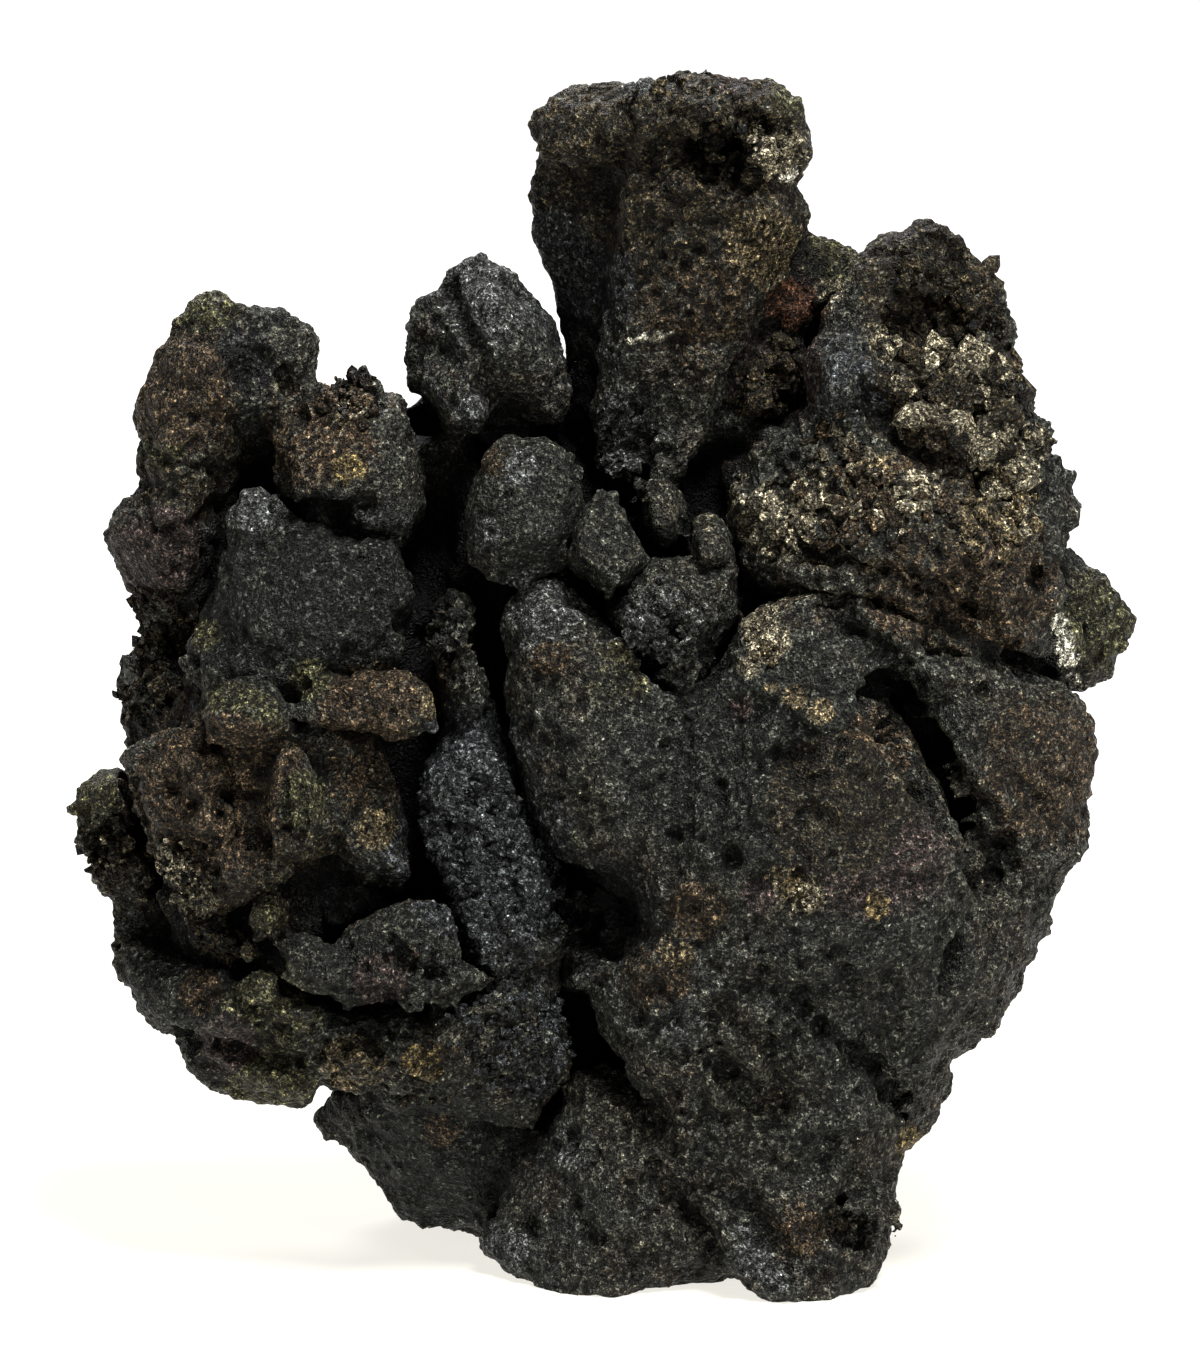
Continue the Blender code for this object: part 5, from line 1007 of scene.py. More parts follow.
# %% [markdown]
# ## The small crystals
# A plate, a rounded dome, a thin flake, a ribbed fin and a few more small bodies sit on the left and middle
# crystals. They are only two to five millimetres across, so the big groups' remesh would melt them together.
# They are grown as a group of their own from finer cells, and just overlap what they sit on.

# %% Small crystals
SMALL_CRYSTALS = (
    (4, -4, (
        (-0.1, 33.45), (0.4, 33.35), (0.9, 32.7), (1.6, 31.5), (2.1, 30.6), (0.9, 29.2), (0.3, 28.9),
        (-0.5, 29.7), (-1.4, 30.3), (-1.1, 32)), (
        (-0.4, 32.7, 5.9), (0.3, 32.7, 5.8), (1.6, 30.7, 6.4), (0.7, 29.6, 7), (-0.9, 30.5, 6.9),
        (-0.7, 31.8, 6.6))),
    (-1, -5.5, (
        (1.5, 33.4), (1.9, 34.3), (3, 34.2), (3.6, 33.2), (3.5, 31.7), (2.7, 30.8), (2, 31.2),
        (1.5, 32.2)), (
        (2, 33.6, 3.6), (2.9, 33.4, 3.8), (2.9, 32, 4.6), (2.2, 32, 4.4))),
    (0, -4, (
        (3.5, 31.2), (3.9, 32.3), (4.8, 32.5), (5.5, 31.6), (5.6, 30.2), (4.6, 29.7), (3.7, 30.2)), (
        (4.1, 31.6, 4.4), (4.8, 31.6, 4.4), (5, 30.8, 5), (4.2, 30.6, 5.2))),
    (6, 0, (
        (-16.3, 23), (-16.4, 24.4), (-16, 25.3), (-15.2, 25.85), (-14.2, 25.95), (-13.3, 25.5),
        (-12.75, 24.6), (-12.7, 23.7), (-13.4, 23.2), (-14.6, 22.9)), (
        (-15.6, 24.6, 7.6), (-14.6, 25.1, 7.5), (-13.6, 24.7, 7.5), (-13.5, 23.9, 7.8), (-15.4, 23.7, 8.2),
        (-14.4, 23.8, 8.4))),
    (4, 0, (
        (-12.75, 25.4), (-12.5, 26.1), (-11.9, 26.7), (-11, 26.5), (-10.2, 25.9), (-10, 24.6),
        (-12.3, 24.2)), (
        (-11.9, 25.9, 6.8), (-11.2, 25.4, 7.2), (-12.2, 24.9, 7.2))),
    (6.4, 4, (
        (-12.7, 24.9), (-11, 25.3), (-9.8, 26), (-8.5, 26.5), (-7.6, 26.4), (-6.9, 25.3), (-6.5, 23.6),
        (-8.5, 23.2), (-11.5, 23.6), (-12.6, 24)), (
        (-11.8, 24.5, 7), (-8.6, 26, 7.4), (-7.6, 26, 7.4), (-6.9, 24.2, 7.8), (-8.4, 23.7, 8),
        (-11.4, 24, 7.6))),
    (6, 1, (
        (-13.8, 19), (-13.6, 20.8), (-13.4, 21.8), (-12.9, 22.3), (-12.8, 20.4), (-12.9, 18.3),
        (-13.3, 18.3)), (
        (-13.35, 20.6, 8.9), (-13.15, 21.6, 8.5), (-13.25, 19.2, 9.3))),
    (6, 1, (
        (-13, 18.3), (-12.9, 20.4), (-12.9, 22.3), (-12.4, 22.6), (-12.1, 22.5), (-12.2, 20.4),
        (-12.3, 18.2)), (
        (-12.55, 21.9, 8.3), (-12.55, 20.4, 8.7), (-12.6, 18.9, 9.1))),
    (5, 1, (
        (-12.3, 18.2), (-12.2, 20.4), (-12.1, 22.5), (-11.7, 22.1), (-11.35, 21), (-11.25, 19.8),
        (-11.5, 18.7)), (
        (-11.9, 21.6, 8), (-11.8, 20.2, 8.3), (-11.9, 19, 8.6))),
    (6, 1, (
        (-13.2, 13.7), (-13.2, 14.9), (-12.4, 15.2), (-11.4, 14.9), (-10.2, 14.6), (-9.8, 12.6),
        (-10.2, 11.9), (-11.3, 12.4), (-12.2, 13.1)), (
        (-12.4, 14.4, 7.4), (-11, 14.4, 7.6), (-10.4, 13, 8.2), (-12.2, 13.8, 7.7))),
    (5.6, 1, (
        (-10.9, 15.1), (-10.4, 16), (-9.3, 16.5), (-7.6, 16.9), (-6.5, 16.8), (-6, 15.8), (-6.3, 14.9),
        (-5.8, 14), (-6.6, 12.5), (-8.7, 12.6), (-10.4, 12.2), (-11.2, 13.2)), (
        (-10, 15.4, 7.4), (-9.2, 15.9, 7.2), (-7.4, 16.3, 7), (-6.7, 15.8, 7), (-6.8, 14.2, 7.6),
        (-7.2, 13.2, 8.2), (-9.2, 13.3, 8.5), (-10.6, 13.2, 8.2), (-9, 14.4, 8.6))),
    (5.6, 1, (
        (-7.4, 13.9), (-6, 14.1), (-5.2, 13.9), (-4.2, 13.4), (-5.3, 12.7), (-6.7, 12.1), (-7.6, 12.4)), (
        (-6.4, 13.4, 7.8), (-5.2, 13.4, 7.2), (-6.6, 12.8, 7.9))),
    (3, -3, (
        (-14.6, 15.8), (-14.2, 16.7), (-13.5, 17), (-12.8, 16.4), (-12.7, 15.5), (-13.5, 14.9),
        (-14.4, 15.1)), (
        (-13.9, 16.2, 7.2), (-13.3, 16, 7.2), (-13.6, 15.5, 7.4))),
)
small_crystals = grow("small_crystals", SMALL_CRYSTALS, cell=0.115, blunt=1, reach=0.0, form=0.15)

# %% [markdown]
# ## The granular rib
# Between the left crystals and the broad one climbs a slaty rib, thin at its top and wide at its foot, with
# a skin like coarse sugar. A few long lumps give its bends. The sugar is a matter of crumbs and fine relief.

# %% Granular rib
GRANULAR_RIB = (
    (0.5, -5, (
        (-7.3, 27.6), (-7, 28.8), (-6.2, 29.6), (-5.3, 29.3), (-4.9, 28), (-4.6, 26.6), (-4.4, 24.6),
        (-6.6, 24.2), (-6.8, 26)), (
        (-6.4, 28.6, 4.4), (-5.6, 28.2, 4.8), (-5.3, 26.4, 5.2), (-5.3, 24.8, 5.2), (-6.2, 25.6, 4.8))),
    (0, -4, (
        (-5.8, 25.6), (-4.9, 25.6), (-4.3, 24), (-3.9, 22), (-3.7, 20.4), (-3.4, 18.8), (-6.6, 18.8),
        (-7.4, 19.7), (-7.6, 20.6), (-7.3, 21.6), (-6.8, 23.3), (-6.2, 24.5)), (
        (-5.4, 25, 2.6), (-5, 23.6, 4), (-4.7, 21.4, 4.6), (-4.5, 19.4, 5.2), (-6.2, 19.4, 4.8),
        (-6.8, 20.6, 4.2), (-6.4, 22.4, 4))),
    (1, -3, (
        (-6.9, 19), (-6.2, 19.4), (-5, 20), (-3.4, 19.4), (-2.6, 18.2), (-2.2, 17), (-2, 15), (-1.8, 13.6),
        (-3, 12.9), (-4.5, 13.6), (-5.4, 14.5), (-5.8, 16.2), (-6.6, 18)), (
        (-6.2, 18.6, 4.8), (-5, 19.2, 5.2), (-3.6, 18.4, 5.6), (-3.2, 16.4, 6.4), (-3, 14.4, 6.6),
        (-4.4, 14.6, 6.8), (-5, 16.4, 6.2))),
    (1, -4, (
        (-4.8, 14), (-1.9, 14), (-1.7, 11.6), (-1.1, 9.9), (-1.5, 8.8), (-2.5, 7.8), (-5, 8.4), (-6, 12)), (
        (-4.2, 13, 6.6), (-2.5, 12.8, 6.4), (-2.2, 11, 6.4), (-2.2, 9.4, 5.8), (-3.6, 8.8, 5.8),
        (-4.8, 11, 6.6))),
)
RIB_FILL = (
    (1, -4, (
        (-6.2, 24.8), (-4, 24.4), (-3.2, 22.4), (-2.6, 19.6), (-1.6, 17.6), (-1, 15), (-1.6, 13.2),
        (-4.4, 12.8), (-5.6, 14.4), (-6.2, 16.6), (-7.2, 18.8), (-7.7, 20.6), (-7.2, 22.4)), (
        (-5.6, 24, 4), (-4.2, 22.8, 5), (-3.5, 20.2, 5.8), (-2.4, 17.8, 6.4), (-2, 14.4, 6.8),
        (-4.6, 13.6, 6.9), (-5.4, 16, 6.6), (-6.6, 19, 5.6), (-6.9, 21.2, 5))),
    (1, -4, (
        (-8.4, 12.2), (-4.4, 13.6), (-1.8, 13.2), (-1.2, 10.4), (-1.9, 8.2), (-2.6, 6.6), (-6, 7.4),
        (-9.4, 8.4)), (
        (-7, 11.4, 6.4), (-4.2, 12.8, 7), (-2.4, 12.4, 6.6), (-2, 10.4, 6.3), (-2.8, 8, 5.4),
        (-5.4, 8.4, 5.2), (-8, 9, 5))),
)
granular_rib = grow("granular_rib", GRANULAR_RIB + RIB_FILL, cell=0.13, blunt=2, reach=0.2)

# %% [markdown]
# ## The foot
# The cluster was broken off its rock here. Its foot is a few broad lumps with folds between them that flow
# down to one flat place, on which the whole specimen stands.

# %% Foot
FOOT = (
    (-4, -8.6, (
        (-11.5, 8.4), (-11.2, 7), (-10.7, 5.9), (-10.2, 5.3), (-9.4, 4.5), (-8.9, 3.6), (-8.5, 2.9),
        (-7.6, 2.55), (-6.5, 2.4), (-5.4, 2.2), (-5.1, 2.9), (-4, 4), (-2.6, 6), (-2.2, 8.6), (-5, 9.6),
        (-9, 9.8)), (
        (-10.2, 7.4, 0.4), (-8.2, 6.2, 2), (-6, 5.6, 2.6), (-4.4, 5.4, 2.4), (-3.4, 6.8, 2.6),
        (-3.4, 8.4, 3.4), (-7, 8.4, 3.4), (-7.4, 4, 0.4), (-5.8, 3.8, 0.8))),
    (-3, -4.2, (
        (-11, 8.2), (-12.3, 7.3), (-12, 6.7), (-11.8, 6.2), (-11.4, 6.1), (-10.8, 6.9), (-10.2, 7.6)), (
        (-11.3, 7.4, -1.8), (-11.2, 7, -1.8))),
    (0, -6, (
        (-0.9, 9.7), (0.2, 10), (1.2, 9.3), (2.6, 8.2), (4.6, 8), (5.6, 5.4), (5.6, 2), (5.2, 0.6),
        (3.4, 0.9), (1, -1.2), (-2, -1.2), (-3.3, 1.1), (-4.2, 1.6), (-5.1, 2.1), (-4.8, 3), (-3.5, 4.6),
        (-2.4, 6.2), (-1.7, 7.8)), (
        (-0.4, 8.6, 5.2), (0.4, 8.8, 5.4), (-1.4, 6.2, 5.6), (-2.2, 4.4, 5.4), (1, 6.2, 7.2), (0.6, 4, 7.8),
        (1.6, 2.6, 7.8), (-0.6, 2.4, 7.4), (-2.8, 2.2, 5.4), (3.6, 5.4, 7.4), (4.6, 2.4, 6.8),
        (3.4, 1.3, 6.6), (-2.4, 0.6, 6.2), (-1.2, 0.1, 7.2), (0.4, 0.1, 7.6), (1.8, 0.45, 7.2))),
    (-2, -7, (
        (-5.2, 3.6), (-5.3, 2.3), (-4.9, 1.6), (-3.6, 1.45), (-2.8, 0.9), (0, 1.2), (0, 4)), (
        (-4.4, 2.8, 1), (-3, 2, 1.6), (-1, 2, 2))),
    (1, -6, (
        (1.8, 11), (7, 12), (12.2, 10.4), (12.8, 6.4), (12.2, 4), (9, 2), (5.4, 2), (2.4, 2.6)), (
        (2.8, 10, 7.9), (5, 11.4, 9.2), (9, 11, 9.1), (11.8, 9.6, 7.1), (11.6, 6.8, 6.7), (11, 4.8, 7),
        (6.4, 4.4, 7.9), (4.4, 4, 7.5), (2.9, 7.4, 7.8))),
    (0, -5.5, (
        (5.2, 4.4), (5.8, 6), (8, 7), (11.8, 6.4), (12.6, 5.2), (12.2, 4.4), (12, 3.3), (12.05, 2.4),
        (12.05, 1.6), (11.6, 0.9), (10, -0.8), (6.4, -0.8), (5.5, 1.6)), (
        (5.9, 3.4, 7.4), (6.4, 1, 7.8), (7, 0.05, 7.9), (8.2, 0, 8.3), (9.6, 0.2, 7.9), (11, 0.7, 7.2),
        (11.6, 1.5, 6.6), (11.4, 2.4, 6.6), (8, 3, 8.6), (9.4, 5, 8), (11.4, 5.4, 6.6), (6.6, 5.4, 7.8))),
)
FOOT_FILL = (
    (0, -6, (
        (3.6, 1), (4.2, 5), (7.4, 5.4), (7.6, 0.6), (6.2, 0.9), (5, 0.9)), (
        (4.6, 3.6, 7.6), (6.2, 4.6, 7.9), (6.4, 1.6, 7.7), (4.8, 1.4, 7.2))),
    (0, -4, (
        (-11, 9.4), (-4.2, 9.6), (-3.6, 7.4), (-9.6, 7.2)), (
        (-9.4, 8.8, 4.2), (-5.2, 9, 5), (-4.6, 7.8, 3.6), (-8.6, 7.8, 3.2))),
)
foot = grow("foot", FOOT + FOOT_FILL, cell=0.15, blunt=3, reach=0.3)

# %% [markdown]
# ## The heart and the crystals of the back
# The clefts of the front must end on something dark and solid, and a specimen has a back too. Broad lumps
# make the bedding and the heart, and thirty-five blunt prisms cover the back. A prism is one row of numbers:
# its middle across and up, its radius, where its outline and its back lie, its number of sides and its turn.
# The back is seen from further off, so a coarser cell is enough for it.

# %% The heart and the crystals of the back
BEDDING = (
    (-1, -6, (
        (-18.6, 16), (-19, 22), (-17, 25.4), (-15.6, 31), (-9.4, 31), (-8.4, 26), (-9.6, 17), (-10.6, 11),
        (-17, 11)), (
        (-17.6, 17, 3.2), (-17.8, 22, 3.2), (-14.6, 30, 3.6), (-10.2, 30, 3.6), (-9.6, 24, 4.2),
        (-10.6, 17.6, 4.4), (-12, 12.4, 4.6), (-16.6, 12.4, 3.4))),
    (1, -4, (
        (-16.4, 24.4), (-12, 24.6), (-9.2, 23.6), (-9, 20.4), (-10, 18), (-12.4, 17.6), (-16.4, 17.2)), (
        (-15.4, 23.6, 6.4), (-12.2, 23.8, 6), (-10, 23.2, 5.8), (-9.8, 20.6, 5.8), (-12, 18.6, 6.6),
        (-15.2, 18.2, 6.8))),
    (-2, -6, (
        (6.2, 31), (6.4, 35.4), (9.4, 38.6), (12.4, 40), (16.6, 39.2), (18.6, 35), (19, 32), (17.8, 28),
        (14.4, 28.6)), (
        (7.4, 34, 3), (10.4, 38, 2.2), (12.6, 39, 1.8), (16, 37.6, 1.6), (17.8, 33.4, 2.6), (16.6, 29, 4),
        (13.4, 29.8, 4.8), (8, 31.4, 4), (12, 34.6, 3.8))),
    (0, -4, (
        (9, 29.6), (13.4, 31), (17, 28.6), (16.8, 25.6), (13, 26), (11, 28)), (
        (11.2, 29.4, 5.2), (13.6, 29.6, 5.4), (15.8, 28, 5), (15.6, 26.4, 5), (13.4, 27, 5.2))),
    (0, -4, (
        (-1, 31), (2, 33), (5, 31), (5.4, 27), (3, 25.6), (0.4, 28)), (
        (0.4, 30, 2.4), (2.4, 31, 2), (4.4, 29.4, 1.8), (3.4, 27, 2.8))),
)
HEART = (
    (-4, -9, (
        (-16.6, 24), (-12, 30), (-7.6, 32.4), (-3, 34), (3, 35.4), (9, 36.6), (15.6, 34), (18.6, 27),
        (18.4, 19), (15, 12), (11.4, 6.8), (5, 4.4), (-2, 4.6), (-8, 8.2), (-14, 10.8), (-17.4, 14.6),
        (-18, 19.6)), (
        (-13, 24, -0.6), (-2, 31, -0.6), (12, 31, -0.6), (15, 20, -0.6), (8, 9, 0.4), (-4, 9, 0),
        (-13, 14, -0.4))),
    (-4, -7.5, (
        (-17.6, 36), (-14, 38), (-8.6, 36), (-7.2, 32), (-8, 28), (-13, 25.4), (-17, 28)), (
        (-14, 35, -2), (-12, 30, -1.4))),
    (-3.8, -7, (
        (-9, 36.8), (-7.6, 37.6), (-6, 38.4), (-1, 39), (1, 36), (0, 31), (-9, 30)), (
        (-6.6, 36, -2.6), (-2, 36.6, -2.6))),
    (-4.6, -7.5, (
        (2.6, 35), (4.6, 41), (8, 43.2), (10.4, 43), (12.6, 40), (11, 34)), (
        (5.4, 38, -3.6), (9.4, 40, -3.4))),
)
BACK_CRYSTALS = (
    (2.9, 45, 4.6, -5, -9.2, 6, 10), (3.6, 38.6, 4.4, -6, -10.6, 6, 25), (-4.2, 38.4, 3.2, -4, -7.6, 6, 0),
    (12.6, 38.8, 4.4, -5, -9.4, 6, 15), (9.4, 33, 5.8, -7, -12.2, 6, 40),
    (16.2, 31.6, 3.8, -6, -9.8, 4, 12), (-15.2, 37.2, 3.6, -4, -7.4, 6, 20),
    (-17, 31.6, 3.2, -4, -7.6, 4, 50), (-10.4, 34, 4, -5, -9.4, 6, 5), (-2.4, 31, 5.4, -7, -11.8, 6, 15),
    (-12, 26.6, 5.2, -6.5, -11.2, 6, 35), (-16.6, 20.4, 4, -5, -8.8, 8, 0),
    (15.6, 22.6, 5, -6, -10.8, 6, 20), (4.6, 24.4, 6.8, -7.5, -13.2, 8, 30),
    (-6, 20.4, 5.8, -7, -12.4, 6, 10), (-13.4, 14.4, 4.4, -5, -9.2, 6, 45),
    (12.2, 14.6, 5, -6, -10.4, 6, 0), (4.4, 14.2, 5.6, -7, -12, 6, 50), (-4.4, 12, 4.8, -6.5, -10.8, 4, 20),
    (8.4, 8.6, 4.6, -5.5, -9.6, 6, 10), (1.6, 6.6, 4.8, -5.5, -9.8, 6, 25),
    (6.6, 3.6, 2.8, -4.5, -8.2, 6, 5), (6, 30, 2.6, -8, -12, 6, 30), (-7.4, 27, 2.8, -7, -11, 6, 0),
    (10.6, 26.8, 2.8, -7, -11.6, 4, 20), (-1, 15.6, 2.4, -8, -11.6, 6, 15),
    (10, 19.6, 2.4, -8, -11.4, 6, 40), (-10.8, 20.4, 2.4, -6, -10.2, 4, 30), (1, 20, 2.4, -8, -12, 6, 0),
    (-6.6, 34.6, 2, -5, -8.4, 6, 10), (14, 34.8, 2.4, -6, -9.6, 6, 25), (-9.8, 10.6, 2.2, -5, -8.6, 6, 40),
    (18.4, 27.4, 2.4, -5, -9, 6, 10), (-18.4, 25.6, 2.2, -4, -7.6, 6, 30), (6.4, 42, 2.2, -5, -8.8, 4, 10),
)
back_lumps = BEDDING + HEART + tuple(back_crystal_places(*crystal) for crystal in BACK_CRYSTALS)
back_crystals = grow("back_crystals", back_lumps, cell=0.28, blunt=2, reach=0.15)

# %% [markdown]
# ## Cut level and taken to metres
# The foot is cut flat where it stands, by a bisect that fills the cut, and whatever else comes as low is cut
# a hair above the floor, so that only the foot touches it. Then each piece goes from millimetres to metres in
# its own mesh, so that its object stays at the origin, unturned and unscaled.

# %% Cut and scale
CLUSTER = (
    top_column, middle_crystals, main_crystal, right_side, right_shoulder, left_arm, left_crystals,
    lower_left, small_crystals, granular_rib, foot, back_crystals,
)
LOW, HAIR = 0.05, 0.04
for piece in CLUSTER:
    if points_of(piece)[:, 2].min() < LOW:
        height = 0.0 if piece is foot else HAIR
        edit_all(piece, lambda: bpy.ops.mesh.bisect(
            plane_co=(0, 0, height), plane_no=(0, 0, 1), clear_inner=True, use_fill=True))
    move_points(piece, points_of(piece) * MM)
print("pieces", len(CLUSTER))

# %% [markdown]
# ## Stains and painted shade
# The tarnish isn't one colour. Silvery rubs, olive and brown films and tan and white carbonate crusts each
# cover a patch of a few millimetres. Other patches are painted shade: dark greys and a dark brown on faces
# that the lamps light too brightly, and black in holes and gaps. A patch is one row here: place, radius,
# colour and strength. Each point of the skin stores the colour of its strongest patch, and the material
# breaks the edges of the patches up with noise, which an even disk of paint would lack.
#
# The clefts get painted shade. How far a point lies behind the skin round it is stored too, from an
# evened-out map of how far forward the cluster reaches at each place of its front, and the material darkens
# each point the deeper it lies.

# %% Stains and painted shade
WHITE, PALE, TAN = (0.22, 0.21, 0.17), (0.068, 0.059, 0.039), (0.036, 0.028, 0.015)
OLIVE, OCHRE, RUST = (0.0173, 0.0164, 0.0079), (0.0384, 0.0282, 0.0115), (0.0330, 0.0150, 0.0078)
# The last colour on the next line, black, is painted shade for holes, gaps and shaded faces.
BROWN, PURPLE, PAINTED_BLACK_SHADE = (0.0151, 0.0105, 0.0059), (0.0125, 0.0090, 0.0077), (0.0026, 0.0026, 0.0026)
SILVER, SLATE = (0.0211, 0.0220, 0.0205), (0.0128, 0.0138, 0.0143)
# Painted shade: the first colour on the next line and both on the line after darken faces that the lamps
# light too brightly from above. The umber is a brown film.
PAINTED_SHADE, UMBER = (0.0059, 0.0063, 0.0049), (0.0100, 0.0077, 0.0041)
PAINTED_BROWN_SHADE, PAINTED_DEEP_SHADE = (0.0069, 0.0056, 0.0033), (0.0041, 0.0042, 0.0036)
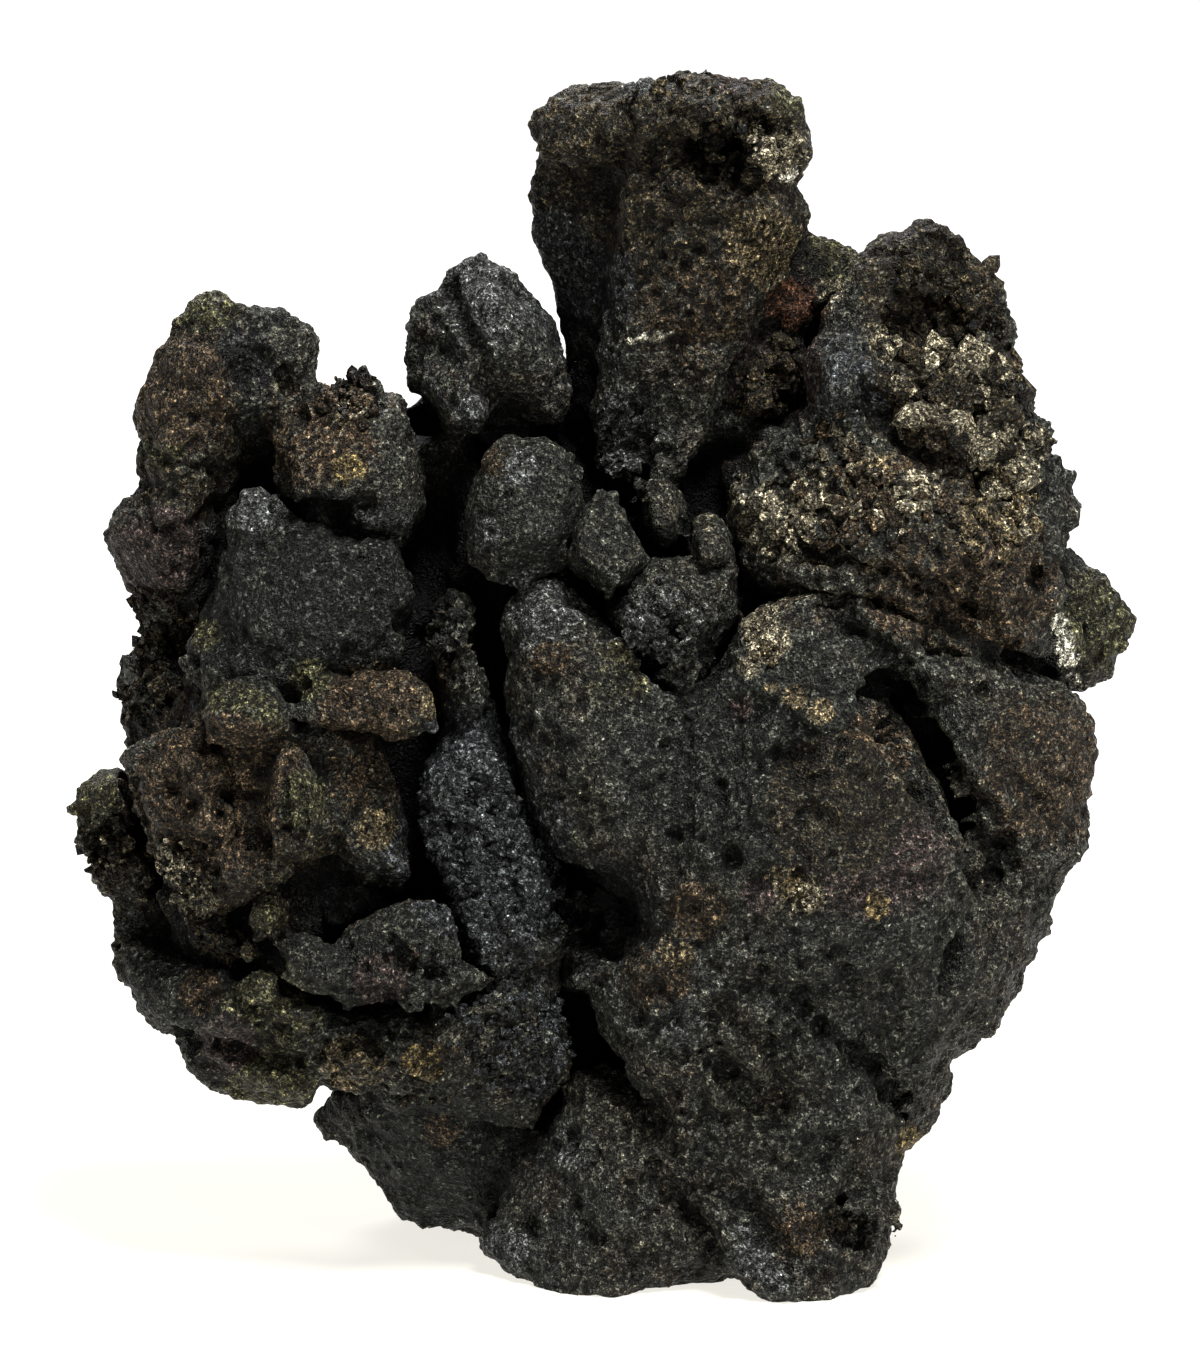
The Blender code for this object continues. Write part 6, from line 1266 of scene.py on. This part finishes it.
# Each stain or patch of painted shade: across, up, radius, colour and strength.
# Rows in the painted shade colours are painted shade, not tarnish.
STAINS_AND_PAINTED_SHADE = (
    (3, 48, 6, UMBER, 0.7), (7.9, 49.8, 1, OLIVE, 0.9), (5.5, 50.4, 0.9, PURPLE, 0.9),
    (1.5, 50.3, 0.8, SILVER, 0.8), (7.2, 47.2, 1, PALE, 0.8), (7.6, 46.6, 0.6, WHITE, 0.7),
    (-1, 43, 2.8, SLATE, 0.6), (-0.3, 44.5, 1.2, PAINTED_BLACK_SHADE, 0.6), (2.3, 44.5, 0.8, PAINTED_BLACK_SHADE, 0.5),
    (3.8, 45.5, 1.2, TAN, 0.4), (6.6, 43.5, 1.6, TAN, 0.9), (7.3, 42.4, 0.7, PALE, 0.8),
    (8.1, 41.4, 1.1, RUST, 1), (7.4, 38.4, 1.8, PURPLE, 0.9), (4, 42, 2.6, BROWN, 0.6),
    (0.9, 39.75, 0.13, WHITE, 1), (1.2, 39.7, 0.13, WHITE, 1), (1.5, 39.7, 0.13, WHITE, 1),
    (1.8, 39.75, 0.13, WHITE, 1), (2.2, 39.8, 0.13, PALE, 1), (2.5, 39.9, 0.13, WHITE, 1),
    (2.8, 39.9, 0.13, WHITE, 1), (1, 36.8, 0.9, SILVER, 0.8), (0.5, 34.6, 1, SILVER, 0.8),
    (9.7, 43.2, 1.2, OLIVE, 0.9), (9.5, 41.9, 0.7, PALE, 0.9), (-4.6, 41.6, 2.2, SILVER, 0.5),
    (-5.4, 36.8, 0.6, SILVER, 0.7), (-3.3, 34.4, 0.8, SILVER, 0.8), (-4.6, 31.7, 0.7, SILVER, 0.8),
    (-4.2, 34.6, 0.7, BROWN, 0.7), (-3, 32, 1.4, OLIVE, 0.3), (0.4, 31.4, 1.8, OLIVE, 0.4),
    (-2.4, 28.8, 1.6, SILVER, 0.7), (-2, 26.6, 0.7, BROWN, 0.9), (0.8, 26, 1.3, OLIVE, 0.4),
    (2.4, 28, 1.6, SILVER, 0.4), (-5, 18, 3.4, SLATE, 0.9), (-5.4, 22.5, 2, SLATE, 0.9),
    (0, 16.4, 1.8, PAINTED_BLACK_SHADE, 0.8), (-16.4, 41.4, 1.2, OLIVE, 1), (-17.6, 37.6, 2.4, BROWN, 0.9),
    (-14.8, 38.9, 1.3, PAINTED_BLACK_SHADE, 0.6), (-16.4, 33.4, 2, SILVER, 0.4), (-18.3, 31, 1.8, PURPLE, 0.9),
    (-11.6, 35.6, 2, BROWN, 0.7), (-10.4, 34.4, 0.7, OCHRE, 0.9), (-10.2, 37, 0.6, PALE, 0.9),
    (-10.7, 36.4, 0.5, TAN, 0.9), (-14.3, 32.8, 0.9, SILVER, 1), (-10.2, 30.8, 1.9, BROWN, 0.7),
    (-16.2, 27.6, 0.7, OLIVE, 0.9), (-11.9, 25.8, 0.9, OLIVE, 1), (-9.4, 24.8, 1.9, BROWN, 1),
    (-6.9, 24.6, 0.5, TAN, 0.9), (-14.8, 24, 1.8, OLIVE, 0.6), (-15.6, 21, 3.4, BROWN, 0.9),
    (-14, 21.3, 0.7, PAINTED_BLACK_SHADE, 0.9), (-12.4, 20.8, 1.2, OLIVE, 0.9), (-9.2, 19.6, 0.8, TAN, 0.8),
    (-9.8, 21.6, 1.4, BROWN, 0.6), (-17.6, 18.2, 0.9, PALE, 0.8), (-16.6, 16.6, 0.9, PALE, 0.7),
    (-18.6, 17.3, 0.4, WHITE, 0.9), (-21.2, 20.8, 1.1, OLIVE, 0.8), (-20.4, 18.6, 0.6, PALE, 0.6),
    (-11.3, 16.8, 1.1, PAINTED_BLACK_SHADE, 0.7), (-13.6, 16, 0.7, OLIVE, 0.8), (-9, 13.4, 1.6, PURPLE, 0.7),
    (-8.6, 14.8, 3.4, PAINTED_SHADE, 0.7), (-8.8, 14.2, 0.4, WHITE, 0.6), (-14, 12, 2.2, OLIVE, 0.6),
    (-16.5, 12.8, 1, BROWN, 0.8), (-15.4, 10.6, 1.5, PURPLE, 0.7), (-16.2, 14.4, 2, PAINTED_BLACK_SHADE, 0.6),
    (-13.8, 8.4, 1.8, OLIVE, 0.9), (-10.2, 9.8, 1.2, TAN, 0.6), (-7.2, 9.9, 0.8, OCHRE, 0.8),
    (-6.6, 6.9, 1, BROWN, 0.8), (-6.3, 3.4, 1, SILVER, 0.7), (-3.8, 2, 1, SILVER, 0.7),
    (-1.2, 6.4, 0.9, SILVER, 0.6), (8.4, 3, 0.9, BROWN, 0.8), (12.9, 6.5, 0.6, OCHRE, 0.9),
    (6, 2.6, 0.7, SILVER, 0.6), (13.4, 43, 3, UMBER, 0.8), (12, 39.6, 0.9, PALE, 0.8),
    (13.2, 37.4, 1, PALE, 0.8), (14.2, 36.4, 0.8, PALE, 0.8), (16.3, 37.8, 0.7, PALE, 0.9),
    (15.5, 36, 0.8, PALE, 0.8), (17.7, 35.4, 0.8, PALE, 0.8), (8.7, 33.4, 0.8, PALE, 0.8),
    (17.2, 32.3, 0.8, PALE, 0.8), (15.5, 32.7, 0.8, TAN, 0.8), (13.2, 33.5, 0.9, PALE, 0.7),
    (11, 34.2, 1, TAN, 0.8), (16.7, 34.6, 0.8, PALE, 0.8), (7.2, 32.2, 1.3, PALE, 0.8),
    (14.4, 34.6, 2.2, BROWN, 0.5), (10.2, 38, 1.8, SLATE, 0.6), (16.2, 29.6, 2.4, BROWN, 0.8),
    (12.6, 29.4, 1.8, BROWN, 0.6), (21, 28.2, 1.8, OLIVE, 0.7), (19.1, 28, 0.4, WHITE, 1),
    (19.3, 27.3, 0.35, WHITE, 1), (19.5, 26.6, 0.35, WHITE, 1), (19.8, 25.6, 0.35, WHITE, 1),
    # The pale patches on the broad crystal's upper left edge, in this line and near the end of the table, are
    # partly crust and partly painted highlight.
    (6.8, 27.2, 0.8, PALE, 0.9), (8, 25, 0.6, TAN, 0.9), (9, 24.4, 0.6, TAN, 0.9),
    (5.8, 24.6, 0.6, PURPLE, 0.9), (11, 22.6, 1.8, BROWN, 0.8), (11, 18.6, 2.6, PURPLE, 0.8),
    (8.2, 17.4, 1.2, PALE, 0.7), (8, 17.2, 0.6, OCHRE, 1), (11.3, 16.6, 0.6, OCHRE, 0.9),
    (6.5, 17, 0.7, PURPLE, 0.9), (4, 16.2, 1.1, BROWN, 0.9), (2.2, 13.4, 1.2, BROWN, 0.7),
    (3, 14.5, 0.8, TAN, 0.6), (3.4, 11.6, 1, SILVER, 0.6), (18.6, 22, 2.6, BROWN, 0.7),
    (18.5, 23, 0.5, WHITE, 0.5), (8, 21, 4, PAINTED_SHADE, 0.6), (-12, 28.6, 3.6, PAINTED_SHADE, 0.8),
    (-15, 19, 4, UMBER, 0.6), (-15.6, 12, 3.4, PAINTED_SHADE, 0.5), (-7, 5.6, 3, PAINTED_SHADE, 0.8),
    (-17.6, 34.6, 3, UMBER, 0.5), (7.6, 38.6, 1.6, PAINTED_BLACK_SHADE, 0.4), (15, 30.4, 3, UMBER, 0.5),
    (-10.4, 29.4, 3.6, PAINTED_DEEP_SHADE, 1), (-14.2, 28.8, 3, PAINTED_DEEP_SHADE, 0.8), (-3, 32.8, 2.6, PAINTED_SHADE, 0.6),
    (6.6, 22, 4.4, PAINTED_SHADE, 0.8), (9.6, 20.6, 3.4, PAINTED_BROWN_SHADE, 0.9), (11, 13, 4, PAINTED_SHADE, 0.5),
    (13, 43.6, 2.6, PAINTED_BROWN_SHADE, 0.9), (-18.2, 36, 1.6, OLIVE, 0.7), (6.2, 2, 0.8, SILVER, 0.8),
    (7.2, 0.8, 0.6, SILVER, 0.8), (7, 25.2, 0.5, TAN, 0.8), (6.5, 28.2, 0.7, PALE, 0.8),
    (6.1, 26.2, 0.5, PALE, 0.8), (0.4, 31.4, 2, PAINTED_SHADE, 0.5), (-17.4, 12.6, 3, PAINTED_SHADE, 0.6),
)
BACK_STAINS_AND_PAINTED_SHADE = (
    (3, 44.6, 3, UMBER, 0.9), (-3.4, 38.6, 2.4, SLATE, 0.8), (12.4, 37, 3.4, BROWN, 0.9),
    (9.6, 31, 2.4, TAN, 0.5), (-14.6, 36.4, 2.6, OLIVE, 0.9), (-10.4, 28.6, 3.4, UMBER, 0.9),
    (0.4, 26, 3.6, SLATE, 0.7), (8.4, 20.4, 3.4, PURPLE, 0.9), (-8.2, 16.4, 3, BROWN, 0.9),
    (14.8, 22.6, 2.6, OLIVE, 0.8), (2.2, 12.6, 3.2, SILVER, 0.5), (-14.4, 18.4, 2.6, SLATE, 0.8),
    (6.4, 6, 2.4, UMBER, 0.8), (4.8, 33.4, 1.2, PALE, 0.6), (16.4, 30.4, 1.3, PALE, 0.7),
    # The last row on the next line is painted shade.
    (-4.4, 8.6, 1.4, TAN, 0.7), (-6.4, 23.4, 2, OCHRE, 0.4), (11.6, 12.4, 2.6, PAINTED_SHADE, 0.8),
)
PER_METRE = 1000
OUTER_REACH = 1.4
CORE = 1.4
EDGE_ON = 0.8


def paint_stains_and_shade(obj):
    """Stores a stain or painted shade colour and its strength at each point: the strongest patch there wins.
    """
    points, normals = points_of(obj) * PER_METRE, normals_of(obj)
    across, up, _ = seen_at(points)
    strength = np.zeros(len(points), np.float32)
    colours = np.zeros((len(points), 4), np.float32)
    colours[:, 3] = 1.0
    for side, stains_and_shade in ((1, STAINS_AND_PAINTED_SHADE), (-1, BACK_STAINS_AND_PAINTED_SHADE)):
        facing = np.clip(EDGE_ON - side * normals[:, 1], 0.0, 1.0)
        for at_across, at_up, radius, colour, strong in stains_and_shade:
            reach = radius * OUTER_REACH
            close = np.nonzero((np.abs(across - at_across) < reach) & (np.abs(up - at_up) < reach))[0]
            share = np.hypot(across[close] - at_across, up[close] - at_up) / reach
            here = strong * np.clip(CORE - CORE * share * share, 0.0, 1.0) * facing[close]
            won = here > strength[close]
            strength[close[won]] = here[won]
            colours[close[won], :3] = colour
    store(obj, "stain_and_shade_strength", strength)
    store(obj, "stain_and_shade_colour", colours)


for piece in CLUSTER:
    paint_stains_and_shade(piece)
print("stains_and_shade", len(STAINS_AND_PAINTED_SHADE) + len(BACK_STAINS_AND_PAINTED_SHADE))

# %% Painted shade in the clefts
MAP_CELL, MAP_ROUNDS = 0.4, 36
MAP_LEFT, MAP_BELOW, MAP_WIDTH, MAP_HEIGHT = 26, 6, 52, 64
NOTHING_THERE = -8.0
OWN_SHARE, NEIGHBOUR_SHARE = 0.4, 0.15
CLEFT_START, CLEFT_DEPTH = 0.3, 2.0


def map_cells(obj):
    across, up, forward = seen_at(points_of(obj) * PER_METRE)
    return ((across + MAP_LEFT) / MAP_CELL).astype(int), ((up + MAP_BELOW) / MAP_CELL).astype(int), forward


def front_map(pieces):
    """How far forward the cluster reaches at each place of its front, evened out over about a millimetre."""
    front = np.full((int(MAP_WIDTH / MAP_CELL), int(MAP_HEIGHT / MAP_CELL)), NOTHING_THERE)
    for piece in pieces:
        column, row, forward = map_cells(piece)
        np.maximum.at(front, (column, row), forward)
    for _ in range(MAP_ROUNDS):
        neighbours = sum(np.roll(front, step, axis) for step in (-1, 1) for axis in (0, 1))
        front = neighbours * NEIGHBOUR_SHARE + front * OWN_SHARE
    return front


def paint_cleft_shade(obj, front):
    """Painted shade: 1 deep in a cleft, 0 on open skin. Only faces that look forward or up count."""
    column, row, forward = map_cells(obj)
    depth = front[column, row] - forward
    facing = np.clip(1.0 - 2.0 * normals_of(obj)[:, 1], 0.0, 1.0)
    store(obj, "cleft_shade", np.clip((depth - CLEFT_START) / CLEFT_DEPTH, 0.0, 1.0) * facing)


# The front map paints shade into the clefts.
level_front = front_map(CLUSTER)
for piece in CLUSTER:
    paint_cleft_shade(piece, level_front)
print("clefts mapped in", level_front.size, "cells")

# %% [markdown]
# ## Crumbs
# Loose and half-grown grains cling to the crust, the rib and the edges, thousands of them from a tenth of a
# millimetre to one. One blunt chunk of sixteen triangles is modelled, and arrays turn, stretch and place its
# copies on the skin, each nearly half sunk into it. They are joined in one mesh, since thousands of objects
# would be slow, and each chunk has its own shade, which makes the crust sparkle between pale and dark.

# %% Crumbs
# Each handful on a piece: across, up, radius, count, smallest and largest size, and colour.
CRUMBS = (
    (right_shoulder, (
        (14.6, 37.2, 3, 90, 0.26, 1.05, PALE), (14.6, 37.2, 3.4, 420, 0.2, 0.9, UMBER),
        (16.6, 34.6, 1.8, 60, 0.2, 0.85, PALE), (11.4, 34, 3, 100, 0.12, 0.6, PALE),
        (7.4, 32.4, 1.6, 100, 0.1, 0.5, PALE), (16, 32.6, 2.4, 90, 0.1, 0.5, TAN),
        (11.4, 34, 3.6, 260, 0.12, 0.55, BROWN), (14, 41.6, 2.8, 260, 0.14, 0.6, UMBER),
        (15.8, 38.4, 1.6, 50, 0.15, 0.7, PALE), (19.4, 26.8, 0.6, 50, 0.08, 0.2, WHITE),
    )),
    (main_crystal, (
        (6.6, 28, 0.8, 40, 0.08, 0.34, PALE), (6.8, 26.8, 0.7, 30, 0.08, 0.28, TAN),
        (8.4, 17, 1, 40, 0.08, 0.24, PALE), (7.4, 17.8, 0.7, 20, 0.08, 0.2, TAN),
    )),
    (top_column, (
        (7.2, 47.2, 1.3, 140, 0.08, 0.36, PALE), (6.6, 43.5, 1.5, 200, 0.08, 0.26, TAN),
        (1, 36.6, 1.4, 120, 0.08, 0.3, SILVER), (0.5, 34.7, 1.2, 120, 0.08, 0.34, SILVER),
        (3.6, 48, 3.4, 160, 0.1, 0.34, UMBER), (7.2, 37.6, 2.2, 300, 0.14, 0.6, UMBER),
    )),
    (middle_crystals, (
        # The first handful here is dark grey crumbs of painted shade.
        (2.8, 27.8, 2.4, 320, 0.08, 0.32, PAINTED_SHADE), (3, 28.2, 2.4, 120, 0.08, 0.26, SILVER),
    )),
    (left_arm, (
        (-10.4, 37.2, 1.6, 160, 0.1, 0.36, BROWN), (-10.2, 37, 0.7, 40, 0.08, 0.3, PALE),
        (-18.6, 26.8, 3, 700, 0.12, 0.44, UMBER),
    )),
    (left_crystals, (
        (-17.4, 17.8, 1.5, 160, 0.08, 0.4, PALE), (-15.6, 15.2, 1.6, 160, 0.14, 0.5, UMBER),
    )),
    (lower_left, (
        (-20.4, 18.4, 1.8, 160, 0.1, 0.4, UMBER), (-20.8, 18.6, 0.8, 40, 0.08, 0.24, PALE),
        (-16.6, 16.4, 1.4, 120, 0.08, 0.34, TAN),
    )),
    (granular_rib, (
        (-5, 18, 4.6, 1400, 0.1, 0.36, SLATE), (-3.6, 11, 3, 500, 0.1, 0.36, SLATE),
        (-8, 10, 2.6, 260, 0.1, 0.4, UMBER),
    )),
    (foot, (
        (9.6, 3.2, 0.7, 40, 0.1, 0.26, UMBER),
    )),
)
CHUNK = (
    (1, 1, 1), (1, -1, -1), (-1, 1, -1), (-1, -1, 1), (0, 1.9, 0), (0, -1.9, 0), (1.9, 0, 0), (-1.9, 0, 0),
    (0, 0, 1.9), (0, 0, -1.9),
)
CRUMB_SEED = 7
MOSTLY_SMALL = 2.5
STRETCH, BRIGHTNESS = (0.6, 1.3), (0.3, 1.6)
LIFTED = 0.15
FACING_BACK, TOO_FAR_BACK = 0.1, -6


def crumb_body():
    """A blunt closed chunk round a few points: its corners and faces are what every crumb is a copy of."""
    obj = new_object("chunk", [Vector(corner) * 0.5 for corner in CHUNK])
    edit_all(obj, bpy.ops.mesh.convex_hull, bpy.ops.mesh.quads_convert_to_tris)
    corners = points_of(obj)
    faces = np.array([face.vertices[:] for face in obj.data.polygons])
    bpy.data.objects.remove(obj)
    return corners, faces


def crumbs_on(piece, rng, corners, across_at, up_at, radius, count, smallest, largest, tint):
    """The corner places of one handful of crumbs, and the colours of these corners."""
    points, normals = points_of(piece) * PER_METRE, normals_of(piece)
    open_skin = (normals[:, 1] < FACING_BACK) * (seen_at(points)[2] > TOO_FAR_BACK)
    chance = near(points, ((across_at, up_at, radius),)) * open_skin
    chosen = rng.choice(len(points), count, p=chance / chance.sum())
    size = smallest + (largest - smallest) * rng.random(count) ** MOSTLY_SMALL
    stretch = rng.uniform(*STRETCH, (count, 1, 3)) * size[:, None, None]
    axes = np.linalg.qr(rng.normal(size=(count, 3, 3)))[0]
    shaped = np.einsum("nij,nkj->nki", axes, corners[None] * stretch)
    middles = points[chosen] + normals[chosen] * size[:, None] * LIFTED
    light = rng.uniform(*BRIGHTNESS, (count, 1))
    colour = np.concatenate([np.array(tint)[None] * light, np.ones((count, 1))], axis=1)
    return (shaped + middles[:, None]).reshape(-1, 3), np.repeat(colour, len(corners), axis=0)


def scatter_crumbs(name):
    rng = np.random.default_rng(CRUMB_SEED)
    corners, faces = crumb_body()
    handfuls = [crumbs_on(piece, rng, corners, *row) for piece, rows in CRUMBS for row in rows]
    points, colours = (np.concatenate(parts) for parts in zip(*handfuls))
    chunks = len(points) // len(corners)
    first_corners = np.arange(chunks) * len(corners)
    indices = (faces[None] + first_corners[:, None, None]).reshape(-1, faces.shape[1])
    obj = new_object(name, points * MM, indices.tolist())
    for attribute_name, value in (("relief", 0.5), ("stain_and_shade_strength", 2.0), ("cleft_shade", 0.0)):
        store(obj, attribute_name, np.full(len(points), value))
    store(obj, "stain_and_shade_colour", colours)
    print(name, chunks, "chunks,", len(obj.data.polygons), "triangles")
    return obj


crumbs = scatter_crumbs("crumbs")
CLUSTER += (crumbs,)

# %% [markdown]
# ## The tarnished skin
# Tarnished lead is nearly black and dull, but its broken grain catches light as fine pale points, which are
# painted in as glints. The grain is a node group that puts out a height, a brightness and a mask of specks,
# so that other materials could use it too. The material lays it over a mottled base, mixes the stains and
# the patches of painted shade in, makes the worn heights paler, partly as wear and partly as painted
# highlight, paints shade into the hollows and the clefts, and gives the little gloss that such a skin has.
# All of it is read in object coordinates and the skin's own attributes, so it stays in place from every side.

# %% Helpers for the grain and the skin
def noise(tree, vector, scale, detail, roughness, distortion=0.0):
    look = {"Scale": scale, "Detail": detail, "Roughness": roughness, "Distortion": distortion}
    return add_node(tree, "TexNoise", {"Vector": vector, **look}).outputs["Fac"]


def math_node(tree, operation, first, second):
    return add_node(tree, "Math", {0: first, 1: second}, operation=operation).outputs[0]


def attribute(tree, name, output="Fac"):
    return add_node(tree, "Attribute", {}, attribute_name=name).outputs[output]


def millimetres(tree):
    """Object coordinates with a millimetre as the unit."""
    where = add_node(tree, "TexCoord", {}).outputs["Object"]
    return add_node(tree, "Mapping", {"Vector": where, "Scale": (PER_METRE,) * 3}).outputs["Vector"]


# %% The grain, a node group
# Each noise: scale, detail and roughness. The finer a noise is, the less detail it needs.
MOTTLE, COARSE, FINE = (2.4, 2.0, 0.6), (5.0, 2.0, 0.7), (11.0, 1.0, 0.7)
FLAKES, FLAKE_CONTRAST = 8.0, 2.2
GRAIN_CONTRAST = 1.35
RARE = 0.90


def grain_group():
    """Crystalline grain: a height, a brightness factor round 1, and a mask of specks for painted glints."""
    tree = bpy.data.node_groups.new("crystalline_grain", "ShaderNodeTree")
    tree.interface.new_socket(name="Vector", in_out="INPUT", socket_type="NodeSocketVector")
    contrast = tree.interface.new_socket(name="Contrast", in_out="INPUT", socket_type="NodeSocketFloat")
    contrast.default_value = GRAIN_CONTRAST
    for name in ("Height", "Tone", "Specks"):
        tree.interface.new_socket(name=name, in_out="OUTPUT", socket_type="NodeSocketFloat")
    start, end = tree.nodes.new("NodeGroupInput"), tree.nodes.new("NodeGroupOutput")
    vector = start.outputs["Vector"]
    mottle, coarse, fine = (noise(tree, vector, *look) for look in (MOTTLE, COARSE, FINE))
    flake = add_node(tree, "TexVoronoi", {"Vector": vector, "Scale": FLAKES}).outputs["Color"]
    parts = add_node(tree, "SeparateColor", {"Color": flake}).outputs
    total = math_node(tree, "SUBTRACT", parts["Red"], 0.5)
    total = math_node(tree, "MULTIPLY", total, FLAKE_CONTRAST)
    for value, share in ((mottle, 4.0), (coarse, 8.0), (fine, 8.0)):
        centred = math_node(tree, "SUBTRACT", value, 0.5)
        total = math_node(tree, "ADD", total, math_node(tree, "MULTIPLY", centred, share))
    total = math_node(tree, "MULTIPLY", total, start.outputs["Contrast"])
    chosen = math_node(tree, "GREATER_THAN", parts["Green"], RARE)
    fill(tree, end, {
        "Height": math_node(tree, "ADD", coarse, math_node(tree, "MULTIPLY", fine, 0.5)),
        "Tone": math_node(tree, "POWER", 2.0, total),
        "Specks": math_node(tree, "MULTIPLY", chosen, spread(tree, coarse, 0.44, 0.60)),
    })
    return tree


GRAIN_GROUP = grain_group()
print("grain of", len(GRAIN_GROUP.nodes), "nodes")

# %% The skin
GREEN_GREY, BROWN_GREY = (0.0096, 0.0101, 0.0083), (0.0114, 0.0110, 0.0079)
# The last colour on the next line is a painted glint, for light caught by the grain.
EARTH, PALE_FLECK, PAINTED_GLINT = (0.0105, 0.0078, 0.0049), (0.0190, 0.0190, 0.0160), (0.16, 0.165, 0.14)
# Each noise: scale, detail, roughness and distortion.
BROAD, PATCH, FLECK = (0.22, 3.0, 0.6, 0.4), (0.7, 4.0, 0.65, 0.3), (2.6, 2.0, 0.6)
RAGGED_EDGE = 2.2
DARKEST_CLEFT_SHADE = 0.06
GLOSS = 0.13
BUMP_HEIGHT = 0.0003


def lead_material():
    material = bpy.data.materials.new("tarnished_lead_skin")
    material.use_nodes = True
    tree = material.node_tree
    vector = millimetres(tree)
    grain = add_node(tree, "Group", {"Vector": vector}, node_tree=GRAIN_GROUP).outputs
    broad, patch, fleck = (noise(tree, vector, *look) for look in (BROAD, PATCH, FLECK))
    cleft_shade, strength = attribute(tree, "cleft_shade"), attribute(tree, "stain_and_shade_strength")

    # The mottled base
    colour = mix(tree, spread(tree, broad, 0.42, 0.60), GREEN_GREY, BROWN_GREY)
    colour = mix(tree, spread(tree, patch, 0.50, 0.64, 0.0, 0.8), colour, EARTH)
    colour = mix(tree, spread(tree, fleck, 0.54, 0.68, 0.0, 0.5), colour, PALE_FLECK)

    # The stains and the patches of painted shade, with their edges broken up
    edge = math_node(tree, "SUBTRACT", patch, 0.5)
    edge = math_node(tree, "ADD", edge, math_node(tree, "SUBTRACT", fleck, 0.5))
    stain_and_shade_mix = math_node(tree, "ADD", strength, math_node(tree, "MULTIPLY", edge, RAGGED_EDGE))
    painted = spread(tree, strength, 0.0, 0.25)
    stain_and_shade_mix = math_node(tree, "MULTIPLY", spread(tree, stain_and_shade_mix, 0.15, 0.65), painted)
    colour = mix(tree, stain_and_shade_mix, colour, attribute(tree, "stain_and_shade_colour", "Color"))

    # Worn heights paler, partly as wear and partly as painted highlight, painted shade in the hollows and
    # clefts, and the tone of the grain
    shade = spread(tree, attribute(tree, "relief"), 0.25, 0.75, 0.3, 1.7)
    # Painted shade: the deeper a point lies in a cleft, the darker its colour.
    shade = math_node(tree, "MULTIPLY", shade, spread(tree, cleft_shade, 0.0, 1.0, 1.0, DARKEST_CLEFT_SHADE))
    tone = math_node(tree, "MULTIPLY", grain["Tone"], shade)
    scaled = add_node(tree, "VectorMath", {0: colour, "Scale": tone}, operation="SCALE").outputs[0]

    # Painted glints: pale specks that stand in for light caught by the grain, not in the clefts
    painted_glint = math_node(tree, "MULTIPLY", grain["Specks"], spread(tree, patch, 0.44, 0.58, 0.1, 1.0))
    painted_glint = math_node(tree, "MULTIPLY", painted_glint, spread(tree, cleft_shade, 0.0, 0.4, 0.7, 0.0))
    bump = add_node(tree, "Bump", {"Strength": 1.0, "Distance": BUMP_HEIGHT, "Height": grain["Height"]})
    fill(tree, tree.nodes["Principled BSDF"], {
        "Base Color": mix(tree, painted_glint, scaled, PAINTED_GLINT),
        "Normal": bump.outputs["Normal"],
        "Roughness": spread(tree, fleck, 0.35, 0.65, 0.65, 0.35),
        "Specular IOR Level": GLOSS,
    })
    return material


skin = lead_material()
for piece in CLUSTER:
    piece.data.materials.clear()
    piece.data.materials.append(skin)
    if piece is crumbs:
        piece.data.shade_flat()
    else:
        piece.data.shade_smooth()
    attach(piece, "root")
    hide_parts("lead_cluster")
print("pieces with the skin", len(CLUSTER))
